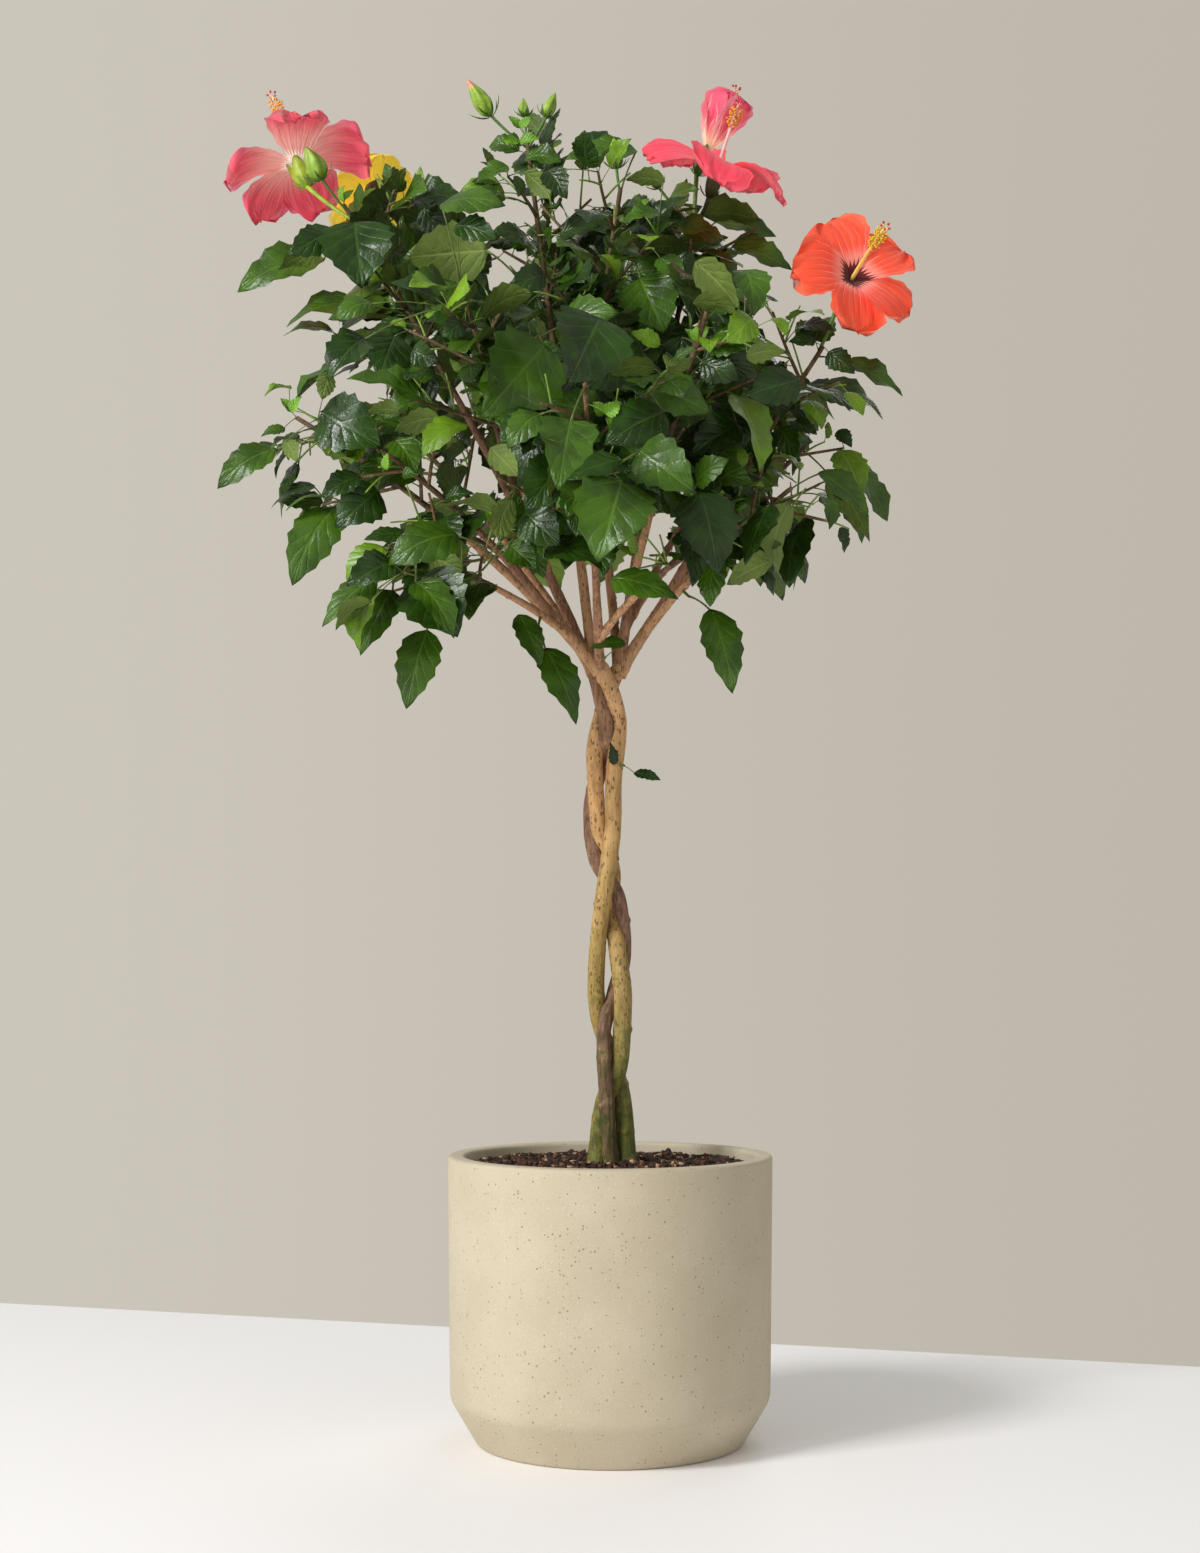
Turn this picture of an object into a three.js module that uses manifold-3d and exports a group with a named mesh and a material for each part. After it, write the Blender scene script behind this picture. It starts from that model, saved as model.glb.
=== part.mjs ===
// A hibiscus trained as a small standard tree: three stems plaited into one trunk, a fork, and an open
// crown of leafy sprays with blooms and buds, growing in a round planter. Millimetres, +Z up, with the
// origin in the middle of the planter's underside. The front, seen along +Y, is the side at -Y.
import * as THREE from "three";
import { mergeVertices } from "three/addons/utils/BufferGeometryUtils.js";
import Module from "manifold-3d";

const wasm = await Module();
wasm.setup();

// Driving dimensions of the planter and of the soil in it.
const POT = {
  height: 258,
  rimRadius: 150,
  waistRadius: 146.5,
  waistHeight: 40,
  footRadius: 122,
  wall: 15.5,
  floor: 16,
  edge: 2.5,
  sides: 36,
};
const SOIL_DEPTH_BELOW_RIM = 17;
const CLEARANCE = 0.3;

// The plaited trunk. Each stem weaves through the others along knots of height, side and depth; the
// stems press into each other, so each is cut clear of the ones before it.
const TRUNK = { top: 712, buried: 4, sides: 6, steps: 20, flareHeight: 40, flare: 2.2 };
const STEMS = [
  {
    name: "stem_brown",
    color: 0x7d5f4f,
    radii: [7, 6.6, 6.4, 7.6, 7.4],
    knots: [
      [241, 2, -7],
      [305, -3, -9],
      [375, -5, -6],
      [405, 4, 8],
      [445, 13.5, 7],
      [495, 8, -1],
      [530, -12, -1],
      [575, -18, 12],
      [620, -9, 12],
      [652, -3, -3],
      [690, -10, -1],
      [712, -15, 4],
    ],
  },
  {
    name: "stem_tan",
    color: 0xb98d5f,
    radii: [9, 8.6, 8, 7.6, 7.2],
    knots: [
      [241, -13, 2],
      [300, -6, 8],
      [340, 8, -2],
      [400, 12, -6],
      [440, 8, -5],
      [492, 1, 12],
      [520, 2, 7],
      [555, -9, 0],
      [610, -14, -4],
      [645, -13, 4],
      [680, -4, 11],
      [712, 8, 6],
    ],
  },
  {
    name: "stem_olive",
    color: 0x9a8a45,
    radii: [9, 7.6, 7.8, 7.8, 7.6],
    knots: [
      [241, 16, 2],
      [304, 12, 6],
      [345, 2, 15],
      [385, -11, 7],
      [440, -12, 0],
      [495, -6, -13],
      [550, 2, -12],
      [610, 4, -4],
      [660, 8, -1],
      [684, 3, -10],
      [712, -9, -12],
    ],
  },
];

// The crown. A limb runs from its foot to the tip of its spray; its bare, woody share is the bough, and
// the rest is the stem of a leafy spray. "tip" is x, y, z; "bow" lifts the middle of the limb.
const CROWN_CENTRE = [-40, 0, 900];
const UNDERSIDE = { middle: 762, slope: 0.1, back: 0.12 };
const BEND_AT = 0.36;
const LIMBS = [
  { name: "left_low", on: "stem_olive", tip: [-290, -60, 937], bow: 42, foot: 6.4, woody: 0.6,
    twigs: 5, reach: 70, leaf: 74 },
  { name: "left_mid", on: "left_low", at: 0.2, tip: [-204, -130, 890], bow: 26, foot: 4.6, woody: 0.52,
    twigs: 4, reach: 76, leaf: 80 },
  { name: "left_drooping", on: "left_low", at: 0.13, tip: [-196, -140, 800], bow: 22, foot: 3.8, woody: 0.5,
    twigs: 4, reach: 66, leaf: 76 },
  { name: "front_centre", on: "stem_olive", tip: [-22, -230, 925], bow: 16, foot: 5, woody: 0.5,
    twigs: 6, reach: 88, leaf: 88 },
  { name: "front_right_low", on: "front_centre", at: 0.14, tip: [112, -170, 812], bow: 30, foot: 4, woody: 0.5,
    twigs: 4, reach: 76, leaf: 84 },
  { name: "upper_left", on: "stem_brown", tip: [-252, -30, 1150], bow: 40, foot: 5.6, woody: 0.62,
    twigs: 5, reach: 84, leaf: 76 },
  { name: "front_left_up", on: "upper_left", at: 0.24, tip: [-130, -180, 1020], bow: 16, foot: 4.4, woody: 0.5,
    twigs: 6, reach: 88, leaf: 84 },
  { name: "top_left_back", on: "upper_left", at: 0.34, tip: [-170, 90, 1146], bow: 18, foot: 4.2, woody: 0.55,
    twigs: 5, reach: 66, leaf: 74 },
  { name: "back_left", on: "stem_brown", tip: [-226, 190, 1000], bow: 40, foot: 5, woody: 0.55,
    twigs: 5, reach: 86, leaf: 78 },
  { name: "back_left_low", on: "back_left", at: 0.16, tip: [-150, 220, 884], bow: 30, foot: 4, woody: 0.5,
    twigs: 4, reach: 76, leaf: 80 },
  { name: "top_centre", on: "stem_brown", tip: [-80, 0, 1226], bow: 20, foot: 5.4, woody: 0.64,
    twigs: 6, reach: 64, leaf: 60 },
  { name: "top_middle", on: "top_centre", at: 0.36, tip: [10, -76, 1150], bow: 10, foot: 4, woody: 0.5,
    twigs: 6, reach: 84, leaf: 80 },
  { name: "right_mid", on: "stem_tan", tip: [194, 60, 940], bow: 34, foot: 6.6, woody: 0.58,
    twigs: 5, reach: 78, leaf: 74 },
  { name: "right_flower", on: "right_mid", at: 0.24, tip: [200, -40, 1010], bow: 8, foot: 4.6, woody: 0.56,
    twigs: 5, reach: 74, leaf: 72 },
  { name: "right_low", on: "right_mid", at: 0.13, tip: [164, -100, 862], bow: 20, foot: 4.4, woody: 0.54,
    twigs: 4, reach: 76, leaf: 75 },
  { name: "upper_right", on: "stem_tan", tip: [84, 30, 1155], bow: 30, foot: 5.4, woody: 0.6,
    twigs: 6, reach: 88, leaf: 78 },
  { name: "front_right", on: "upper_right", at: 0.2, tip: [84, -180, 1000], bow: 16, foot: 4.4, woody: 0.5,
    twigs: 6, reach: 88, leaf: 84 },
  { name: "back_centre", on: "stem_tan", tip: [-14, 262, 1000], bow: 30, foot: 5, woody: 0.52,
    twigs: 5, reach: 88, leaf: 80 },
  { name: "back_top", on: "back_centre", at: 0.2, tip: [-40, 140, 1165], bow: 20, foot: 4.4, woody: 0.56,
    twigs: 6, reach: 88, leaf: 80 },
  { name: "back_right", on: "back_centre", at: 0.1, tip: [150, 190, 1000], bow: 26, foot: 4.6, woody: 0.52,
    twigs: 5, reach: 86, leaf: 78 },
  { name: "back_right_low", on: "back_right", at: 0.14, tip: [106, 210, 884], bow: 20, foot: 4, woody: 0.5,
    twigs: 4, reach: 76, leaf: 80 },
];
const WOODY_TIP_RADIUS = 3;
const SHOOT_TIP_RADIUS = 2;
const TWIG_RADIUS = [1.6, 1.4];

// How a spray branches and sets its leaves.
const SPRAY = {
  seed: 18,
  goldenTurn: 2.399963,
  firstTwig: 0.06,
  lastTwig: 0.84,
  twigSpread: 0.86,
  twigForward: 0.5,
  twigLift: 0.2,
  twigLeast: 0.8,
  twigVaries: 0.4,
  twigAtFoot: 1.15,
  twigFalls: 0.4,
  twigRoom: 1.8,
  aboveUnderside: 30,
  internode: 14.5,
  stemBare: 6,
  twigBare: 15,
  apart: 3,
  stemSides: 4,
  stemSteps: 2,
};
const LEAF = {
  petioleShare: 0.24,
  petioleLeast: 8,
  widthShare: 0.68,
  widestAt: 0.38,
  sizeLeast: 0.74,
  sizeSpread: 0.44,
  keelShare: 0.02,
  keelLeast: 1.3,
  rootRadius: 0.35,
  petioleRadius: 1,
  apart: 5.5,
  margin: 1.5,
  woodApart: 2,
  woodReach: 24,
  beadEvery: 5,
  twigNear: 5,
  twigAlong: 0.9,
  youngShare: 0.55,
  youngAbove: 0.94,
  towardLight: 1.1,
  plainBelow: 0.64,
  leastDroop: 0.12,
  levelAbove: 1190,
  droopDepth: 260,
};

// How far each leaf's stalk and blade lean along the shoot, outwards, up and down.
const HANG = {
  stalkForward: 0.5,
  stalkUp: 0.18,
  bladeAlongStalk: 0.62,
  bladeOut: 0.34,
  droopLeast: 0.3,
  droopSpread: 0.8,
  faceOut: 0.6,
  faceUp: 0.62,
  faceSway: 0.5,
  stalkLeast: 0.6,
  stalkSpread: 0.8,
};

// Blooms: "at" is the throat, "faces" the way that the bloom looks, and "open" how far the petals stand
// up from flat, in degrees. Buds stand on stalks around a spray's tip.
const BLOOMS = [
  { name: "rose", on: "upper_left", at: [-297, -10, 1194], faces: [-0.29, 0.31, 0.9],
    open: -4, turn: 160, petal: 78, column: 82 },
  { name: "yellow", on: "top_left_back", at: [-232, 92, 1190], faces: [-0.4, 0.55, 0.72],
    open: 24, turn: 30, petal: 56, column: 44 },
  { name: "coral", on: "upper_right", at: [102, -20, 1185], faces: [0.3, -0.36, 0.88],
    open: -6, turn: 20, petal: 78, column: 64 },
  { name: "closed_rose", on: "upper_right", at: [96, 42, 1229], faces: [0.42, -0.12, 0.9],
    open: 70, turn: 0, petal: 62, column: 66 },
  { name: "orange", on: "right_flower", at: [224, -60, 1066], faces: [0.28, -0.9, 0.33],
    open: 8, turn: 0, petal: 68, column: 78 },
];
const PETAL = {
  count: 5,
  widthShare: 0.68,
  widestAt: 0.66,
  endShare: 0.5,
  thickShare: 0.022,
  endThickShare: 0.7,
  rootAt: 2.5,
  rootRadius: 1.1,
};
const CALYX = { length: 24, radius: 7, along: [0, 0.4, 1], widths: [2, 6.3, 5.6], pastThroat: 3 };
const COLUMN = { along: [0, 0.56, 0.72, 1], widths: [1.2, 1.5, 5.5, 2], room: 5 };
const BLOOM_STALK = { from: 0.97, sag: 2, radius: 1.7, sunk: 4, room: 2 };
const BUDS = [
  { on: "top_centre", toward: 195, rise: 38, stalk: 46, length: 42, radius: 7.5 },
  { on: "top_centre", toward: 240, rise: 78, stalk: 30, length: 18, radius: 4.5 },
  { on: "top_centre", toward: 345, rise: 58, stalk: 34, length: 26, radius: 5.5 },
  { on: "top_left_back", toward: 280, rise: 72, stalk: 34, length: 34, radius: 6.5 },
  { on: "upper_left", toward: 215, rise: 42, stalk: 38, length: 34, radius: 9 },
  { on: "upper_right", toward: 190, rise: 48, stalk: 52, length: 22, radius: 5 },
  { on: "top_middle", toward: 250, rise: 66, stalk: 22, length: 28, radius: 6.5 },
  { on: "back_top", toward: 60, rise: 62, stalk: 26, length: 30, radius: 6.5 },
  { on: "back_right", toward: 30, rise: 50, stalk: 26, length: 26, radius: 6 },
];
const BUD = { from: 0.985, along: [0, 0.3, 0.62, 1], endRadius: 2, waist: 0.85, tipRadius: 0.7, lift: 0.5 };
const BUD_STALK = { radius: 1.2, sunk: 3, room: 2 };

// Leaves that draw the crown's outline. Each hangs on a long stalk from the share "along" of its limb;
// "base" and "tip" are the ends of its blade.
const OUTLINE_LEAVES = [
  { on: "left_low", along: 0.93, base: [-309, -50, 910], tip: [-365, -60, 868] },
  { on: "left_low", along: 0.8, base: [-250, -74, 850], tip: [-291, -90, 768] },
  { on: "left_drooping", along: 0.96, base: [-193, -124, 764], tip: [-220, -146, 700] },
  { on: "left_drooping", along: 0.99, base: [-206, -160, 770], tip: [-250, -176, 722] },
  { on: "left_drooping", along: 0.88, base: [-170, -166, 764], tip: [-132, -184, 708] },
  { on: "left_drooping", along: 0.8, base: [-162, -128, 728], tip: [-180, -140, 652] },
  { on: "upper_left", along: 0.97, base: [-268, -40, 1094], tip: [-350, -60, 1054] },
  { on: "upper_left", along: 0.78, base: [-236, -40, 1050], tip: [-306, -50, 1024] },
  { on: "right_flower", along: 0.97, base: [222, -30, 998], tip: [277, -24, 966] },
  { on: "right_flower", along: 0.86, base: [204, -4, 984], tip: [264, 6, 950] },
  { on: "right_mid", along: 0.98, base: [222, 52, 900], tip: [248, 58, 838] },
  { on: "right_low", along: 0.92, base: [190, -84, 880], tip: [236, -84, 838] },
  { on: "upper_right", along: 0.82, base: [118, 10, 1124], tip: [176, 0, 1096] },
  { on: "upper_right", along: 0.95, base: [104, 56, 1164], tip: [166, 60, 1150] },
  { on: "upper_right", along: 0.8, base: [92, -14, 1112], tip: [126, -30, 1050] },
  { on: "upper_right", along: 0.86, base: [88, -24, 1128], tip: [28, -60, 1106] },
  { on: "top_middle", along: 0.98, base: [26, -50, 1194], tip: [-44, -56, 1184] },
];
const OUTLINE_LEAF = { widthShare: 0.5, face: [0.1, -0.8, 0.6] };

// Short shoots straight from a limb or a stem, each with a leaf or two. "from" and "out" give the
// point in the wood and the way out of it.
const SPROUTS = [
  {
    name: "sprout_trunk",
    from: [7, -3, 618],
    out: [0.5, -1, 0],
    leaves: [
      { base: [22, -22, 610], tip: [48, -26, 603] },
      { base: [4, -20, 618], tip: [0, -24, 640] },
    ],
  },
  {
    name: "sprout_fork",
    on: "front_centre",
    along: 0.05,
    out: [0.4, -1, 0.1],
    leaves: [{ base: [15, -34, 730], tip: [-20, -38, 724] }],
  },
  {
    name: "sprout_left",
    on: "left_drooping",
    along: 0.22,
    out: [-0.2, -0.5, -1],
    leaves: [
      { base: [-84, -66, 752], tip: [-62, -72, 698] },
      { base: [-60, -60, 722], tip: [-30, -66, 648] },
    ],
  },
  {
    name: "sprout_right",
    on: "right_low",
    along: 0.36,
    out: [0.5, -0.6, -0.6],
    leaves: [{ base: [92, -60, 758], tip: [112, -68, 676] }],
  },
];
const SPROUT = { radius: 1.5, length: 14, widthShare: 0.46 };

const LOOKS = {
  pot: { color: 0xd6cbb0, roughness: 0.62 },
  soil: { color: 0x3d2a20, roughness: 0.95 },
  bark: { color: 0x8f6a4d, roughness: 0.85 },
  leafy: { color: 0x2f5a28, roughness: 0.5 },
};

const point = (p) => new THREE.Vector3(...p);
const UP = new THREE.Vector3(0, 0, 1);
const LIGHT_SIDE = new THREE.Vector3(-0.3, -1, 0);
const degrees = (a) => (a * Math.PI) / 180;

// A horizontal bearing and a rise above the horizon, in degrees, as a direction.
function bearing(toward, rise) {
  const flat = Math.cos(degrees(rise));
  return new THREE.Vector3(
    flat * Math.cos(degrees(toward)),
    flat * Math.sin(degrees(toward)),
    Math.sin(degrees(rise)),
  );
}

// Numbers from 0 to 1 that are the same on every run.
function seeded(seed) {
  let state = seed >>> 0;
  return () => {
    state = (state + 0x6d2b79f5) >>> 0;
    let t = state;
    t = Math.imul(t ^ (t >>> 15), t | 1);
    t ^= t + Math.imul(t ^ (t >>> 7), t | 61);
    return ((t ^ (t >>> 14)) >>> 0) / 4294967296;
  };
}

// Two directions square to a tangent and to each other; the first is level.
function across(tangent) {
  const level = new THREE.Vector3().crossVectors(tangent, UP);
  if (level.lengthSq() < 1e-6) level.set(1, 0, 0);
  level.normalize();
  return [level, new THREE.Vector3().crossVectors(level, tangent).normalize()];
}

// A closed solid through rings of points that all have the same count. A last ring of one point is a tip.
function loft(rings) {
  const count = rings[0].length;
  const positions = rings.flat().flatMap((p) => [p.x, p.y, p.z]);
  const triangles = [];
  for (let k = 1; k < count - 1; k++) triangles.push(0, k + 1, k);
  for (let r = 0; r < rings.length - 1; r++) {
    const low = r * count;
    const high = low + count;
    for (let k = 0; k < count; k++) {
      const next = (k + 1) % count;
      if (rings[r + 1].length === 1) {
        triangles.push(low + k, low + next, high);
      } else {
        triangles.push(low + k, low + next, high + next, low + k, high + next, high + k);
      }
    }
  }
  if (rings.at(-1).length === count) {
    const end = (rings.length - 1) * count;
    for (let k = 1; k < count - 1; k++) triangles.push(end, end + k, end + k + 1);
  }
  const geometry = new THREE.BufferGeometry();
  geometry.setAttribute("position", new THREE.Float32BufferAttribute(positions, 3));
  geometry.setIndex(triangles);
  return geometry;
}

// A tapering rod along points, with a ring of the given number of sides at each point.
function rod(points, radiusAt, sides) {
  let [e1, e2] = across(points[1].clone().sub(points[0]).normalize());
  return loft(
    points.map((p, i) => {
      const before = points[Math.max(i - 1, 0)];
      const after = points[Math.min(i + 1, points.length - 1)];
      const tangent = after.clone().sub(before).normalize();
      e1 = e1.clone().addScaledVector(tangent, -e1.dot(tangent)).normalize();
      e2 = new THREE.Vector3().crossVectors(tangent, e1).normalize();
      const radius = radiusAt(i / (points.length - 1));
      return Array.from({ length: sides }, (_, k) => {
        const a = (2 * Math.PI * k) / sides;
        return p
          .clone()
          .addScaledVector(e1, radius * Math.cos(a))
          .addScaledVector(e2, radius * Math.sin(a));
      });
    }),
  );
}

function solidOf(geometry) {
  const bare = geometry.clone();
  for (const name of ["normal", "uv"]) bare.deleteAttribute(name);
  const merged = mergeVertices(bare, 1e-4);
  return new wasm.Manifold(
    new wasm.Mesh({
      numProp: 3,
      vertProperties: merged.attributes.position.array,
      triVerts: new Uint32Array(merged.index.array),
    }),
  );
}

function geometryOf(solid) {
  const mesh = solid.getMesh();
  const geometry = new THREE.BufferGeometry();
  const positions = new Float32Array(mesh.numVert * 3);
  for (let i = 0; i < mesh.numVert; i++) {
    positions.set(mesh.vertProperties.subarray(i * mesh.numProp, i * mesh.numProp + 3), i * 3);
  }
  geometry.setAttribute("position", new THREE.BufferAttribute(positions, 3));
  geometry.setIndex(new THREE.BufferAttribute(new Uint32Array(mesh.triVerts), 1));
  return geometry;
}

// The biggest body of a solid: what a cut leaves loose is dropped.
function largest(solid) {
  return solid.decompose().reduce((a, b) => (a.volume() > b.volume() ? a : b));
}

// A stem's centreline passes smoothly through its knots, and its radius through its radii.
const soilTop = POT.height - SOIL_DEPTH_BELOW_RIM;
for (const stem of STEMS) {
  const knots = stem.knots.map(([height, side, depth]) => new THREE.Vector3(side, depth, height));
  knots[0].z = soilTop - TRUNK.buried;
  const path = new THREE.CatmullRomCurve3(knots, false, "centripetal");
  stem.points = path.getSpacedPoints(TRUNK.steps);
  stem.top = knots.at(-1);
}

function stemRadius(stem, share) {
  const place = share * (stem.radii.length - 1);
  const low = Math.min(Math.floor(place), stem.radii.length - 2);
  const plain = stem.radii[low] + (stem.radii[low + 1] - stem.radii[low]) * (place - low);
  const rise = (share * (TRUNK.top - soilTop)) / TRUNK.flareHeight;
  return plain + TRUNK.flare * Math.max(0, 1 - rise) ** 2;
}

// The limbs: each is a quadratic curve from a stem's top, or from a place along another limb.
const BURIED = 6;
const limbs = new Map();
for (const row of LIMBS) {
  const parent = limbs.get(row.on);
  const stem = STEMS.find((s) => s.name === row.on);
  const foot = parent ? parent.curve.getPoint(row.at) : stem.top.clone().addScaledVector(UP, -BURIED);
  const tip = point(row.tip);
  const bend = foot.clone().lerp(tip, BEND_AT).addScaledVector(UP, row.bow);
  limbs.set(row.name, {
    ...row,
    curve: new THREE.QuadraticBezierCurve3(foot, bend, tip),
  });
}

function limbRadius(limb, share) {
  if (share <= limb.woody) {
    return limb.foot + (WOODY_TIP_RADIUS - limb.foot) * (share / limb.woody);
  }
  const along = (share - limb.woody) / (1 - limb.woody);
  return WOODY_TIP_RADIUS + (SHOOT_TIP_RADIUS - WOODY_TIP_RADIUS) * along;
}

function limbPoints(limb, from, to, steps) {
  return Array.from({ length: steps + 1 }, (_, i) =>
    limb.curve.getPoint(from + (i / steps) * (to - from)),
  );
}

// The crown's underside slopes up towards the right and the back.
const lowestAt = (p) => UNDERSIDE.middle + UNDERSIDE.slope * p.x + UNDERSIDE.back * p.y;

// Limbs are watched along this many steps, as round wood of this share of their foot's radius.
const LIMB_STEPS = 12;
const LIMB_ROOM = 0.7;

// What has been placed so far: blades are leaves and petals, beads are round things such as wood.
const blades = [];
const beads = [];
const BEAD_SPACING = 6;
const BLADE_ROWS = 6;

function bladeHalfWidth(blade, u) {
  const t = Math.min(Math.max(u / blade.length, 0), 1);
  return 2 * blade.half * Math.sqrt(t * (1 - t));
}

function bladeSamples(blade) {
  const samples = [];
  for (let i = 0; i <= BLADE_ROWS; i++) {
    const u = (blade.length * i) / BLADE_ROWS;
    for (const v of [-1, 0, 1]) {
      samples.push(
        blade.base
          .clone()
          .addScaledVector(blade.axis, u)
          .addScaledVector(blade.side, v * bladeHalfWidth(blade, u)),
      );
    }
  }
  return samples;
}

function makeBlade(base, axis, normal, length, half) {
  const side = new THREE.Vector3().crossVectors(axis, normal).normalize();
  const flat = new THREE.Vector3().crossVectors(side, axis).normalize();
  const blade = { base, axis, side, normal: flat, length, half };
  blade.centre = base.clone().addScaledVector(axis, length / 2);
  blade.samples = bladeSamples(blade);
  return blade;
}

function nearBlade(blade, q, gap, margin = LEAF.margin) {
  const d = q.clone().sub(blade.base);
  const u = d.dot(blade.axis);
  if (Math.abs(d.dot(blade.normal)) > gap) return false;
  if (u < -margin || u > blade.length + margin) return false;
  return Math.abs(d.dot(blade.side)) < bladeHalfWidth(blade, u) + margin;
}

// Whether the straight line from p to q passes through a blade.
function passesThrough(blade, p, q) {
  const d1 = p.clone().sub(blade.base).dot(blade.normal);
  const d2 = q.clone().sub(blade.base).dot(blade.normal);
  if (d1 * d2 > 0) return false;
  return nearBlade(blade, p.clone().lerp(q, d1 / (d1 - d2 || 1)), 1);
}

// The samples run along a blade three abreast, so each has a neighbour ahead and one beside it.
function bladesMeet(one, other) {
  const { samples } = other;
  return samples.some(
    (q, i) =>
      nearBlade(one, q, LEAF.apart) ||
      (i + 3 < samples.length && passesThrough(one, q, samples[i + 3])) ||
      (i % 3 < 2 && passesThrough(one, q, samples[i + 1])),
  );
}

function bladeIsClear(blade) {
  for (const other of blades) {
    const reach = (blade.length + other.length) / 2 + LEAF.apart;
    if (blade.centre.distanceToSquared(other.centre) > reach * reach) continue;
    if (bladesMeet(blade, other) || bladesMeet(other, blade)) return false;
  }
  const reach = blade.length / 2 + LEAF.woodReach;
  return !beads.some(
    (b) =>
      b.at.distanceToSquared(blade.centre) < reach * reach &&
      nearBlade(blade, b.at, b.radius + LEAF.woodApart, b.radius + LEAF.margin),
  );
}

// A stalk is clear when it passes no blade and comes near no wood but that of its own limb.
function stalkIsClear(line, limb) {
  if (blades.some((b) => passesThrough(b, line[0].at, line.at(-1).at))) return false;
  return line.every(
    (a) =>
      !blades.some((b) => nearBlade(b, a.at, a.radius + LEAF.woodApart)) &&
      !beads.some(
        (b) => b.owner !== limb.name && a.at.distanceTo(b.at) < a.radius + b.radius + LEAF.woodApart,
      ),
  );
}

// A line of beads is clear when none of them comes near another's wood or a blade.
function beadsAreClear(line, own) {
  return line.every(
    (a) =>
      beads.every(
        (b) =>
          own.includes(b.owner) ||
          a.at.distanceTo(b.at) > a.radius + b.radius + SPRAY.apart,
      ) && blades.every((blade) => !nearBlade(blade, a.at, a.radius + SPRAY.apart)),
  );
}

function beadLine(points, radius, owner, spacing = BEAD_SPACING) {
  const line = [];
  for (let i = 0; i < points.length - 1; i++) {
    const steps = Math.max(1, Math.ceil(points[i].distanceTo(points[i + 1]) / spacing));
    for (let k = 0; k < steps; k++) {
      line.push({ at: points[i].clone().lerp(points[i + 1], k / steps), radius, owner });
    }
  }
  line.push({ at: points.at(-1).clone(), radius, owner });
  return line;
}

for (const stem of STEMS) {
  beads.push(...beadLine(stem.points, stem.radii[0], stem.name));
}
for (const limb of limbs.values()) {
  beads.push(...beadLine(limbPoints(limb, 0, 1, LIMB_STEPS), limb.foot * LIMB_ROOM, limb.name));
}

// The side twigs of every spray. Each follows the golden turn round its stem.
const random = seeded(SPRAY.seed);
for (const limb of limbs.values()) {
  limb.shoots = [];
  const phase = random() * 2 * Math.PI;
  for (let k = 0; k < limb.twigs; k++) {
    const place = SPRAY.firstTwig + ((SPRAY.lastTwig - SPRAY.firstTwig) * (k + 0.5)) / limb.twigs;
    const share = limb.woody + (1 - limb.woody) * place;
    const root = limb.curve.getPoint(share);
    const tangent = limb.curve.getTangent(share);
    const [e1, e2] = across(tangent);
    const angle = phase + k * SPRAY.goldenTurn;
    const direction = tangent
      .clone()
      .multiplyScalar(SPRAY.twigForward)
      .addScaledVector(e1, SPRAY.twigSpread * Math.cos(angle))
      .addScaledVector(e2, SPRAY.twigSpread * Math.sin(angle))
      .addScaledVector(UP, SPRAY.twigLift)
      .normalize();
    const varied = SPRAY.twigLeast + SPRAY.twigVaries * random();
    const length = limb.reach * varied * (SPRAY.twigAtFoot - SPRAY.twigFalls * place);
    const points = [root, root.clone().addScaledVector(direction, length)];
    const line = beadLine(points, SPRAY.twigRoom, limb.name);
    if (points[1].z < lowestAt(points[1]) + SPRAY.aboveUnderside) continue;
    if (!beadsAreClear(line, [limb.name])) continue;
    beads.push(...line);
    limb.shoots.push({ points, length, bare: SPRAY.twigBare });
  }
}

// Blooms and buds take their room before the leaves do.
const blooms = BLOOMS.map((row) => {
  const limb = limbs.get(row.on);
  const axis = point(row.faces).normalize();
  const throat = point(row.at);
  const foot = throat.clone().addScaledVector(axis, -CALYX.length);
  const start = limb.curve.getPoint(BLOOM_STALK.from);
  const middle = start.clone().lerp(foot, 0.5).addScaledVector(UP, -BLOOM_STALK.sag);
  const stalk = [start, middle, foot];
  const [e1, e2] = across(axis);
  const petals = Array.from({ length: PETAL.count }, (_, k) => {
    const a = degrees(row.turn + (360 / PETAL.count) * k);
    const out = e1.clone().multiplyScalar(Math.cos(a)).addScaledVector(e2, Math.sin(a));
    const open = degrees(row.open);
    const along = out
      .clone()
      .multiplyScalar(Math.cos(open))
      .addScaledVector(axis, Math.sin(open));
    const facing = axis
      .clone()
      .multiplyScalar(Math.cos(open))
      .addScaledVector(out, -Math.sin(open));
    return makeBlade(throat, along, facing, row.petal, (row.petal * PETAL.widthShare) / 2);
  });
  const tip = throat.clone().addScaledVector(axis, row.column);
  blades.push(...petals);
  beads.push(...beadLine([...stalk, throat], BLOOM_STALK.room, row.on));
  beads.push(...beadLine([throat, tip], COLUMN.room, row.on));
  return { ...row, axis, throat, foot, stalk, petals, tip };
});
const buds = BUDS.map((row) => {
  const limb = limbs.get(row.on);
  const direction = bearing(row.toward, row.rise);
  const start = limb.curve.getPoint(BUD.from);
  const base = start.clone().addScaledVector(direction, row.stalk);
  const lean = direction.clone().addScaledVector(UP, BUD.lift).normalize();
  const tip = base.clone().addScaledVector(lean, row.length);
  beads.push(...beadLine([start, base], BUD_STALK.room, row.on));
  beads.push(...beadLine([base, tip], row.radius, row.on));
  return { ...row, start, base, lean, tip };
});

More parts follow.
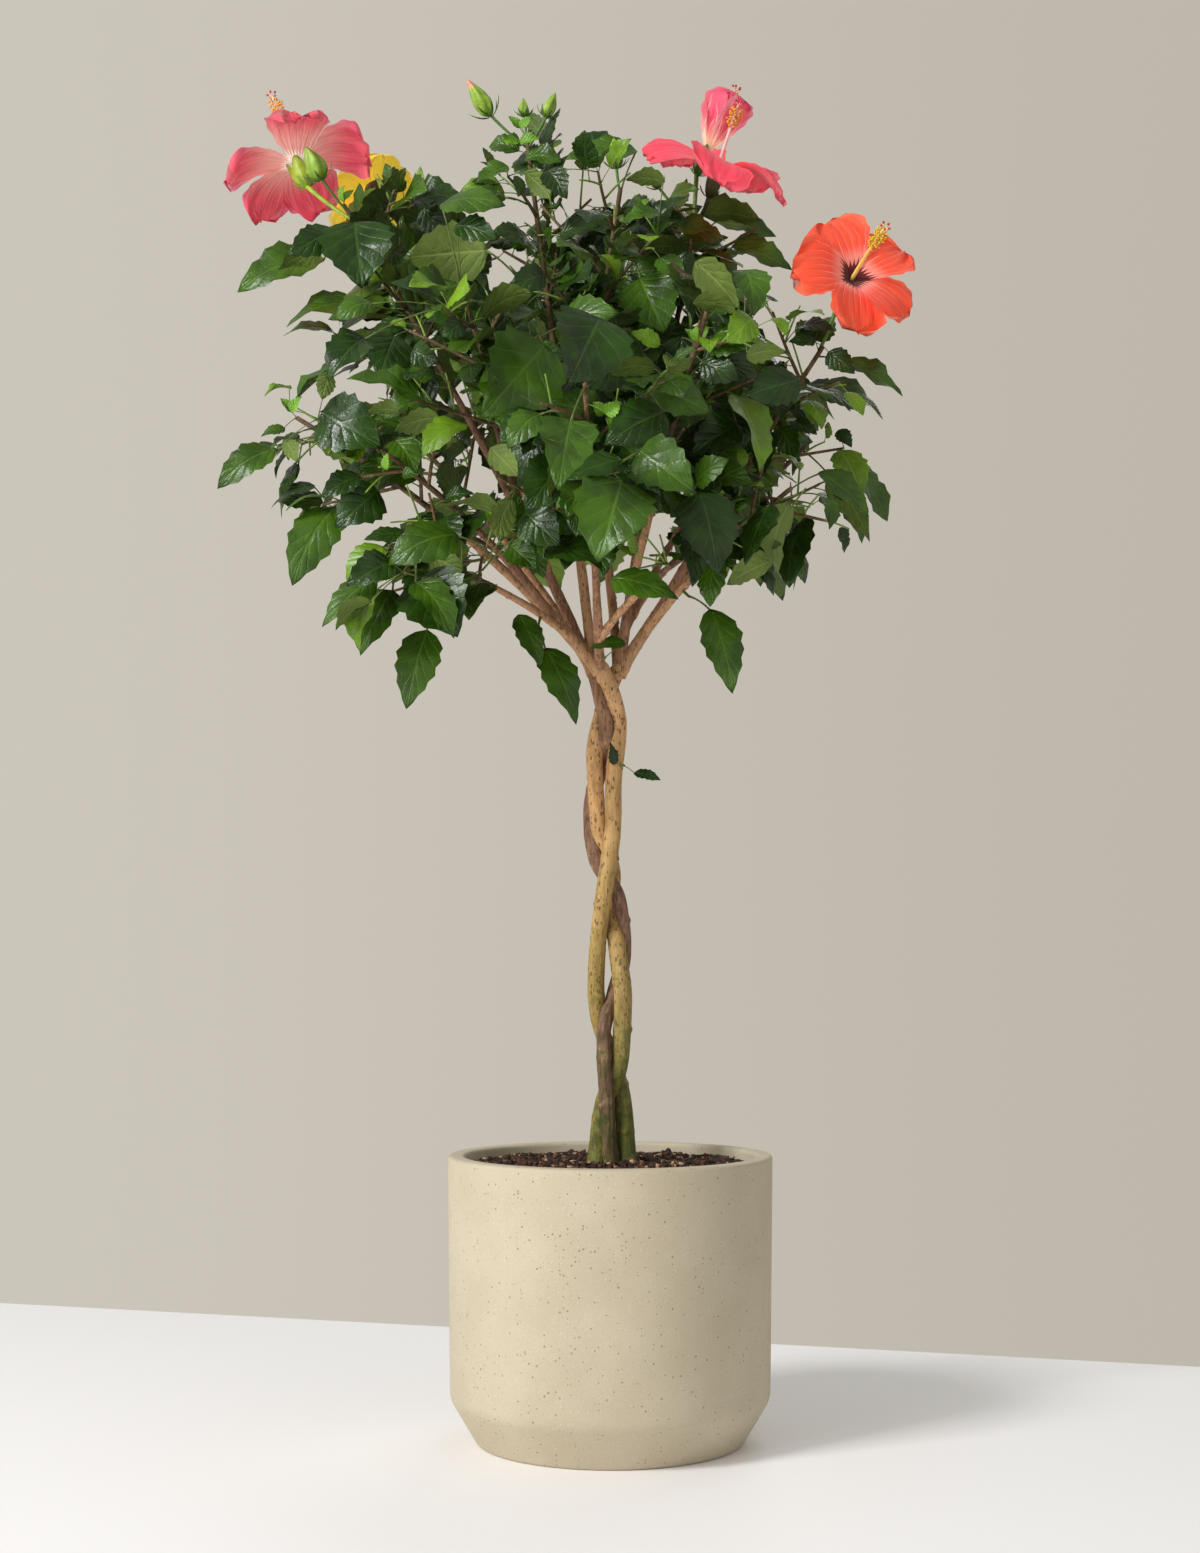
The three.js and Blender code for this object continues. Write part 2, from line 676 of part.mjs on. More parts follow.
// A leaf on a stalk from a root on wood. It is placed only where it has room.
function hangLeaf(limb, leaf) {
  const { root, stalkDirection, stalk, axis, normal, length, wide } = leaf;
  const base = root.clone().addScaledVector(stalkDirection, stalk);
  const blade = makeBlade(base, axis, normal, length, (length * wide) / 2);
  if (!bladeIsClear(blade)) return false;
  const line = beadLine([root, base], LEAF.petioleRadius, limb.name, LEAF.beadEvery).slice(1);
  if (!stalkIsClear(line, limb)) return false;
  blades.push(blade);
  beads.push(...line);
  limb.leaves.push({ root, blade, plain: leaf.plain });
  return true;
}

const centre = point(CROWN_CENTRE);
for (const limb of limbs.values()) limb.leaves = [];
for (const row of OUTLINE_LEAVES) {
  const limb = limbs.get(row.on);
  const root = limb.curve.getPoint(row.along);
  const base = point(row.base);
  const axis = point(row.tip).sub(base);
  const length = axis.length();
  const stalk = base.distanceTo(root);
  const stalkDirection = base.sub(root).normalize();
  const normal = point(OUTLINE_LEAF.face);
  const wide = OUTLINE_LEAF.widthShare;
  hangLeaf(limb, { root, stalkDirection, stalk, axis: axis.normalize(), normal, length, wide });
}

function lengthOf(points) {
  return points.reduce((sum, p, i) => (i ? sum + p.distanceTo(points[i - 1]) : 0), 0);
}

// Leaves follow the golden turn along each shoot, smaller towards its tip, and hang outwards.
function leafPlaces(limb) {
  const stem = {
    points: limbPoints(limb, limb.woody, 1, SPRAY.stemSteps),
    bare: SPRAY.stemBare,
  };
  const places = [];
  for (const shoot of [stem, ...limb.shoots]) {
    const length = lengthOf(shoot.points);
    const count = Math.floor((length - shoot.bare) / SPRAY.internode);
    const phase = random() * 2 * Math.PI;
    for (let k = 0; k <= count; k++) {
      const share = (shoot.bare + k * SPRAY.internode) / length;
      const at = shoot.points.length - 1;
      const whole = Math.min(Math.floor(share * at), at - 1);
      const root = shoot.points[whole].clone().lerp(shoot.points[whole + 1], share * at - whole);
      const tangent = shoot.points[whole + 1].clone().sub(shoot.points[whole]).normalize();
      places.push({
        root,
        tangent,
        share,
        angle: phase + k * SPRAY.goldenTurn,
        size: random(),
        droop: random(),
        sway: random(),
      });
    }
  }
  return places.sort((a, b) => b.share - a.share);
}

// Whether a stalk would start beside a twig and run along it.
function besideTwig(limb, root, direction) {
  return limb.shoots.some(
    (shoot) =>
      shoot.points[0].distanceTo(root) < LEAF.twigNear &&
      shoot.points[1].clone().sub(shoot.points[0]).normalize().dot(direction) > LEAF.twigAlong,
  );
}

function setLeaf(limb, place) {
  const [e1, e2] = across(place.tangent);
  const out = e1
    .clone()
    .multiplyScalar(Math.cos(place.angle))
    .addScaledVector(e2, Math.sin(place.angle));
  const stalkDirection = place.tangent
    .clone()
    .multiplyScalar(HANG.stalkForward)
    .add(out)
    .addScaledVector(UP, HANG.stalkUp)
    .normalize();
  if (besideTwig(limb, place.root, stalkDirection)) return false;
  const away = place.root.clone().sub(centre).setZ(0).normalize();
  const depth = (LEAF.levelAbove - place.root.z) / LEAF.droopDepth;
  const droop = Math.min(Math.max(depth, LEAF.leastDroop), 1);
  const axis = stalkDirection
    .clone()
    .multiplyScalar(HANG.bladeAlongStalk)
    .addScaledVector(away, HANG.bladeOut)
    .addScaledVector(UP, -(HANG.droopLeast + HANG.droopSpread * place.droop) * droop)
    .normalize();
  const normal = away
    .clone()
    .multiplyScalar(HANG.faceOut)
    .addScaledVector(UP, HANG.faceUp)
    .addScaledVector(out, HANG.faceSway * (place.sway - 0.5))
    .addScaledVector(LIGHT_SIDE, (LEAF.towardLight * (1 - away.y)) / 2);
  const grown = place.share > LEAF.youngAbove ? LEAF.youngShare : 1;
  const length = limb.leaf * (LEAF.sizeLeast + LEAF.sizeSpread * place.size) * grown;
  const varied = HANG.stalkLeast + HANG.stalkSpread * place.sway;
  const stalk = LEAF.petioleLeast + length * LEAF.petioleShare * varied;
  const end = place.root.clone().addScaledVector(stalkDirection, stalk).addScaledVector(axis, length);
  if (end.z < lowestAt(end)) return false;
  const wide = LEAF.widthShare;
  const plain = place.share < LEAF.plainBelow;
  return hangLeaf(limb, { root: place.root, stalkDirection, stalk, axis, normal, length, wide, plain });
}

const waiting = [...limbs.values()].map((limb) => ({ limb, places: leafPlaces(limb) }));
while (waiting.some((w) => w.places.length)) {
  for (const w of waiting) {
    if (w.places.length) setLeaf(w.limb, w.places.shift());
  }
}

// A leaf as a solid: a thin stalk that widens into a blade with a ridge along its midrib, and a sharp
// tip. A plain leaf, inside the crown, widens straight from its root.
function leafSolid(root, blade, plain) {
  const { base, axis, side, normal, length, half } = blade;
  const stalkAxis = base.clone().sub(root).normalize();
  const [s1, s2] = across(stalkAxis);
  const small = (p, r) =>
    [210, 330, 90].map((a) =>
      p
        .clone()
        .addScaledVector(s1, r * Math.cos(degrees(a)))
        .addScaledVector(s2, r * Math.sin(degrees(a))),
    );
  const wide = base.clone().addScaledVector(axis, length * LEAF.widestAt);
  const thick = Math.max(length * LEAF.keelShare, LEAF.keelLeast);
  const rings = [
    small(root, LEAF.rootRadius),
    small(base, LEAF.petioleRadius),
    [
      wide.clone().addScaledVector(side, -half),
      wide.clone().addScaledVector(side, half),
      wide.clone().addScaledVector(normal, thick),
    ],
    [base.clone().addScaledVector(axis, length)],
  ];
  if (plain) rings.splice(1, 1);
  return loftOutwards(rings);
}

// A loft with its faces pointing out, whichever way its rings run.
function loftOutwards(rings) {
  const solid = solidOf(loft(rings));
  if (solid.volume() > 0) return solid;
  return solidOf(loft(rings.map((ring) => [...ring].reverse())));
}

function petalSolid(blade) {
  const { base, axis, side, normal, length, half } = blade;
  const thick = length * PETAL.thickShare;
  const ring = (u, width, depth) => [
    base.clone().addScaledVector(axis, u).addScaledVector(side, -width),
    base.clone().addScaledVector(axis, u).addScaledVector(side, width),
    base.clone().addScaledVector(axis, u).addScaledVector(normal, -depth),
  ];
  return loftOutwards([
    ring(PETAL.rootAt, PETAL.rootRadius, PETAL.rootRadius),
    ring(length * PETAL.widestAt, half, thick),
    ring(length, half * PETAL.endShare, thick * PETAL.endThickShare),
  ]);
}

function rodSolid(points, radiusAt, sides) {
  return solidOf(rod(points, radiusAt, sides));
}

// A rod from a to b with a width at each of the given shares of the way.
function shaped(a, b, shares, widths, sides) {
  const points = shares.map((t) => a.clone().lerp(b, t));
  return rodSolid(points, (t) => widths[Math.round(t * (widths.length - 1))], sides);
}

function bloomSolids(bloom) {
  const { foot, throat, axis, tip } = bloom;
  const calyxEnd = throat.clone().addScaledVector(axis, CALYX.pastThroat);
  const calyx = shaped(foot, calyxEnd, CALYX.along, CALYX.widths, 5);
  const column = shaped(throat, tip, COLUMN.along, COLUMN.widths, 4);
  const stalkEnd = foot.clone().addScaledVector(axis, BLOOM_STALK.sunk);
  const stalk = rodSolid([bloom.stalk[0], bloom.stalk[1], stalkEnd], () => BLOOM_STALK.radius, 3);
  return [calyx, column, stalk, ...bloom.petals.map(petalSolid)];
}

function budSolids(bud) {
  const widths = [BUD.endRadius, bud.radius, bud.radius * BUD.waist, BUD.tipRadius];
  const body = shaped(bud.base, bud.tip, BUD.along, widths, 4);
  const stalkEnd = bud.base.clone().addScaledVector(bud.lean, BUD_STALK.sunk);
  return [body, rodSolid([bud.start, stalkEnd], () => BUD_STALK.radius, 3)];
}

// Everything of one spray fused into one solid.
function sprayOf(limb) {
  const stemPath = limbPoints(limb, limb.woody, 1, SPRAY.stemSteps);
  stemPath[0].addScaledVector(limb.curve.getTangent(limb.woody), CLEARANCE);
  const radiusAt = (t) => limbRadius(limb, limb.woody + t * (1 - limb.woody));
  let solid = rodSolid(stemPath, radiusAt, SPRAY.stemSides);
  for (const shoot of limb.shoots) {
    const [thick, thin] = TWIG_RADIUS;
    solid = solid.add(rodSolid(shoot.points, (t) => thick + (thin - thick) * t, 3));
  }
  for (const leaf of limb.leaves) solid = solid.add(leafSolid(leaf.root, leaf.blade, leaf.plain));
  for (const bloom of blooms.filter((b) => b.on === limb.name)) {
    for (const piece of bloomSolids(bloom)) solid = solid.add(piece);
  }
  for (const bud of buds.filter((b) => b.on === limb.name)) {
    for (const piece of budSolids(bud)) solid = solid.add(piece);
  }
  return largest(solid);
}

// The scene graph.
const group = new THREE.Group();

function addPart(name, geometry, look) {
  const mesh = new THREE.Mesh(geometry, new THREE.MeshStandardMaterial({ ...look, metalness: 0 }));
  mesh.name = name;
  group.add(mesh);
}

// The planter and the soil are turned about the axis; a small bevel rounds each edge of the rim.
function turned(profile) {
  const points = profile.map(([radius, height]) => new THREE.Vector2(radius, height));
  return new THREE.LatheGeometry(points, POT.sides).rotateX(Math.PI / 2);
}

const INNER_FOOT_RISE = 6;
const wallSlope = (POT.rimRadius - POT.waistRadius) / (POT.height - POT.waistHeight);
const outerAt = (z) => POT.rimRadius - (POT.height - z) * wallSlope;
const innerAt = (z) => outerAt(z) - POT.wall;
const innerFoot = POT.waistHeight + INNER_FOOT_RISE;
const potProfile = [
  [0, 0],
  [POT.footRadius, 0],
  [POT.waistRadius, POT.waistHeight],
  [POT.rimRadius, POT.height - POT.edge],
  [POT.rimRadius - POT.edge, POT.height],
  [innerAt(POT.height) + POT.edge, POT.height],
  [innerAt(POT.height), POT.height - POT.edge],
  [innerAt(innerFoot), innerFoot],
  [POT.footRadius - POT.wall, POT.floor],
  [0, POT.floor],
];
const soilProfile = [
  [0, POT.floor + CLEARANCE],
  [POT.footRadius - POT.wall - 2 * CLEARANCE, POT.floor + CLEARANCE],
  [innerAt(innerFoot) - 2 * CLEARANCE, innerFoot],
  [innerAt(soilTop) - 2 * CLEARANCE, soilTop],
  [0, soilTop],
];
addPart("pot", turned(potProfile), LOOKS.pot);
addPart("soil", turned(soilProfile), LOOKS.soil);

// Stems first, then the boughs, each cut clear of the wood that it grows from and leans on.
const wood = [];
const levelUp = [0, 0, 1];
const levelDown = [0, 0, -1];
function swollen(points, radiusAt, sides) {
  return rodSolid(points, (t) => radiusAt(t) + CLEARANCE * 1.2, sides);
}
for (const stem of STEMS) {
  const radiusAt = (share) => stemRadius(stem, share);
  let solid = rodSolid(stem.points, radiusAt, TRUNK.sides)
    .trimByPlane(levelUp, soilTop + CLEARANCE)
    .trimByPlane(levelDown, -TRUNK.top);
  for (const other of wood) solid = solid.subtract(other.solid);
  addPart(stem.name, geometryOf(largest(solid)), { color: stem.color, roughness: 0.8 });
  wood.push({ solid: swollen(stem.points, radiusAt, TRUNK.sides) });
}
const BOUGH = { sides: 5, steps: 4 };
for (const limb of limbs.values()) {
  const points = limbPoints(limb, 0, limb.woody, BOUGH.steps);
  const radiusAt = (t) => limbRadius(limb, t * limb.woody);
  let solid = rodSolid(points, radiusAt, BOUGH.sides);
  for (const other of wood) solid = solid.subtract(other.solid);
  addPart(`bough_${limb.name}`, geometryOf(largest(solid)), LOOKS.bark);
  wood.push({ solid: swollen(points, radiusAt, BOUGH.sides) });
}
for (const limb of limbs.values()) {
  addPart(`spray_${limb.name}`, geometryOf(sprayOf(limb)), LOOKS.leafy);
}
for (const row of SPROUTS) {
  const out = point(row.out).normalize();
  const start = row.on ? limbs.get(row.on).curve.getPoint(row.along) : point(row.from);
  const end = start.clone().addScaledVector(out, SPROUT.length);
  let solid = rodSolid([start, end], () => SPROUT.radius, 3);
  for (const leaf of row.leaves) {
    const base = point(leaf.base);
    const axis = point(leaf.tip).sub(base);
    const length = axis.length();
    const half = (length * SPROUT.widthShare) / 2;
    const blade = makeBlade(base, axis.normalize(), point(OUTLINE_LEAF.face), length, half);
    solid = solid.add(leafSolid(end.clone().addScaledVector(out, -SPROUT.radius), blade, false));
  }
  for (const other of wood) solid = solid.subtract(other.solid);
  addPart(row.name, geometryOf(largest(solid)), LOOKS.leafy);
}

export default group;
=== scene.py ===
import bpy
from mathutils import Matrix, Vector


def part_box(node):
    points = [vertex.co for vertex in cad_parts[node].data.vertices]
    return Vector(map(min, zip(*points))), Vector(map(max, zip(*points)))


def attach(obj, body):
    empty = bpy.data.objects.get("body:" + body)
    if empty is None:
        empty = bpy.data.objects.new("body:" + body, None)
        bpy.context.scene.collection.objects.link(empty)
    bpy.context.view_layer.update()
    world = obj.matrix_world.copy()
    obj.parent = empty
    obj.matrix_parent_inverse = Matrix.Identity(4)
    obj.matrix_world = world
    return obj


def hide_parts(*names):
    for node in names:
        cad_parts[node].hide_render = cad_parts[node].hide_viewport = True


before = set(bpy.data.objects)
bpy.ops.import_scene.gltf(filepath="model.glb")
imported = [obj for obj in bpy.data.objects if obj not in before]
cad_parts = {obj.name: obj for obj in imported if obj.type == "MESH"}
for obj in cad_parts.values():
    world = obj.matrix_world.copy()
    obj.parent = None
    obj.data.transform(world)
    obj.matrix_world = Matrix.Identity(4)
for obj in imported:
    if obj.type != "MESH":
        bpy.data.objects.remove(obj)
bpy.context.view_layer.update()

import logging
import math
from dataclasses import dataclass, field, fields
from enum import Enum
from functools import cached_property
from typing import Callable, Iterable, Sequence

import bpy
import numpy as np
from mathutils import Vector

LOG = logging.getLogger("hibiscus")
Array = np.ndarray
Pair = tuple[float, float]
Triple = tuple[float, float, float]
Colour = tuple[float, float, float, float]
METRES = 0.001
UP = np.array([0.0, 0.0, 1.0])
DEPTH = np.array([0.0, 1.0, 0.0])
GOLDEN_TURN = 2.399963
BODY = "root"


# Sizes that the solids' source gives, in millimetres.
@dataclass(frozen=True)
class StemRow:
    """One stem of the plait: its radii from foot to top and its knots of height, side and depth."""

    name: str
    radii: tuple[float, ...]
    knots: tuple[Triple, ...]


@dataclass(frozen=True)
class LimbRow:
    """A limb: what it grows on, its tip, how far it bows up, and how its spray branches."""

    name: str
    on: str
    tip: Triple
    bow: float
    foot: float
    woody: float
    twigs: int
    reach: float
    leaf: float
    at: float = 0.0


@dataclass(frozen=True)
class BloomRow:
    """A bloom: its limb, its throat, the way it looks, and how far its petals stand up, in degrees."""

    name: str
    on: str
    at: Triple
    faces: Triple
    open: float
    turn: float
    petal: float
    column: float


@dataclass(frozen=True)
class BudRow:
    """A bud on a stalk round a spray's tip; bearings are in degrees."""

    on: str
    toward: float
    rise: float
    stalk: float
    length: float
    radius: float


@dataclass(frozen=True)
class OutlineRow:
    """A leaf that draws the crown's outline, from its place on its limb to the ends of its blade."""

    on: str
    along: float
    base: Triple
    tip: Triple


@dataclass(frozen=True)
class SproutRow:
    """A short shoot from the wood, with the ends of each of its leaves."""

    name: str
    out: Triple
    leaves: tuple[tuple[Triple, Triple], ...]
    on: str = ""
    along: float = 0.0
    start: Triple = (0.0, 0.0, 0.0)


STEMS = (
    StemRow("stem_brown", (7, 6.6, 6.4, 7.6, 7.4), (
        (241, 2, -7), (305, -3, -9), (375, -5, -6), (405, 4, 8), (445, 13.5, 7), (495, 8, -1),
        (530, -12, -1), (575, -18, 12), (620, -9, 12), (652, -3, -3), (690, -10, -1), (712, -15, 4))),
    StemRow("stem_tan", (9, 8.6, 8, 7.6, 7.2), (
        (241, -13, 2), (300, -6, 8), (340, 8, -2), (400, 12, -6), (440, 8, -5), (492, 1, 12),
        (520, 2, 7), (555, -9, 0), (610, -14, -4), (645, -13, 4), (680, -4, 11), (712, 8, 6))),
    StemRow("stem_olive", (9, 7.6, 7.8, 7.8, 7.6), (
        (241, 16, 2), (304, 12, 6), (345, 2, 15), (385, -11, 7), (440, -12, 0), (495, -6, -13),
        (550, 2, -12), (610, 4, -4), (660, 8, -1), (684, 3, -10), (712, -9, -12))),
)
LIMBS = tuple(LimbRow(*row) for row in (
    ("left_low", "stem_olive", (-290, -60, 937), 42, 6.4, 0.6, 5, 70, 74),
    ("left_mid", "left_low", (-204, -130, 890), 26, 4.6, 0.52, 4, 76, 80, 0.2),
    ("left_drooping", "left_low", (-196, -140, 800), 22, 3.8, 0.5, 4, 66, 76, 0.13),
    ("front_centre", "stem_olive", (-22, -230, 925), 16, 5, 0.5, 6, 88, 88),
    ("front_right_low", "front_centre", (112, -170, 812), 30, 4, 0.5, 4, 76, 84, 0.14),
    ("upper_left", "stem_brown", (-252, -30, 1150), 40, 5.6, 0.62, 5, 84, 76),
    ("front_left_up", "upper_left", (-130, -180, 1020), 16, 4.4, 0.5, 6, 88, 84, 0.24),
    ("top_left_back", "upper_left", (-170, 90, 1146), 18, 4.2, 0.55, 5, 66, 74, 0.34),
    ("back_left", "stem_brown", (-226, 190, 1000), 40, 5, 0.55, 5, 86, 78),
    ("back_left_low", "back_left", (-150, 220, 884), 30, 4, 0.5, 4, 76, 80, 0.16),
    ("top_centre", "stem_brown", (-80, 0, 1226), 20, 5.4, 0.64, 6, 64, 60),
    ("top_middle", "top_centre", (10, -76, 1150), 10, 4, 0.5, 6, 84, 80, 0.36),
    ("right_mid", "stem_tan", (194, 60, 940), 34, 6.6, 0.58, 5, 78, 74),
    ("right_flower", "right_mid", (200, -40, 1010), 8, 4.6, 0.56, 5, 74, 72, 0.24),
    ("right_low", "right_mid", (164, -100, 862), 20, 4.4, 0.54, 4, 76, 75, 0.13),
    ("upper_right", "stem_tan", (84, 30, 1155), 30, 5.4, 0.6, 6, 88, 78),
    ("front_right", "upper_right", (84, -180, 1000), 16, 4.4, 0.5, 6, 88, 84, 0.2),
    ("back_centre", "stem_tan", (-14, 262, 1000), 30, 5, 0.52, 5, 88, 80),
    ("back_top", "back_centre", (-40, 140, 1165), 20, 4.4, 0.56, 6, 88, 80, 0.2),
    ("back_right", "back_centre", (150, 190, 1000), 26, 4.6, 0.52, 5, 86, 78, 0.1),
    ("back_right_low", "back_right", (106, 210, 884), 20, 4, 0.5, 4, 76, 80, 0.14),
))
BLOOMS = tuple(BloomRow(*row) for row in (
    ("rose", "upper_left", (-297, -10, 1194), (-0.34, 0.31, 0.88), -4, 160, 78, 92),
    ("yellow", "top_left_back", (-232, 92, 1190), (-0.4, 0.55, 0.72), 24, 30, 56, 44),
    ("coral", "upper_right", (102, -20, 1185), (0.3, -0.36, 0.88), -6, 20, 78, 64),
    ("closed_rose", "upper_right", (96, 42, 1229), (0.42, -0.12, 0.9), 70, 0, 62, 66),
    ("orange", "right_flower", (224, -60, 1066), (0.28, -0.9, 0.33), 8, 0, 68, 78),
))
BUDS = tuple(BudRow(*row) for row in (
    ("top_centre", 195, 38, 46, 42, 7.5),
    ("top_centre", 240, 78, 30, 18, 4.5),
    ("top_centre", 345, 58, 34, 26, 5.5),
    ("top_left_back", 280, 72, 34, 34, 6.5),
    ("upper_left", 215, 42, 38, 34, 9),
    ("upper_right", 190, 48, 52, 22, 5),
    ("top_middle", 250, 66, 22, 28, 6.5),
    ("back_top", 60, 62, 26, 30, 6.5),
    ("back_right", 30, 50, 26, 26, 6),
))
OUTLINE_LEAVES = tuple(OutlineRow(*row) for row in (
    ("left_low", 0.93, (-309, -50, 910), (-365, -60, 868)),
    ("left_low", 0.8, (-250, -74, 850), (-291, -90, 768)),
    ("left_drooping", 0.96, (-193, -124, 764), (-220, -146, 700)),
    ("left_drooping", 0.99, (-206, -160, 770), (-250, -176, 722)),
    ("left_drooping", 0.88, (-170, -166, 764), (-132, -184, 708)),
    ("left_drooping", 0.8, (-162, -128, 728), (-180, -140, 652)),
    ("upper_left", 0.97, (-268, -40, 1094), (-350, -60, 1054)),
    ("upper_left", 0.78, (-236, -40, 1050), (-306, -50, 1024)),
    ("right_flower", 0.97, (222, -30, 998), (277, -24, 966)),
    ("right_flower", 0.86, (204, -4, 984), (264, 6, 950)),
    ("right_mid", 0.98, (222, 52, 900), (248, 58, 838)),
    ("right_low", 0.92, (190, -84, 880), (236, -84, 838)),
    ("upper_right", 0.82, (118, 10, 1124), (176, 0, 1096)),
    ("upper_right", 0.95, (104, 56, 1164), (166, 60, 1150)),
    ("upper_right", 0.8, (92, -14, 1112), (126, -30, 1050)),
    ("upper_right", 0.86, (88, -24, 1128), (28, -60, 1106)),
    ("top_middle", 0.98, (26, -50, 1194), (-44, -56, 1184)),
))
# A leaf that carries the crown as far to the front as the solids reach.
FRONT_LEAF = OutlineRow("front_centre", 0.98, (-33, -272, 880), (-43, -333, 806))
SPROUTS = (
    SproutRow("sprout_trunk", (0.5, -1, 0), (
        ((22, -22, 610), (48, -26, 603)), ((4, -20, 618), (0, -24, 640))), start=(7, -3, 618)),
    SproutRow("sprout_fork", (0.4, -1, 0.1), (((15, -34, 730), (-20, -38, 724)),), "front_centre", 0.05),
    SproutRow("sprout_left", (-0.2, -0.5, -1), (
        ((-84, -66, 752), (-62, -72, 698)), ((-60, -60, 722), (-30, -66, 648))), "left_drooping", 0.22),
    SproutRow("sprout_right", (0.5, -0.6, -0.6), (((92, -60, 758), (112, -68, 676)),), "right_low", 0.36),
)
# What the photograph shows, in its pixels. First, where the tips of the petals of two blooms lie.
AIMS = {
    "rose": ((225, 177), (250, 232), (322, 216), (384, 150), (300, 118)),
    "orange": ((781, 275), (821, 222), (884, 264), (906, 328), (852, 350)),
}
# The leaves, by face: the foot and the tip of each blade, and the half width that is seen as a share
# of the length.
SEEN = {
    "deep": (
        (335, 230, 288, 255, 0.32), (355, 222, 362, 290, 0.47), (395, 335, 378, 378, 0.5),
        (365, 338, 325, 385, 0.33), (322, 412, 386, 450, 0.38), (548, 170, 568, 200, 0.35),
        (545, 275, 507, 288, 0.35), (600, 318, 565, 390, 0.48), (640, 345, 582, 390, 0.38),
        (560, 235, 602, 226, 0.25), (815, 342, 788, 342, 0.28), (828, 352, 855, 374, 0.35),
        (800, 380, 745, 396, 0.34), (702, 362, 742, 382, 0.35), (360, 476, 320, 498, 0.3),
        (378, 490, 333, 530, 0.38), (408, 534, 363, 540, 0.2), (392, 562, 345, 588, 0.34),
        (420, 577, 458, 638, 0.47), (445, 500, 476, 494, 0.25), (600, 428, 546, 455, 0.3),
        (665, 412, 602, 446, 0.34), (562, 463, 524, 512, 0.4), (622, 460, 562, 480, 0.22),
        (525, 512, 563, 549, 0.4), (545, 550, 606, 568, 0.28), (770, 504, 745, 566, 0.24),
        (806, 516, 789, 590, 0.2), (690, 535, 692, 588, 0.3), (738, 424, 690, 456, 0.34),
        (768, 432, 762, 478, 0.25), (462, 322, 440, 338, 0.4), (455, 226, 500, 240, 0.3),
        (700, 492, 718, 578, 0.35), (412, 350, 440, 362, 0.4), (838, 430, 852, 448, 0.34),
    ),
    "green": (
        (372, 303, 332, 322, 0.28), (333, 331, 280, 337, 0.14), (420, 397, 345, 379, 0.2),
        (285, 428, 260, 437, 0.25), (524, 160, 566, 163, 0.22), (508, 166, 475, 184, 0.25),
        (518, 176, 518, 198, 0.3), (440, 205, 508, 206, 0.18), (545, 345, 478, 420, 0.4),
        (600, 412, 543, 402, 0.38), (640, 278, 666, 338, 0.42), (735, 240, 778, 256, 0.3),
        (745, 270, 754, 320, 0.34), (458, 535, 382, 568, 0.3), (622, 480, 597, 566, 0.42),
        (640, 450, 698, 496, 0.36), (612, 578, 680, 600, 0.26), (828, 498, 829, 531, 0.3),
        (716, 560, 710, 608, 0.3), (402, 476, 427, 470, 0.3), (500, 190, 422, 194, 0.18),
        (395, 440, 418, 476, 0.34), (660, 215, 620, 224, 0.2), (780, 428, 800, 458, 0.36),
    ),
    "fresh": (
        (660, 345, 630, 332, 0.3), (600, 255, 618, 284, 0.22), (752, 318, 723, 345, 0.4),
        (772, 318, 788, 338, 0.22), (800, 398, 770, 388, 0.3), (735, 395, 760, 476, 0.22),
        (375, 590, 360, 655, 0.24), (840, 450, 862, 500, 0.32), (467, 425, 418, 460, 0.22),
        (624, 434, 604, 416, 0.36),
    ),
    "tip": (
        (291, 412, 280, 398, 0.3), (291, 412, 302, 396, 0.3), (385, 470, 376, 456, 0.3),
        (385, 470, 396, 455, 0.3), (386, 470, 388, 452, 0.26), (494, 522, 484, 508, 0.34),
        (494, 522, 506, 508, 0.34), (605, 414, 592, 402, 0.4), (605, 414, 622, 400, 0.36),
        (696, 342, 684, 328, 0.3), (696, 342, 710, 326, 0.34), (697, 342, 698, 324, 0.28),
        (640, 212, 634, 194, 0.22), (640, 212, 650, 198, 0.22), (520, 128, 508, 116, 0.3),
        (520, 128, 532, 116, 0.3), (344, 200, 336, 188, 0.26), (344, 200, 354, 190, 0.26),
        (344, 202, 345, 184, 0.2), (520, 142, 500, 140, 0.3), (520, 142, 541, 140, 0.3),
    ),
    "under": (
        (322, 252, 276, 271, 0.3), (330, 372, 322, 400, 0.34), (400, 412, 364, 416, 0.24),
        (440, 418, 392, 432, 0.3), (285, 440, 298, 463, 0.34), (525, 172, 552, 200, 0.3),
        (488, 250, 402, 258, 0.36), (484, 318, 540, 292, 0.24), (656, 368, 602, 376, 0.22),
        (690, 250, 640, 248, 0.2), (665, 182, 624, 180, 0.26), (700, 214, 763, 222, 0.24),
        (695, 262, 742, 312, 0.3), (693, 303, 742, 318, 0.2), (746, 357, 790, 352, 0.28),
        (372, 602, 334, 632, 0.16), (430, 556, 466, 572, 0.4), (500, 512, 430, 512, 0.14),
        (575, 455, 548, 500, 0.14), (790, 503, 783, 588, 0.2), (826, 480, 871, 544, 0.22),
        (775, 560, 726, 585, 0.25), (512, 498, 500, 545, 0.28), (645, 606, 626, 660, 0.24),
        (490, 448, 520, 478, 0.34),
    ),
}
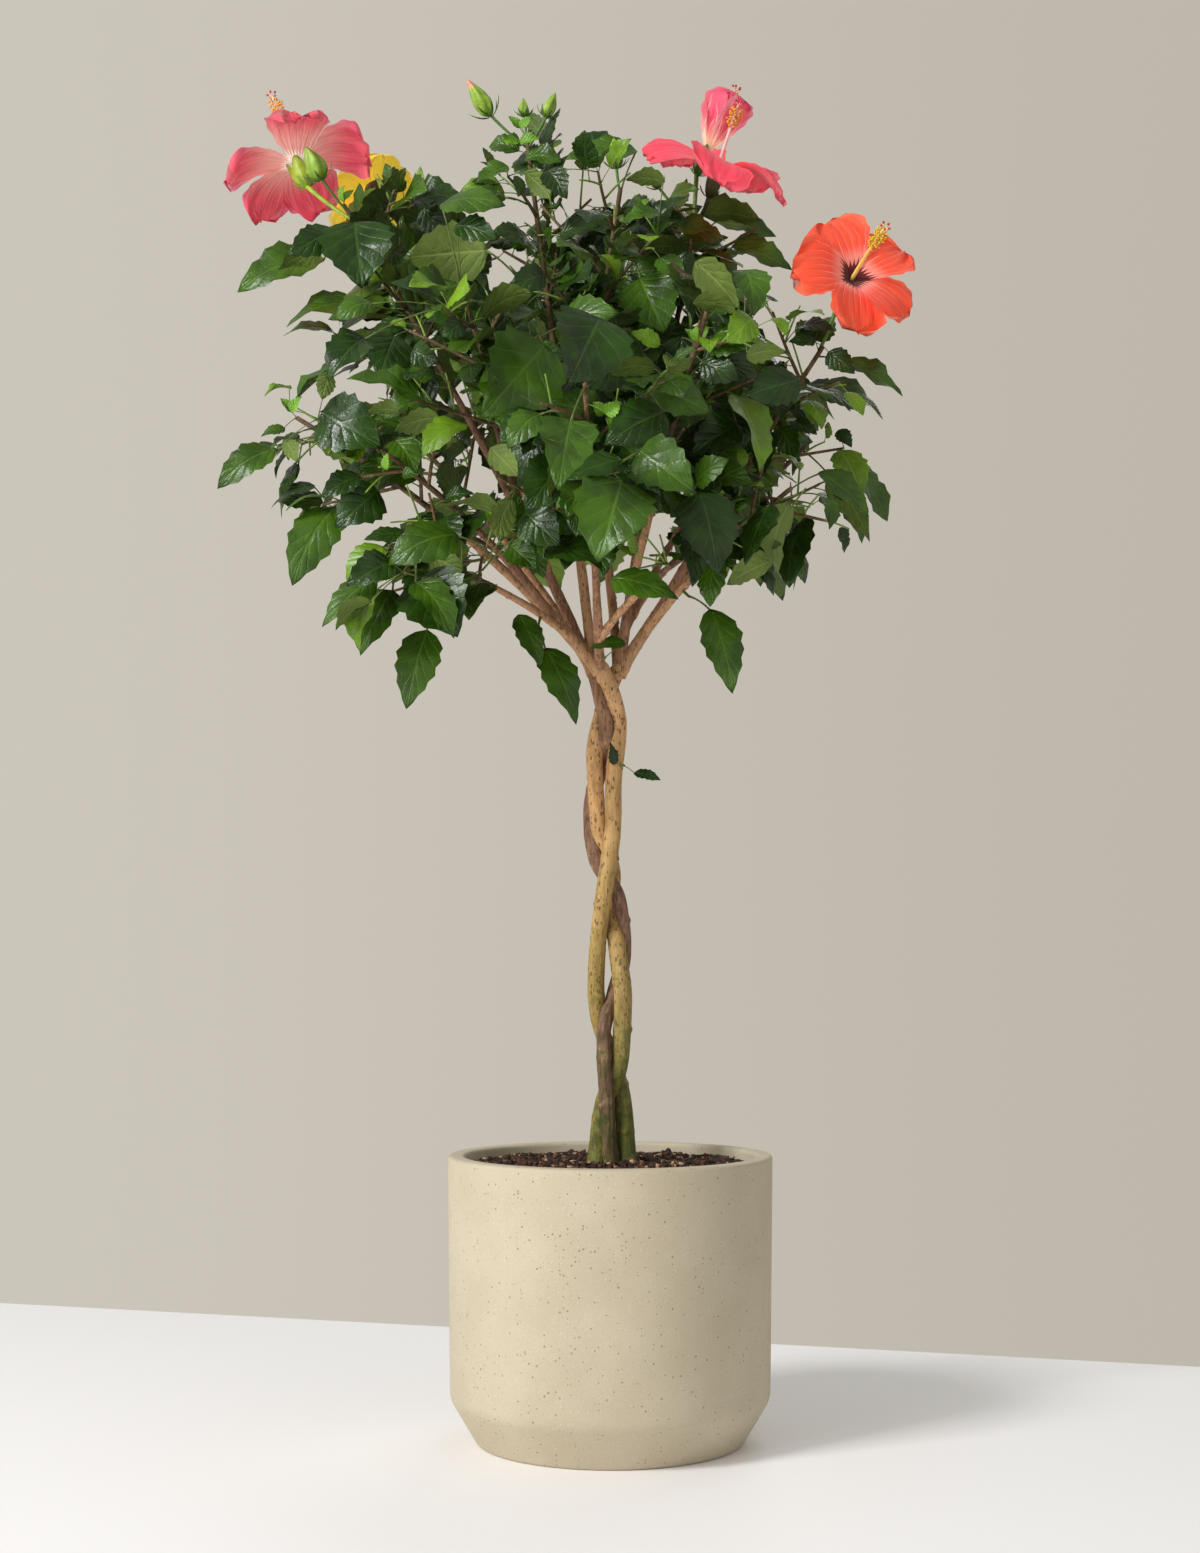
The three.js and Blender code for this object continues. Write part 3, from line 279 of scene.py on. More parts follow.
# The gaps of plain wall in the crown: both ends of each, and half its width.
GAPS = (
    (745, 215, 800, 300, 22), (770, 322, 784, 342, 13), (480, 562, 530, 592, 10), (510, 625, 566, 700, 22),
    (322, 548, 402, 512, 19), (584, 192, 655, 180, 17), (285, 312, 340, 285, 16), (264, 224, 272, 252, 19),
    (318, 246, 336, 262, 7), (384, 605, 398, 650, 15), (336, 396, 374, 397, 13), (852, 382, 892, 408, 10),
    (488, 216, 532, 214, 10), (822, 450, 806, 494, 9), (480, 460, 478, 498, 11), (308, 460, 328, 482, 12),
    (662, 530, 643, 562, 9), (838, 355, 892, 346, 10), (848, 424, 872, 438, 10), (306, 340, 326, 360, 10),
    (512, 260, 496, 286, 9), (772, 500, 800, 492, 8), (680, 576, 698, 606, 13), (822, 512, 815, 546, 9),
    (432, 468, 432, 498, 8), (800, 352, 798, 372, 8), (722, 600, 740, 592, 10), (272, 431, 300, 424, 7),
    (822, 360, 822, 374, 8), (509, 164, 509, 188, 6), (244, 500, 250, 640, 24), (306, 640, 330, 690, 20),
    (826, 590, 900, 560, 20), (892, 460, 905, 520, 18), (700, 640, 690, 760, 16), (440, 120, 455, 165, 18),
    (566, 90, 640, 110, 18),
)
# The stretches of boughs that no leaf hides from the front, in shares of their length.
SHOWN = {
    "upper_left": (0.44, 0.8),
    "top_centre": (0.68, 0.92),
    "left_low": (0.08, 0.46),
    "right_flower": (0.84, 1.0),
}
# The sprays that are joined to one mass.
MASSES = {
    "left": ("left_low", "left_mid", "left_drooping"),
    "front": ("front_centre", "front_right_low"),
    "upper_left": ("upper_left", "front_left_up", "top_left_back"),
    "back_left": ("back_left", "back_left_low"),
    "top": ("top_centre", "top_middle"),
    "right": ("right_mid", "right_flower", "right_low"),
    "upper_right": ("upper_right", "front_right"),
    "back": ("back_centre", "back_top", "back_right", "back_right_low"),
}


@dataclass(frozen=True)
class PotSizes:
    """The planter's outside and wall, and how far the soil lies below its rim."""

    height: float = 258
    rim: float = 150
    waist: float = 146.5
    waist_height: float = 40
    foot: float = 122
    wall: float = 15.5
    floor: float = 16
    edge: float = 4.0
    inner_rise: float = 6
    soil_below: float = 17

    def inside(self, height: float) -> float:
        """The wall's inner radius at a height above the waist."""
        slope = (self.rim - self.waist) / (self.height - self.waist_height)
        return self.rim - (self.height - height) * slope - self.wall


@dataclass(frozen=True)
class GrowthRule:
    """How the sprays branch and set their leaves, as in the solids' source."""

    seed: int = 18
    trunk_top: float = 712
    buried: float = 4
    foot_buried: float = 6
    trunk_steps: int = 20
    flare_height: float = 40
    flare: float = 2.2
    bend_at: float = 0.36
    woody_tip: float = 3
    shoot_tip: float = 2
    first_twig: float = 0.06
    last_twig: float = 0.84
    twig_spread: float = 0.86
    twig_forward: float = 0.5
    twig_lift: float = 0.2
    twig_least: float = 0.8
    twig_varies: float = 0.4
    twig_at_foot: float = 1.15
    twig_falls: float = 0.4
    twig_room: float = 1.8
    above_underside: float = 30
    internode: float = 14.5
    stem_bare: float = 6
    twig_bare: float = 15
    apart: float = 3
    limb_steps: int = 12
    limb_room: float = 0.7
    bead_spacing: float = 6
    petiole_bead_spacing: float = 5
    underside: float = 762
    underside_slope: float = 0.1
    underside_back: float = 0.12
    centre: Triple = (-40, 0, 900)
    light_side: Triple = (-0.3, -1, 0)


@dataclass(frozen=True)
class LeafRule:
    """A leaf's proportions and how it hangs, as in the solids' source."""

    petiole_share: float = 0.24
    petiole_least: float = 8
    petiole_radius: float = 1
    width_share: float = 0.68
    size_least: float = 0.74
    size_spread: float = 0.44
    young_share: float = 0.55
    young_above: float = 0.94
    apart: float = 5.5
    margin: float = 1.5
    wood_apart: float = 2
    wood_reach: float = 24
    twig_near: float = 5
    twig_along: float = 0.9
    toward_light: float = 1.1
    least_droop: float = 0.12
    level_above: float = 1190
    droop_depth: float = 260
    stalk_forward: float = 0.5
    stalk_up: float = 0.18
    blade_along: float = 0.62
    blade_out: float = 0.34
    droop_least: float = 0.3
    droop_spread: float = 0.8
    face_out: float = 0.6
    face_up: float = 0.62
    face_sway: float = 0.5
    stalk_least: float = 0.6
    stalk_spread: float = 0.8
    outline_width: float = 0.5
    outline_face: Triple = (0.1, -0.8, 0.6)
    sprout_width: float = 0.46
    sprout_length: float = 14
    sprout_radius: float = 1.5


@dataclass(frozen=True)
class Sight:
    """The photograph's view: the eye in millimetres, the tilt up in degrees and the frame in pixels."""

    eye: Triple = (-9.2, -2000.0, 436.0)
    pitch: float = 4.94
    focal: float = 2136.0
    wide: float = 1200.0
    high: float = 1553.0

    def pixels(self, p: Array) -> Array:
        """Places in millimetres as pixels: each offset over its distance, times the focal length.

        Args:
            p: places in millimetres, the last axis being x, y and z.

        Returns:
            The pixels, across and down.
        """
        a = math.radians(self.pitch)
        d = p - np.array(self.eye)
        far = d[..., 1] * math.cos(a) + d[..., 2] * math.sin(a)
        rise = d[..., 2] * math.cos(a) - d[..., 1] * math.sin(a)
        return np.stack([self.wide / 2 + self.focal * d[..., 0] / far,
                         self.high / 2 - self.focal * rise / far], -1)

    def on_plane(self, pixel: tuple[float, float], point: Array, normal: Array) -> Array:
        """Where a pixel's line of sight meets a plane: the eye plus the line times its share of the way.

        Args:
            pixel: the pixel, across and down.
            point: a point of the plane.
            normal: the plane's normal.

        Returns:
            The places in millimetres.
        """
        a = math.radians(self.pitch)
        x, rise = (pixel[0] - self.wide / 2) / self.focal, (self.high / 2 - pixel[1]) / self.focal
        line = np.array([x, math.cos(a) - rise * math.sin(a), math.sin(a) + rise * math.cos(a)])
        eye = np.array(self.eye)
        return eye + line * ((point - eye) @ normal / (line @ normal))[..., None]


POT = PotSizes()
RULE = GrowthRule()
LEAF = LeafRule()
SIGHT = Sight()
SOIL_TOP = POT.height - POT.soil_below
PETAL_WIDTH_SHARE = 0.68
CALYX_LENGTH = 24
# How far a bough and the stem of its spray run past the place where they meet, as a share of the limb.
LAP = 0.004


def unit(v: Array) -> Array:
    """Each vector of an array divided by its length."""
    return v / np.maximum(np.linalg.norm(v, axis=-1, keepdims=True), 1e-12)


def across(tangent: Array) -> tuple[Array, Array]:
    """Two directions square to a tangent and to each other.

    Args:
        tangent: one direction, or an array of them.

    Returns:
        A level direction, and the one square to it and to the tangent.
    """
    level = np.cross(tangent, UP)
    upright = (level**2).sum(-1, keepdims=True) < 1e-6
    level = unit(np.where(upright, np.array([1.0, 0.0, 0.0]), level))
    return level, unit(np.cross(level, tangent))


def outward(way: Array, angle: float) -> Array:
    """The direction square to a way, at an angle round it."""
    e1, e2 = across(way)
    return e1 * math.cos(angle) + e2 * math.sin(angle)


def spokes(axis: Array, angles: Array) -> Array:
    """Directions square to an axis, one at each angle round it."""
    e1, e2 = across(axis)
    return e1 * np.cos(angles)[:, None] + e2 * np.sin(angles)[:, None]


def smooth(low: float, high: float, x: Array) -> Array:
    """A soft step: 0 below low, 1 above high, and 3t squared less 2t cubed between them."""
    t = np.clip((x - low) / (high - low), 0, 1)
    return t * t * (3 - 2 * t)


def bearing(toward: float, rise: float) -> Array:
    """A horizontal bearing and a rise above the horizon, in degrees, as a direction."""
    a, b = math.radians(toward), math.radians(rise)
    return np.array([math.cos(b) * math.cos(a), math.cos(b) * math.sin(a), math.sin(b)])


def length_of(points: Array) -> float:
    """The length of a bent line."""
    return float(np.linalg.norm(np.diff(points, axis=0), axis=1).sum())


def on_line(points: Array, share: float) -> tuple[Array, Array]:
    """A point at a share of a line's stretches, and the line's direction there.

    Args:
        points: the line's corners.
        share: how far along its stretches, from 0 to 1.

    Returns:
        The point and the unit direction.
    """
    last = len(points) - 1
    whole = min(int(share * last), last - 1)
    step = points[whole + 1] - points[whole]
    return points[whole] + step * (share * last - whole), unit(step)


def inside(points: Array, box: Array, spare: float = 0.0) -> bool:
    """Whether all points lie in a box that is widened by a spare distance on every side."""
    return bool((points > box[0] - spare).all() and (points < box[1] + spare).all())


class Draws:
    """Numbers from 0 to 1 that are the same on every run, by the rule of the solids' source."""

    MASK = 0xFFFFFFFF

    def __init__(self, seed: int) -> None:
        """Starts the row of numbers at a seed."""
        self.state = seed & self.MASK

    def next(self) -> float:
        """The next number of the row, mixed by shifts and products of 32 bits.

        Returns:
            A number from 0 up to 1.
        """
        self.state = (self.state + 0x6D2B79F5) & self.MASK
        t = self.state
        t = ((t ^ (t >> 15)) * (t | 1)) & self.MASK
        t ^= (t + (t ^ (t >> 7)) * (t | 61)) & self.MASK
        return (t ^ (t >> 14)) / 4294967296


class Rows:
    """Arrays that hold one row for each thing, and are joined and chosen together."""

    @classmethod
    def joined(cls, sets: Sequence["Rows"]) -> "Rows":
        """Several sets as one, in their order."""
        return cls(*(np.concatenate([getattr(one, f.name) for one in sets]) for f in fields(cls)))

    def chosen(self, which: Array | slice) -> "Rows":
        """The rows that an index, a slice or a mask picks."""
        return type(self)(*(getattr(self, f.name)[which] for f in fields(self)))


@dataclass
class Blades(Rows):
    """Flat ovals with one row each: base, axis along, side, normal, length and half their width."""

    base: Array
    axis: Array
    side: Array
    normal: Array
    length: Array
    half: Array
    ROWS = 6

    @classmethod
    def made(cls, base: Array, axis: Array, normal: Array, length: float, half: float) -> "Blades":
        """One oval from its base, axis, wished normal, length and half width."""
        side = unit(np.cross(axis, normal))
        flat = unit(np.cross(side, axis))
        return cls(base[None], axis[None], side[None], flat[None], np.array([length]), np.array([half]))

    @classmethod
    def between(cls, base: Triple, tip: Triple, width: float) -> "Blades":
        """One oval from base to tip that faces out of the crown, as wide as a share of its length.

        Args:
            base: the oval's foot.
            tip: its tip.
            width: its full width as a share of its length.

        Returns:
            The one oval.
        """
        foot = np.array(base, float)
        axis = np.array(tip, float) - foot
        length = float(np.linalg.norm(axis))
        return cls.made(foot, unit(axis), np.array(LEAF.outline_face), length, length * width / 2)

    def half_width(self, u: Array) -> Array:
        """Half the width at u along: twice the half times the root of t(1 - t), an ellipse."""
        t = np.clip(u / self.length[:, None], 0, 1)
        return 2 * self.half[:, None] * np.sqrt(t * (1 - t))

    def samples(self) -> Array:
        """Points along each oval, three abreast: left edge, middle and right edge.

        Returns:
            One row of points for each oval.
        """
        u = self.length[:, None] * (np.arange(self.ROWS + 1) / self.ROWS)
        v = np.array([-1.0, 0.0, 1.0])
        wide = self.half_width(u)[:, :, None] * v
        points = (self.base[:, None, None] + self.axis[:, None, None] * u[:, :, None, None]
                  + self.side[:, None, None] * wide[..., None])
        return points.reshape(len(self.base), -1, 3)

    def centre(self) -> Array:
        """The middle of each oval."""
        return self.base + self.axis * self.length[:, None] / 2

    def near(self, q: Array, gap: Array | float, margin: Array | float = LEAF.margin) -> Array:
        """Whether points lie within a gap of the ovals' planes and within a margin of their outlines.

        Args:
            q: points, shaped (ovals or 1, points, 3).
            gap: greatest distance from the plane.
            margin: how far outside the outline still counts.

        Returns:
            One truth value for each oval and point.
        """
        d = q - self.base[:, None]
        u = (d * self.axis[:, None]).sum(-1)
        flat = np.abs((d * self.normal[:, None]).sum(-1)) <= gap
        within = (u >= -margin) & (u <= self.length[:, None] + margin)
        beside = np.abs((d * self.side[:, None]).sum(-1)) < self.half_width(u) + margin
        return flat & within & beside

    def crossed(self, p: Array, q: Array) -> Array:
        """Whether the straight lines from p to q pass through the ovals.

        Args:
            p: starts of the lines.
            q: their ends.

        Returns:
            One truth for each oval and line.
        """
        d1 = ((p - self.base[:, None]) * self.normal[:, None]).sum(-1)
        d2 = ((q - self.base[:, None]) * self.normal[:, None]).sum(-1)
        drop = d1 - d2
        share = d1 / np.where(drop == 0, 1, drop)
        return (d1 * d2 <= 0) & self.near(p + (q - p) * share[..., None], 1.0)


SAMPLES = np.arange((Blades.ROWS + 1) * 3)
AHEAD = SAMPLES[SAMPLES + 3 < len(SAMPLES)]
BESIDE = SAMPLES[SAMPLES % 3 < 2]
LINE_FROM = np.concatenate([AHEAD, BESIDE])
LINE_TO = np.concatenate([AHEAD + 3, BESIDE + 1])


def blades_meet(one: Blades, other: Blades, gap: float) -> bool:
    """Whether the samples of other ovals come near one set, or their lines pass through it."""
    q = other.samples()
    return bool(one.near(q, gap).any() or one.crossed(q[:, LINE_FROM], q[:, LINE_TO]).any())


@dataclass
class Beads(Rows):
    """Round things such as wood: middles, radii and the index of the limb that owns each."""

    at: Array
    radius: Array
    owner: Array

    @classmethod
    def along(cls, points: Array, radius: float, owner: int, spacing: float = RULE.bead_spacing) -> "Beads":
        """Beads along a bent line, evenly spaced on each of its stretches.

        Args:
            points: the line's corners.
            radius: the radius of each bead.
            owner: the number of the limb that the beads belong to.
            spacing: the largest distance from bead to bead.

        Returns:
            The beads.
        """
        rows = []
        for a, b in zip(points[:-1], points[1:]):
            steps = max(1, math.ceil(float(np.linalg.norm(b - a)) / spacing))
            rows.append(a + (b - a) * (np.arange(steps) / steps)[:, None])
        at = np.concatenate([*rows, points[-1:]])
        return cls(at, np.full(len(at), float(radius)), np.full(len(at), owner))

    def after_first(self) -> "Beads":
        """These beads without the one at the line's start, which sits in the wood that carries it."""
        return self.chosen(slice(1, None))


class Room:
    """What has been placed so far, and whether there is room for more."""

    def __init__(self) -> None:
        """Starts with nothing placed."""
        self.blades = Blades(*(np.zeros((0, 3)) for _ in range(4)), np.zeros(0), np.zeros(0))
        self.beads = Beads(np.zeros((0, 3)), np.zeros(0), np.zeros(0, int))

    def take(self, more: Rows) -> None:
        """Takes the room of more ovals or beads."""
        kind = "blades" if isinstance(more, Blades) else "beads"
        setattr(self, kind, type(more).joined([getattr(self, kind), more]))

    def blade_is_clear(self, blade: Blades, apart: float) -> bool:
        """Whether one oval meets no other and no wood.

        Args:
            blade: the one oval.
            apart: the room it needs to other ovals.

        Returns:
            Whether it can hang there.
        """
        reach = (blade.length[0] + self.blades.length) / 2 + apart
        close = ((self.blades.centre() - blade.centre()) ** 2).sum(-1) <= reach**2
        if close.any():
            others = self.blades.chosen(close)
            if blades_meet(blade, others, apart) or blades_meet(others, blade, apart):
                return False
        span = blade.length[0] / 2 + LEAF.wood_reach
        wood = self.beads.chosen(((self.beads.at - blade.centre()) ** 2).sum(-1) < span**2)
        return not blade.near(wood.at[None], wood.radius + LEAF.wood_apart, wood.radius + LEAF.margin).any()

    def is_off_wood(self, line: Beads, owner: int, apart: float) -> bool:
        """Whether each bead of a line stays apart from all wood but that of its own limb."""
        others = self.beads.chosen(self.beads.owner != owner)
        gap = np.linalg.norm(line.at[:, None] - others.at, axis=-1)
        return bool((gap > line.radius[:, None] + others.radius + apart).all())

    def stalk_is_clear(self, line: Beads, owner: int) -> bool:
        """Whether a stalk passes no oval and comes near no wood but that of its own limb.

        Args:
            line: the stalk as beads.
            owner: the number of its own limb.

        Returns:
            Whether it can run there.
        """
        if self.blades.crossed(line.at[None, :1], line.at[None, -1:]).any():
            return False
        if self.blades.near(line.at[None], line.radius[0] + LEAF.wood_apart).any():
            return False
        return self.is_off_wood(line, owner, LEAF.wood_apart)

    def wood_is_clear(self, line: Beads, owner: int, apart: float = RULE.apart) -> bool:
        """Whether a line of beads comes near no other's wood and no oval."""
        if not self.is_off_wood(line, owner, apart):
            return False
        return not self.blades.near(line.at[None], line.radius[0] + apart).any()


class Tint(Enum):
    """The greens that leaves take, dealt out by spray and by age."""

    DEEP = 0
    GREEN = 1
    FRESH = 2
    TIP = 3


@dataclass
class Leaf:
    """One placed leaf: where its stalk starts, its blade, its tint and how strongly it folds and waves."""

    root: Array
    blade: Blades
    tint: Tint
    fold: float
    wave: float
    phase: float


@dataclass
class Limb:
    """A limb as a quadratic curve from foot over bend to tip, with what grows on it."""

    row: LimbRow
    index: int
    foot: Array
    bend: Array
    tip: Array
    twigs: list[Array] = field(default_factory=list)
    sprigs: list[Array] = field(default_factory=list)
    leaves: list[Leaf] = field(default_factory=list)

    @cached_property
    def box(self) -> Array:
        """The corners of its spray's solid, in millimetres."""
        return np.array(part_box(f"spray_{self.row.name}")) / METRES

    def point(self, t: Array | float) -> Array:
        """The curve's point at t: (1 - t) squared feet, 2t(1 - t) bends and t squared tips."""
        t = np.asarray(t, float)[..., None]
        return (1 - t) ** 2 * self.foot + 2 * (1 - t) * t * self.bend + t * t * self.tip

    def stem(self, count: int = 3) -> Array:
        """A few points of the leafy part, from the end of the bare wood to the tip."""
        return self.point(np.linspace(self.row.woody, 1, count))

    def tangent(self, t: float) -> Array:
        """The curve's direction at t, over a short step."""
        step = 0.0001
        return unit(self.point(min(t + step, 1)) - self.point(max(t - step, 0)))

    def radius(self, share: Array) -> Array:
        """The limb's radius: straight from foot to woody tip, and on to the shoot's tip.

        Args:
            share: how far along the limb, from 0 to 1.

        Returns:
            The radii in millimetres.
        """
        woody = self.row.woody
        wood = self.row.foot + (RULE.woody_tip - self.row.foot) * share / woody
        shoot = RULE.woody_tip + (RULE.shoot_tip - RULE.woody_tip) * (share - woody) / (1 - woody)
        return np.where(share <= woody, wood, shoot)


@dataclass
class Bloom:
    """A placed bloom with its stalk's points and its petals' ovals."""

    row: BloomRow
    axis: Array
    throat: Array
    foot: Array
    stalk: Array
    petals: Blades
    tip: Array


@dataclass
class Bud:
    """A placed bud, from where its stalk starts to its tip."""

    row: BudRow
    start: Array
    base: Array
    tip: Array


def stem_curve(row: StemRow, count: int) -> Array:
    """Evenly spaced points of a centripetal Catmull-Rom curve through a stem's knots.

    Each stretch is the cubic whose end slopes come from the neighbouring knots, weighted by the square
    roots of their distances. The spacing comes from a table of 200 chords.

    Args:
        row: the stem.
        count: number of stretches wanted.

    Returns:
        The points, one more than the stretches.
    """
    knots = np.array([(side, depth, height) for height, side, depth in row.knots], float)
    knots[0, 2] = SOIL_TOP - RULE.buried
    full = np.concatenate([[2 * knots[0] - knots[1]], knots, [2 * knots[-1] - knots[-2]]])
    gaps = np.linalg.norm(np.diff(full, axis=0), axis=1) ** 0.5

    def at(t: Array) -> Array:
        """The curve's points at shares t of its knots."""
        place = t * (len(knots) - 1)
        low = np.minimum(place.astype(int), len(knots) - 2)
        w = (place - low)[:, None]
        p0, p1, p2, p3 = (full[low + k] for k in range(4))
        d0, d1, d2 = (gaps[low + k][:, None] for k in range(3))
        m1 = ((p1 - p0) / d0 - (p2 - p0) / (d0 + d1) + (p2 - p1) / d1) * d1
        m2 = ((p2 - p1) / d1 - (p3 - p1) / (d1 + d2) + (p3 - p2) / d2) * d1
        return p1 + m1 * w + (-3 * p1 + 3 * p2 - 2 * m1 - m2) * w**2 + (2 * p1 - 2 * p2 + m1 + m2) * w**3

    table = np.linspace(0, 1, 201)
    lengths = np.concatenate([[0], np.cumsum(np.linalg.norm(np.diff(at(table), axis=0), axis=1))])
    wanted = np.linspace(0, lengths[-1], count + 1)
    return at(np.interp(wanted, lengths, table))


def stem_radius(row: StemRow, share: Array) -> Array:
    """A stem's radius: straight between its radii, and flared to the ground by a square."""
    plain = np.interp(share, np.linspace(0, 1, len(row.radii)), row.radii)
    rise = share * (RULE.trunk_top - SOIL_TOP) / RULE.flare_height
    return plain + RULE.flare * np.maximum(0, 1 - rise) ** 2


def lowest_at(p: Array) -> float:
    """The crown's underside below a point: it slopes up to the right and to the back."""
    return RULE.underside + RULE.underside_slope * p[0] + RULE.underside_back * p[1]


def bent(starts: Array, ends: Array, rings: int, sag: Array) -> Array:
    """Paths from starts to ends: the straight line plus sag times 4t(1 - t)."""
    t = np.linspace(0, 1, rings)[None, :, None]
    return starts[:, None] + (ends - starts)[:, None] * t + sag[:, None] * 4 * t * (1 - t)


def straight(starts: Array, ends: Array, count: int) -> Array:
    """Paths from starts to ends without a bend."""
    return bent(starts, ends, count, np.zeros((len(starts), 3)))


class Lookout:
    """Keeps the photograph's gaps open, and its boughs and blooms in view."""

    BEHIND = 6.0
    STEPS = 24

    def __init__(self, limbs: dict[str, Limb]) -> None:
        """Works out the pixels of the gaps and of the limbs' shown stretches."""
        gaps = np.array(GAPS, float)
        self.start, self.half = gaps[:, :2], gaps[:, 4]
        self.span = gaps[:, 2:4] - self.start
        self.shown, self.shown_half = np.zeros((0, 3)), np.zeros(0)
        for name, (low, high) in SHOWN.items():
            self.watch(limbs[name].point(np.linspace(low, high, self.STEPS)), limbs[name].row.foot)

    def watch(self, points: Array, half: float) -> None:
        """Keeps points in view, each with a few pixels round it."""
        self.shown = np.concatenate([self.shown, points])
        self.shown_half = np.concatenate([self.shown_half, np.full(len(points), half)])
        self.shown_pixels = SIGHT.pixels(self.shown)

    def is_free(self, blade: Blades, give: float) -> bool:
        """Whether a blade leaves every gap open and hides no shown bough.

        Args:
            blade: one oval.
            give: how much of a gap's half width has to stay open, as a share.

        Returns:
            Whether the blade may be there.
        """
        u = blade.length[0] * np.linspace(0.03, 0.97, 9)
        v = np.linspace(-1, 1, 5)[:, None] * blade.half_width(u[None])[0]
        places = blade.base[0] + blade.axis[0] * u[None, :, None] + blade.side[0] * v[..., None]
        places = places.reshape(-1, 3)
        seen = SIGHT.pixels(places)
        off = seen[:, None] - self.start
        t = np.clip((off * self.span).sum(-1) / np.maximum((self.span**2).sum(-1), 1), 0, 1)
        if (np.linalg.norm(off - t[..., None] * self.span, axis=-1) < self.half * give).any():
            return False
        near = np.linalg.norm(seen[:, None] - self.shown_pixels, axis=-1) < self.shown_half
        front = places[:, None, 1] < self.shown[None, :, 1] - self.BEHIND
        return not (near & front).any()


@dataclass
class Place:
    """Where a leaf may hang: its root on a shoot, the shoot's direction, and four drawn numbers."""

    root: Array
    tangent: Array
    share: float
    angle: float
    size: float
    droop: float
    sway: float


class Habit:
    """Grows the plant by the rule of the solids' source, then carries it to finer twigs."""

    FINE_APART = 2.5
    FINE_BLADE_APART = 2.2
    SEEN_APART = 1.0
    TIP_APART = 0.8
    RULE_GIVE = 0.8
    BLOOM_CLEAR = 7.0
    BLOOM_AT = 0.97
    BUD_AT = 0.985
    STALK_ROOM = 2
    COLUMN_ROOM = 5
    SEEN_STEPS = (5, 14, 24, 36, -6, 50)
    SEEN_STALKS = (5, 75.0)
    SEEN_NEAR = 0.25
    SEEN_LEAN = {True: 0.12, False: 0.28}
    SEEN_ROOTS = 60
    SEEN_OUTSIDE = 12.0
    SEEN_SHARE = 0.36
    SEEN_LEAST = 0.85
    TRIES = ((1, 0), (0.86, 0.35), (0.86, -0.35), (0.72, 0), (0.72, 0.8), (0.72, -0.8), (0.58, 0.4),
             (0.58, -0.4))
    FINE_TRIES = ((1, 0), (0.85, 0.6), (0.85, -0.6), (0.7, 1.2), (0.7, -1.2))
    FILL_FROM = 6
    FILL_STEP = 8
    FILL_TO = 0.97
    FILL_TWO = ((1.2, 0.85), (3.9, 0.7))
    SPRIG_PLACES = (0.34, 0.56, 0.78)
    SPRIG_LEAVES = (0.3, 0.55, 0.8, 0.97)
    SPRIG_SCALE = 0.62
    SPRIG_INSIDE = 14

    def __init__(self) -> None:
        """Sets up the stems and limbs and grows everything on them."""
        self.draws = Draws(RULE.seed)
        self.extra = np.random.default_rng(RULE.seed)
        self.room = Room()
        self.limbs: dict[str, Limb] = {}
        self.stem_points = {row.name: stem_curve(row, RULE.trunk_steps) for row in STEMS}
        for k, row in enumerate(STEMS):
            self.add_wood(self.stem_points[row.name], row.radii[0], -1 - k)
        for index, row in enumerate(LIMBS):
            self.limbs[row.name] = self.limb(row, index)
        for limb in self.limbs.values():
            steps = np.linspace(0, 1, RULE.limb_steps + 1)
            self.add_wood(limb.point(steps), limb.row.foot * RULE.limb_room, limb.index)
        for limb in self.limbs.values():
            self.grow_twigs(limb)
        self.lookout = Lookout(self.limbs)
        self.blooms = [self.bloom(row) for row in BLOOMS]
        for bloom in self.blooms:
            if bloom.row.name != "yellow":
                self.lookout.watch(bloom.petals.samples().reshape(-1, 3), self.BLOOM_CLEAR)
        self.buds = [self.bud(row) for row in BUDS]
        for row in OUTLINE_LEAVES:
            self.outline_leaf(row)
        self.set_seen_leaves()
        self.outline_leaf(FRONT_LEAF)
        self.set_leaves()
        self.coarse = sum(len(limb.leaves) for limb in self.limbs.values())
        self.grow_finer()

    def add_wood(self, points: Array, radius: float, owner: int) -> None:
        """Takes room for a bent line of wood."""
        self.room.take(Beads.along(points, radius, owner))

    def limb(self, row: LimbRow, index: int) -> Limb:
        """Places a limb on its stem's top or along its parent limb.

        Args:
            row: the limb's row of the table.
            index: its number.

        Returns:
            The placed limb.
        """
        if row.on in self.limbs:
            foot = self.limbs[row.on].point(row.at)
        else:
            foot = self.stem_points[row.on][-1] - UP * RULE.foot_buried
        tip = np.array(row.tip, float)
        bend = foot + (tip - foot) * RULE.bend_at + UP * row.bow
        return Limb(row, index, foot, bend, tip)

    def grow_twigs(self, limb: Limb) -> None:
        """Side twigs follow the golden turn round the spray's stem, longer towards its foot.

        Args:
            limb: the limb.
        """
        row = limb.row
        phase = self.draws.next() * 2 * math.pi
        for k in range(row.twigs):
            place = RULE.first_twig + (RULE.last_twig - RULE.first_twig) * (k + 0.5) / row.twigs
            share = row.woody + (1 - row.woody) * place
            root, tangent = limb.point(share), limb.tangent(share)
            out = outward(tangent, phase + k * GOLDEN_TURN)
            direction = unit(tangent * RULE.twig_forward + out * RULE.twig_spread + UP * RULE.twig_lift)
            varied = RULE.twig_least + RULE.twig_varies * self.draws.next()
            length = row.reach * varied * (RULE.twig_at_foot - RULE.twig_falls * place)
            points = np.array([root, root + direction * length])
            line = Beads.along(points, RULE.twig_room, limb.index)
            if points[1][2] < lowest_at(points[1]) + RULE.above_underside:
                continue
            if self.room.wood_is_clear(line, limb.index):
                self.room.take(line)
                limb.twigs.append(points)

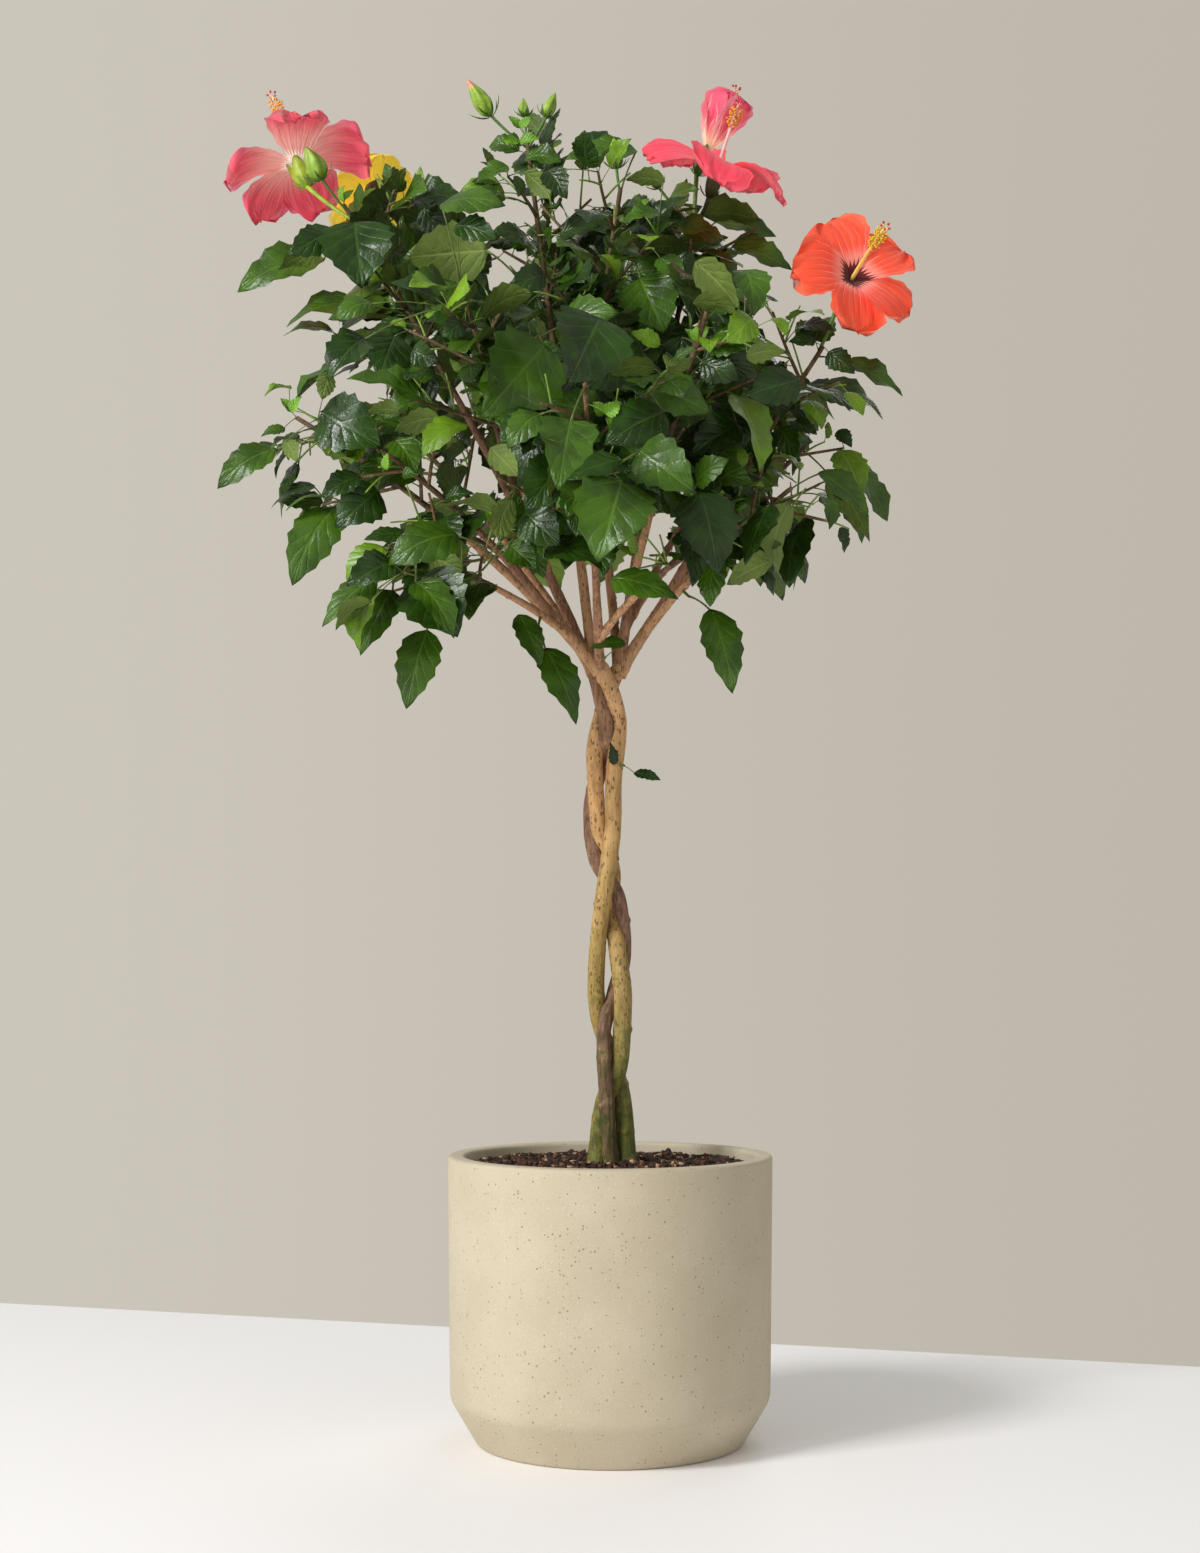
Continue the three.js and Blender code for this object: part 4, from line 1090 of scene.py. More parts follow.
    def bloom(self, row: BloomRow) -> Bloom:
        """Places a bloom's stalk, petals and column, and takes their room.

        Args:
            row: the bloom's row of the table.

        Returns:
            The placed bloom.
        """
        limb = self.limbs[row.on]
        axis, throat = unit(np.array(row.faces, float)), np.array(row.at, float)
        foot = throat - axis * CALYX_LENGTH
        start = limb.point(self.BLOOM_AT)
        stalk = np.array([start, (start + foot) / 2 - UP * 2, foot])
        e1, e2 = across(axis)
        tilt = math.radians(row.open)
        petals = []
        turns = [math.radians(row.turn + 72 * k) for k in range(5)]
        if row.name in AIMS:
            ways = [SIGHT.on_plane(tip, throat, axis) - throat for tip in AIMS[row.name]]
            turns = [math.atan2(way @ e2, way @ e1) for way in ways]
        for turn in turns:
            out = outward(axis, turn)
            along = out * math.cos(tilt) + axis * math.sin(tilt)
            facing = axis * math.cos(tilt) - out * math.sin(tilt)
            petals.append(Blades.made(throat, along, facing, row.petal, row.petal * PETAL_WIDTH_SHARE / 2))
        self.room.take(Blades.joined(petals))
        tip = throat + axis * row.column
        self.add_wood(np.concatenate([stalk, throat[None]]), self.STALK_ROOM, limb.index)
        self.add_wood(np.array([throat, tip]), self.COLUMN_ROOM, limb.index)
        return Bloom(row, axis, throat, foot, stalk, Blades.joined(petals), tip)

    def bud(self, row: BudRow) -> Bud:
        """Places a bud and takes its room.

        Args:
            row: the bud's row of the table.

        Returns:
            The placed bud.
        """
        limb = self.limbs[row.on]
        direction = bearing(row.toward, row.rise)
        start = limb.point(self.BUD_AT)
        base = start + direction * row.stalk
        tip = base + unit(direction + UP * 0.5) * row.length
        self.add_wood(np.array([start, base]), self.STALK_ROOM, limb.index)
        self.add_wood(np.array([base, tip]), row.radius, limb.index)
        return Bud(row, start, base, tip)

    def hang(self, limb: Limb, root: Array, blade: Blades, tint: Tint, apart: float = LEAF.apart) -> bool:
        """Hangs one leaf if it has room.

        Args:
            limb: the limb it grows on.
            root: where its stalk starts.
            blade: its oval, at whose base the stalk ends.
            tint: its green.
            apart: how far it keeps from other blades.

        Returns:
            Whether it was hung.
        """
        if not self.room.blade_is_clear(blade, apart):
            return False
        stalk = np.array([root, blade.base[0]])
        line = Beads.along(stalk, LEAF.petiole_radius, limb.index, RULE.petiole_bead_spacing).after_first()
        if not self.room.stalk_is_clear(line, limb.index):
            return False
        self.room.take(blade)
        self.room.take(line)
        fold, wave, phase = self.extra.random(3)
        limb.leaves.append(Leaf(root, blade, tint, fold, wave, phase))
        return True

    def outline_leaf(self, row: OutlineRow) -> None:
        """Hangs a leaf that draws the crown's outline."""
        limb = self.limbs[row.on]
        blade = Blades.between(row.base, row.tip, LEAF.outline_width)
        self.hang(limb, limb.point(row.along), blade, Tint.GREEN)

    def set_seen_leaves(self) -> None:
        """Hangs the leaves that the photograph shows, each on the shoot that carries it best."""
        starts, owners = [], []
        for limb in self.limbs.values():
            twigs = [bent(t[:1], t[1:], 6, t[:1] * 0)[0] for t in limb.twigs]
            for points in (limb.stem(9), *twigs):
                starts.append(points)
                owners += [limb] * len(points)
        starts = np.concatenate(starts)
        left = 0
        for face, rows in SEEN.items():
            for row in rows:
                blade = self.seen_leaf(row, face, starts, owners)
                if blade is None:
                    left += 1
                    continue
                middle = blade.base + blade.axis * blade.length[:, None] * np.linspace(0.1, 0.9, 5)[:, None]
                self.lookout.watch(middle, max(4.0, row[4] * blade.length[0] * 0.6))
        LOG.info("leaves of the photograph left out: %d", left)

    def seen_leaf(self, row: tuple[float, ...], face: str, starts: Array,
                  owners: list[Limb]) -> Blades | None:
        """Hangs one leaf that the photograph shows, on one of the shoots near its foot.

        Args:
            row: the pixels of its foot and tip, and half the width seen as a share of the length.
            face: its green, or under where its lower face shows.
            starts: points on the shoots.
            owners: the limb of each of those points.

        Returns:
            Its oval, or None where no shoot has room for it.
        """
        under = face == "under"
        tint = Tint.GREEN if under else Tint[face.upper()]
        roots = np.tile(starts, (len(self.SEEN_STEPS), 1))
        steps = np.repeat(self.SEEN_STEPS, len(starts))
        feet = SIGHT.on_plane(row[:2], roots - DEPTH * steps[:, None], DEPTH)
        stalks = np.linalg.norm(feet - roots, axis=1)
        least, most = self.SEEN_STALKS
        cost = np.where((stalks > least) & (stalks < most), stalks + self.SEEN_NEAR * feet[:, 1], np.inf)
        for k in np.argsort(cost, kind="stable")[:self.SEEN_ROOTS]:
            if not np.isfinite(cost[k]):
                break
            owner = owners[k % len(starts)]
            blade = self.seen_blade(feet[k], row[2:4], row[4], under)
            if not inside(blade.samples()[0], owner.box, self.SEEN_OUTSIDE):
                continue
            if self.hang(owner, roots[k], blade, tint, self.SEEN_APART):
                return blade
        return None

    def seen_blade(self, foot: Array, tip_pixel: Pair, wide: float, under: bool) -> Blades:
        """The oval of a leaf that the photograph shows.

        Its tip lies on its pixel's line of sight, nearer to the eye than its foot, and it is turned about its
        rib until as much of its width shows as in the photograph.

        Args:
            foot: where its blade starts.
            tip_pixel: the pixel of its tip.
            wide: half the width seen as a share of the length.
            under: whether its lower face shows.

        Returns:
            The oval.
        """
        long = np.linalg.norm(SIGHT.on_plane(tip_pixel, foot, DEPTH) - foot)
        axis = SIGHT.on_plane(tip_pixel, foot - DEPTH * long * self.SEEN_LEAN[under], DEPTH) - foot
        length = float(np.linalg.norm(axis))
        axis = axis / length
        sight = unit(np.array(SIGHT.eye) - foot)
        toward = unit(sight - axis * (sight @ axis))
        side = np.cross(axis, toward)
        side = side if side[2] > 0 else -side
        turn = math.acos(min(1, wide / self.SEEN_SHARE))
        normal = (-toward if under else toward) * math.cos(turn) + side * math.sin(turn)
        return Blades.made(foot, axis, normal, length, length * max(wide, self.SEEN_SHARE * self.SEEN_LEAST))

    def places(self, limb: Limb) -> list[Place]:
        """Leaf places along each shoot by the golden turn, those nearest the tips first.

        Args:
            limb: the limb.

        Returns:
            The places in the order of hanging.
        """
        found = []
        shoots = [(limb.stem(), RULE.stem_bare)] + [(twig, RULE.twig_bare) for twig in limb.twigs]
        for points, bare in shoots:
            length = length_of(points)
            phase = self.draws.next() * 2 * math.pi
            for k in range(math.floor((length - bare) / RULE.internode) + 1):
                share = (bare + k * RULE.internode) / length
                root, way = on_line(points, share)
                size, droop, sway = self.draws.next(), self.draws.next(), self.draws.next()
                found.append(Place(root, way, share, phase + k * GOLDEN_TURN, size, droop, sway))
        return sorted(found, key=lambda place: -place.share)

    def shaped(self, limb: Limb, place: Place, scale: float, turn: float) -> Blades | None:
        """A leaf's oval at a place: its stalk leans along the shoot, out and up, and its blade droops.

        Args:
            limb: the limb it grows on.
            place: where it may hang.
            scale: its size beside the rule's own leaf.
            turn: how far it is turned round its shoot from the place's own angle.

        Returns:
            The oval, or None where it would hang too low or lie along a twig.
        """
        out = outward(place.tangent, place.angle + turn)
        stalk_way = unit(place.tangent * LEAF.stalk_forward + out + UP * LEAF.stalk_up)
        for twig in limb.twigs:
            near = np.linalg.norm(twig[0] - place.root) < LEAF.twig_near
            if near and unit(twig[1] - twig[0]) @ stalk_way > LEAF.twig_along:
                return None
        away = place.root - np.array(RULE.centre)
        away[2] = 0
        away = unit(away)
        depth = (LEAF.level_above - place.root[2]) / LEAF.droop_depth
        droop = min(max(depth, LEAF.least_droop), 1)
        fall = (LEAF.droop_least + LEAF.droop_spread * place.droop) * droop
        axis = unit(stalk_way * LEAF.blade_along + away * LEAF.blade_out - UP * fall)
        light = np.array(RULE.light_side) * LEAF.toward_light * (1 - away[1]) / 2
        normal = away * LEAF.face_out + UP * LEAF.face_up + out * LEAF.face_sway * (place.sway - 0.5) + light
        length = limb.row.leaf * (LEAF.size_least + LEAF.size_spread * place.size) * scale
        length *= LEAF.young_share if place.share > LEAF.young_above else 1
        varied = LEAF.stalk_least + LEAF.stalk_spread * place.sway
        stalk = LEAF.petiole_least * scale + length * LEAF.petiole_share * varied
        base = place.root + stalk_way * stalk
        end = base + axis * length
        if end[2] < lowest_at(end):
            return None
        return Blades.made(base, axis, normal, length, length * LEAF.width_share / 2)

    def set_leaf(self, limb: Limb, place: Place) -> None:
        """Hangs the rule's own leaf, or a smaller or turned one where it would close a gap.

        Args:
            limb: the limb.
            place: where the leaf grows and its drawn numbers.
        """
        tint = Tint.FRESH if place.share > LEAF.young_above else self.tint_of(limb, place)
        for scale, turn in self.TRIES:
            blade = self.shaped(limb, place, scale, turn)
            if blade is None or not self.lookout.is_free(blade, self.RULE_GIVE):
                continue
            if self.hang(limb, place.root, blade, tint) or turn == 0:
                return

    def tint_of(self, limb: Limb, place: Place) -> Tint:
        """The green of a grown leaf: mostly deep, and fresher where its spray is a light one.

        Args:
            limb: the limb.
            place: where the leaf grows and its drawn numbers.

        Returns:
            The tint.
        """
        light_spray = limb.index % 5 == 2
        limit = 0.42 if light_spray else 0.2
        if place.size < limit * 0.4:
            return Tint.FRESH
        return Tint.GREEN if (place.droop + place.sway) / 2 < 0.28 + limit else Tint.DEEP

    def set_leaves(self) -> None:
        """Hangs leaves limb by limb in turn, so that each spray gets its share of the room."""
        waiting = [(limb, self.places(limb)) for limb in self.limbs.values()]
        while any(places for _, places in waiting):
            for limb, places in waiting:
                if places:
                    self.set_leaf(limb, places.pop(0))

    def grow_finer(self) -> None:
        """Carries each shoot to finer sprigs with smaller leaves, inside the reach of its spray's solid."""
        for limb in self.limbs.values():
            shoots = [limb.stem(), *limb.twigs]
            for points in shoots:
                self.fill_shoot(limb, points)
                self.grow_sprigs(limb, points)
            for k, points in enumerate(shoots + limb.sprigs):
                self.grow_tip(limb, points, Tint.TIP if k == 0 else Tint.FRESH if k % 3 == 1 else Tint.GREEN)

    def fill_shoot(self, limb: Limb, points: Array) -> None:
        """Hangs smaller leaves between the rule's own wherever there is room, two at each step.

        Args:
            limb: the limb.
            points: the corners of the shoot's line.
        """
        length = length_of(points)
        for k in range(int(length / self.FILL_STEP)):
            share = (self.FILL_FROM + self.FILL_STEP * k) / length
            if share > self.FILL_TO:
                break
            for angle, scale in self.FILL_TWO:
                self.try_leaf(limb, points, share, k * GOLDEN_TURN + angle, scale)

    def try_leaf(self, limb: Limb, points: Array, share: float, angle: float, scale: float) -> None:
        """Hangs one finer leaf, at one of a few sizes and turns, if it stays inside the spray's box.

        Args:
            limb: the limb.
            points: the corners of the shoot's line.
            share: how far along the line it grows.
            angle: its turn round the line, in radians.
            scale: its size beside a grown leaf.
        """
        root, way = on_line(points, share)
        size, droop, sway = self.extra.random(3)
        place = Place(root, way, min(share, 0.9), angle, size, droop, sway)
        tint = self.tint_of(limb, place)
        for smaller, turn in self.FINE_TRIES:
            blade = self.shaped(limb, place, scale * smaller, turn)
            if blade is None or not inside(blade.samples()[0], limb.box):
                continue
            if self.lookout.is_free(blade, 1.0) and self.hang(limb, root, blade, tint, self.FINE_BLADE_APART):
                return

    def grow_sprigs(self, limb: Limb, points: Array) -> None:
        """Short side sprigs, 24 to 40 mm long, each with a few small leaves.

        Args:
            limb: the limb.
            points: the corners of the shoot's line.
        """
        for share in self.SPRIG_PLACES:
            root, step = on_line(points, share)
            angle = self.extra.random() * 2 * math.pi
            way = unit(step * 0.7 + outward(step, angle) + UP * 0.3)
            sprig = np.array([root, root + way * (24 + 16 * self.extra.random())])
            line = Beads.along(sprig, 1.0, limb.index)
            if not inside(sprig[1], limb.box, -self.SPRIG_INSIDE):
                continue
            if not self.room.wood_is_clear(line.after_first(), limb.index, self.FINE_APART):
                continue
            self.room.take(line)
            limb.sprigs.append(sprig)
            for k, at in enumerate(self.SPRIG_LEAVES):
                self.try_leaf(limb, sprig, at, angle + k * GOLDEN_TURN, self.SPRIG_SCALE)

    def grow_tip(self, limb: Limb, points: Array, tint: Tint) -> None:
        """A tuft of three small leaves that stand round a shoot's tip.

        Args:
            limb: the limb.
            points: the corners of the shoot's line.
            tint: the tuft's tint.
        """
        step = unit(points[-1] - points[-2])
        root = points[-1] - step
        for k in range(3):
            out = outward(step, k * GOLDEN_TURN + limb.index)
            way = unit(step + out * 0.5 + UP * 0.3)
            axis = unit(step * 0.9 + out * 0.7 + UP * 0.25)
            length = (13 if tint is Tint.TIP else 18) + 12 * self.extra.random()
            base = root + way * (3 + length * 0.12)
            blade = Blades.made(base, axis, unit(step - out * 0.6 + UP), length, length * 0.28)
            if self.lookout.is_free(blade, 1.0):
                self.hang(limb, root, blade, tint, self.TIP_APART)


# Making meshes out of arrays.
@dataclass
class Pattern:
    """The faces of one loft: rings of points, closed at both ends.

    Corner k of ring i joins corner k + 1 and ring i + 1. The foot ring is closed by a fan, and the end is
    a fan or a single point.
    """

    rings: int
    sides: int
    pointed: bool = False
    folded: int = 0

    def quads(self) -> Array:
        """The four-cornered faces between the rings, facing out.

        From the corner folded on, a ring runs back under itself, and its faces start at their next corner,
        so that the triangles above and below a thin sheet lie the same way.
        """
        low = (np.arange(self.rings - 1) * self.sides)[:, None] + np.arange(self.sides)
        nxt = (np.arange(self.rings - 1) * self.sides)[:, None] + (np.arange(self.sides) + 1) % self.sides
        faces = np.stack([low, nxt, nxt + self.sides, low + self.sides], -1)
        if self.folded:
            faces[:, self.folded:] = np.roll(faces[:, self.folded:], -1, axis=-1)
        return faces.reshape(-1, 4)

    def tris(self) -> Array:
        """The fans that close the foot and the end.

        Returns:
            Three corner numbers for each triangle.
        """
        k = np.arange(1, self.sides - 1)
        foot = np.stack([np.zeros_like(k), k + 1, k], -1)
        top = (self.rings - 1) * self.sides
        if self.pointed:
            k = np.arange(self.sides)
            peak = np.full_like(k, self.rings * self.sides)
            end = np.stack([top + k, top + (k + 1) % self.sides, peak], -1)
        else:
            end = np.stack([np.full_like(k, top), top + k, top + k + 1], -1)
        return np.concatenate([foot, end])


def round_angles(sides: int) -> Array:
    """The angles of the corners of a ring."""
    return np.arange(sides) * 2 * math.pi / sides


def turned(radius: Array, height: Array, angle: Array) -> Array:
    """Places on upright rings: x and y are the radius times cos and sin of the angle."""
    return np.stack(np.broadcast_arrays(radius * np.cos(angle), radius * np.sin(angle), height), -1)


def rings_about(foot: Array, axis: Array, height: Array, radius: Array, angle: Array) -> Array:
    """One loft's places: the foot plus the height along the axis plus the radius round it at each angle.

    Args:
        foot: the foot of the loft.
        axis: its unit axis.
        height: heights on the grid.
        radius: radii on the grid.
        angle: angles on the grid, in radians.

    Returns:
        The places of one loft, as one row.
    """
    e1, e2 = across(axis)
    points = (foot + axis * height[..., None] + e1 * (radius * np.cos(angle))[..., None]
              + e2 * (radius * np.sin(angle))[..., None])
    return points.reshape(1, -1, 3)


def linked(name: str, data: bpy.types.ID) -> bpy.types.Object:
    """A new object of the scene with its data."""
    made = bpy.data.objects.new(name, data)
    bpy.context.scene.collection.objects.link(made)
    return made


@dataclass
class Skin:
    """A mesh in the making: points, faces of four and three, UV places, finishes and sharp edges."""

    points: Array
    quads: Array
    tris: Array
    uv: Array
    quad_finish: Array
    tri_finish: Array
    sharp: Array
    CORNERS = ("quads", "tris", "sharp")

    @classmethod
    def stamped(cls, pattern: Pattern, points: Array, uv: Array | None = None,
                finish: Array | int = 0, quad_step: Array | int = 0, rims: Sequence[int] = ()) -> "Skin":
        """Many lofts of one pattern.

        Args:
            pattern: the rings and sides.
            points: the points, shaped (lofts, points, 3).
            uv: UV places of one loft's points, shared by all.
            finish: the finish of each loft.
            quad_step: what is added to the finish on each of the pattern's quads.
            rims: ring corners whose lengthwise edges are sharp.

        Returns:
            The joined skin.
        """
        many, size = points.shape[:2]
        shift = (np.arange(many) * size)[:, None, None]
        quads = pattern.quads()
        tris = pattern.tris()
        finish = np.broadcast_to(np.asarray(finish), (many,))
        steps = np.broadcast_to(np.asarray(quad_step), (len(quads),))
        rows = np.arange(pattern.rings - 1) * pattern.sides
        sharp = np.array([[r + k, r + k + pattern.sides] for k in rims for r in rows], int).reshape(-1, 2)
        return cls(
            points.reshape(-1, 3),
            (quads[None] + shift).reshape(-1, 4),
            (tris[None] + shift).reshape(-1, 3),
            np.tile(uv if uv is not None else np.zeros((size, 2)), (many, 1)),
            (finish[:, None] + steps).ravel(),
            np.repeat(finish, len(tris)),
            (sharp[None] + shift).reshape(-1, 2),
        )

    @classmethod
    def joined(cls, skins: Iterable["Skin"]) -> "Skin":
        """Several skins as one, with the numbers of their corners moved on.

        Args:
            skins: the skins.

        Returns:
            The one skin.
        """
        parts = [s for s in skins if len(s.points)]
        shifts = np.cumsum([0] + [len(s.points) for s in parts[:-1]])
        return cls(*(np.concatenate([getattr(s, f.name) + (k if f.name in cls.CORNERS else 0)
                                     for s, k in zip(parts, shifts)]) for f in fields(cls)))

    def mark_sharp(self, mesh: bpy.types.Mesh) -> None:
        """Marks the mesh's edges that are sharp, found by the numbers of their two ends.

        Args:
            mesh: the mesh, with its edges worked out.
        """
        ends = np.zeros(len(mesh.edges) * 2, np.int32)
        mesh.edges.foreach_get("vertices", ends)
        ends = np.sort(ends.reshape(-1, 2).astype(np.int64), axis=1)
        wanted = np.sort(self.sharp.astype(np.int64), axis=1)
        size = len(self.points)
        mask = np.isin(ends[:, 0] * size + ends[:, 1], wanted[:, 0] * size + wanted[:, 1])
        mesh.attributes.new("sharp_edge", "BOOLEAN", "EDGE").data.foreach_set("value", mask)

    def put_in(self, name: str, finishes: Sequence["Finish"], slot: str, *nodes: str) -> None:
        """Makes the Blender object and hangs it on the frame, at the origin with its place in its mesh.

        Args:
            name: the piece's name.
            finishes: its finishes, by their numbers.
            slot: the record's material slot, which is not used.
            nodes: the CAD nodes that the piece stands for.
        """
        mesh = bpy.data.meshes.new(name)
        corners = np.concatenate([self.quads.ravel(), self.tris.ravel()])
        totals = np.concatenate([np.full(len(self.quads), 4), np.full(len(self.tris), 3)])
        mesh.vertices.add(len(self.points))
        mesh.vertices.foreach_set("co", (self.points * METRES).astype(np.float32).ravel())
        mesh.loops.add(len(corners))
        mesh.loops.foreach_set("vertex_index", corners.astype(np.int32))
        mesh.polygons.add(len(totals))
        first = np.concatenate([[0], np.cumsum(totals)[:-1]]).astype(np.int32)
        mesh.polygons.foreach_set("loop_start", first)
        numbers = np.concatenate([self.quad_finish, self.tri_finish]).astype(np.int32)
        mesh.polygons.foreach_set("material_index", numbers)
        mesh.polygons.foreach_set("use_smooth", np.ones(len(totals), bool))
        layer = mesh.uv_layers.new(name="UVMap")
        layer.data.foreach_set("uv", self.uv[corners].astype(np.float32).ravel())
        mesh.update(calc_edges=True)
        if len(self.sharp):
            self.mark_sharp(mesh)
        for finish in finishes:
            mesh.materials.append(finish.dress())
        piece = linked(name, mesh)
        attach(piece, BODY)
        if nodes:
            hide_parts(*nodes)
        LOG.info("%s: %d triangles", name, 2 * len(self.quads) + len(self.tris))


def tubes(paths: Array, radii: Array, sides: int, finish: Array | int = 0,
          relief: Callable[[Array, Array], Array] | None = None) -> Skin:
    """Round rods carried along paths, closed at both ends.

    A point is the path's point plus radius times cos of the angle along one side direction and sin along
    the other. The side directions are square to the path, the first one near a level line across its chord.

    Args:
        paths: points, shaped (rods, rings, 3).
        radii: radii, shaped (rods, rings) or anything that spreads to it.
        sides: corners of a ring.
        finish: the finish of each rod.
        relief: what is added to the radius, from the angle and the ring's share of the way.

    Returns:
        The skin of all rods.
    """
    many, rings = paths.shape[:2]
    tangent = unit(np.gradient(paths, axis=1))
    level, _ = across(unit(paths[:, -1] - paths[:, 0]))
    level = np.repeat(level[:, None], rings, axis=1)
    e1 = unit(level - tangent * (level * tangent).sum(-1, keepdims=True))
    e2 = np.cross(tangent, e1)
    angle = round_angles(sides)
    radius = np.broadcast_to(radii, (many, rings))[..., None] * np.ones(sides)
    if relief is not None:
        radius = radius + relief(angle[None, None, :], np.linspace(0, 1, rings)[None, :, None])
    points = (paths[:, :, None] + e1[:, :, None] * (radius * np.cos(angle))[..., None]
              + e2[:, :, None] * (radius * np.sin(angle))[..., None])
    return Skin.stamped(Pattern(rings, sides), points.reshape(many, -1, 3), finish=finish)


def arched(long: Array, s: Array, c: Array) -> tuple[Array, Array]:
    """How far along its plane and above it the middle line of a blade or petal lies.

    It leaves the plane at the angle c and comes back at -c, so along is L (sin c - sin c(1 - 2s)) / 2c
    and above is L (cos c(1 - 2s) - cos c) / 2c.

    Args:
        long: the length L.
        s: the share of the length.
        c: the angle.

    Returns:
        The way along, and the height above.
    """
    along = long * (np.sin(c) - np.sin(c * (1 - 2 * s))) / (2 * c)
    return along, long * (np.cos(c * (1 - 2 * s)) - np.cos(c)) / (2 * c)


def sheet(along: Array, top: Array, below: Array) -> tuple[Array, Array, Array]:
    """The places of the points of a thin closed loft that ends in one point.

    Args:
        along: each ring's share of the length.
        top: places across on the upper face, from -1 to 1.
        below: places across on the lower face, back from 1 to -1.

    Returns:
        Shares along, places across, and 1 above or -1 below.
    """
    ring = np.concatenate([top, below])
    face = np.concatenate([np.ones(len(top)), -np.ones(len(below))])
    s = np.append(np.repeat(along, len(ring)), 1.0)
    return s, np.append(np.tile(ring, len(along)), 0.0), np.append(np.tile(face, len(along)), 0.0)


@dataclass(frozen=True)
class BladeForm:
    """How each of some blades is bent: arrays with one value for each blade."""

    fold: Array
    arch: Array
    wave: Array
    phase: Array
    twist: Array


@dataclass(frozen=True)
class BladeCut:
    """The outline and flesh of a leaf blade.

    Half the width at share s of the length is s to the power rise times (1 - s) to the power fall, scaled
    to slim at its widest. Every other ring is a tooth on the outer part of the margin.
    """

    rings: int = 12
    columns: int = 4
    under_columns: int = 2
    under_step: int = 1
    rise: float = 0.6
    fall: float = 1.04
    slim: float = 0.95
    spacing: float = 1.12
    tooth: float = 0.1
    toothed_from: float = 0.18
    bulge: float = 0.16
    thick: float = 0.32

    def grid(self) -> tuple[Array, Array, Array, Array]:
        """Shares along, places across, which face, and the outline's half width, for a loft's points.

        Returns:
            Four arrays with a value for each point.
        """
        along = np.concatenate([[0.002], (np.arange(1, self.rings) / self.rings) ** self.spacing])
        below = np.linspace(1, -1, self.under_columns + 1)[1:-1]
        s, x, up = sheet(along, np.linspace(-1, 1, self.columns + 1), below)
        peak = self.rise / (self.rise + self.fall)
        best = peak**self.rise * (1 - peak) ** self.fall
        wide = self.slim * s**self.rise * (1 - s) ** self.fall / best
        sides = self.columns + self.under_columns
        teeth = np.append(np.repeat(np.where(np.arange(self.rings) % 2, 1.0, -0.6), sides), 0.0)
        wide = wide * (1 + self.tooth * teeth * (np.abs(x) == 1) * (s > self.toothed_from))
        return s, x, up, wide

    def made(self, ovals: Blades, form: BladeForm, finish: Array) -> Skin:
        """Blades as thin closed lofts.

        Each half rises from the arched rib by the fold and swells between rib and margin, the margin waves,
        and the blade turns about its rib.

        Args:
            ovals: where the blades lie.
            form: how they are bent.
            finish: the upper face's finish; under_step is added to it on the lower face.

        Returns:
            The skin of all blades.
        """
        s, x, up, wide = (v[None] for v in self.grid())
        long, w = ovals.length[:, None], ovals.half[:, None] * wide
        out = np.abs(x)
        middle, above = arched(long, s, form.arch[:, None])
        ripple = np.sin(2 * math.pi * (1.9 * s + form.phase[:, None]) + np.where(x > 0, 2.2, 0.0))
        z = w * out * (form.fold[:, None] + self.bulge * (1 - out))
        z = z + form.wave[:, None] * long * ripple * out * np.sin(math.pi * np.minimum(s, 1))
        z = z + up * self.thick / 2 * (1 - out)
        turn = form.twist[:, None] * (s - 0.25)
        side, normal = ovals.side[:, None], ovals.normal[:, None]
        cos, sin = np.cos(turn)[..., None], np.sin(turn)[..., None]
        points = (ovals.base[:, None] + ovals.axis[:, None] * middle[..., None] + normal * above[..., None]
                  + (side * cos + normal * sin) * (x * w)[..., None]
                  + (normal * cos - side * sin) * z[..., None])
        sides = self.columns + self.under_columns
        pattern = Pattern(self.rings, sides, pointed=True, folded=self.columns)
        under = np.tile(np.arange(sides) >= self.columns, self.rings - 1) * self.under_step
        uv = np.stack([x[0] / 2 + 0.5, s[0]], -1)
        return Skin.stamped(pattern, points, uv, finish, under, rims=(0, self.columns))


def srgb(red: int, green: int, blue: int) -> Colour:
    """A screen colour of 0 to 255 as the linear colour that shaders take."""
    parts = [c / 255 for c in (red, green, blue)]
    linear = [p / 12.92 if p <= 0.04045 else ((p + 0.055) / 1.055) ** 2.4 for p in parts]
    return (*linear, 1.0)


def shaded(colour: Colour, share: float) -> Colour:
    """A colour whose light is scaled to a share."""
    return (*(c * share for c in colour[:3]), 1.0)


class Value:
    """A node's output. A sum that is written with it places a math node."""

    def __init__(self, bench: "Bench", socket: bpy.types.NodeSocket) -> None:
        """Holds the output and its bench."""
        self.bench = bench
        self.socket = socket

    def __add__(self, other: object) -> "Value":
        """The sum."""
        return self.bench.math("ADD", self, other)

    def __sub__(self, other: object) -> "Value":
        """The difference."""
        return self.bench.math("SUBTRACT", self, other)

    def __rsub__(self, other: float) -> "Value":
        """The difference from a number."""
        return self.bench.math("SUBTRACT", other, self)

    def __mul__(self, other: object) -> "Value":
        """The product."""
        return self.bench.math("MULTIPLY", self, other)

    def also(self, output: int | str) -> "Value":
        """Another output of the same node."""
        return Value(self.bench, self.socket.node.outputs[output])


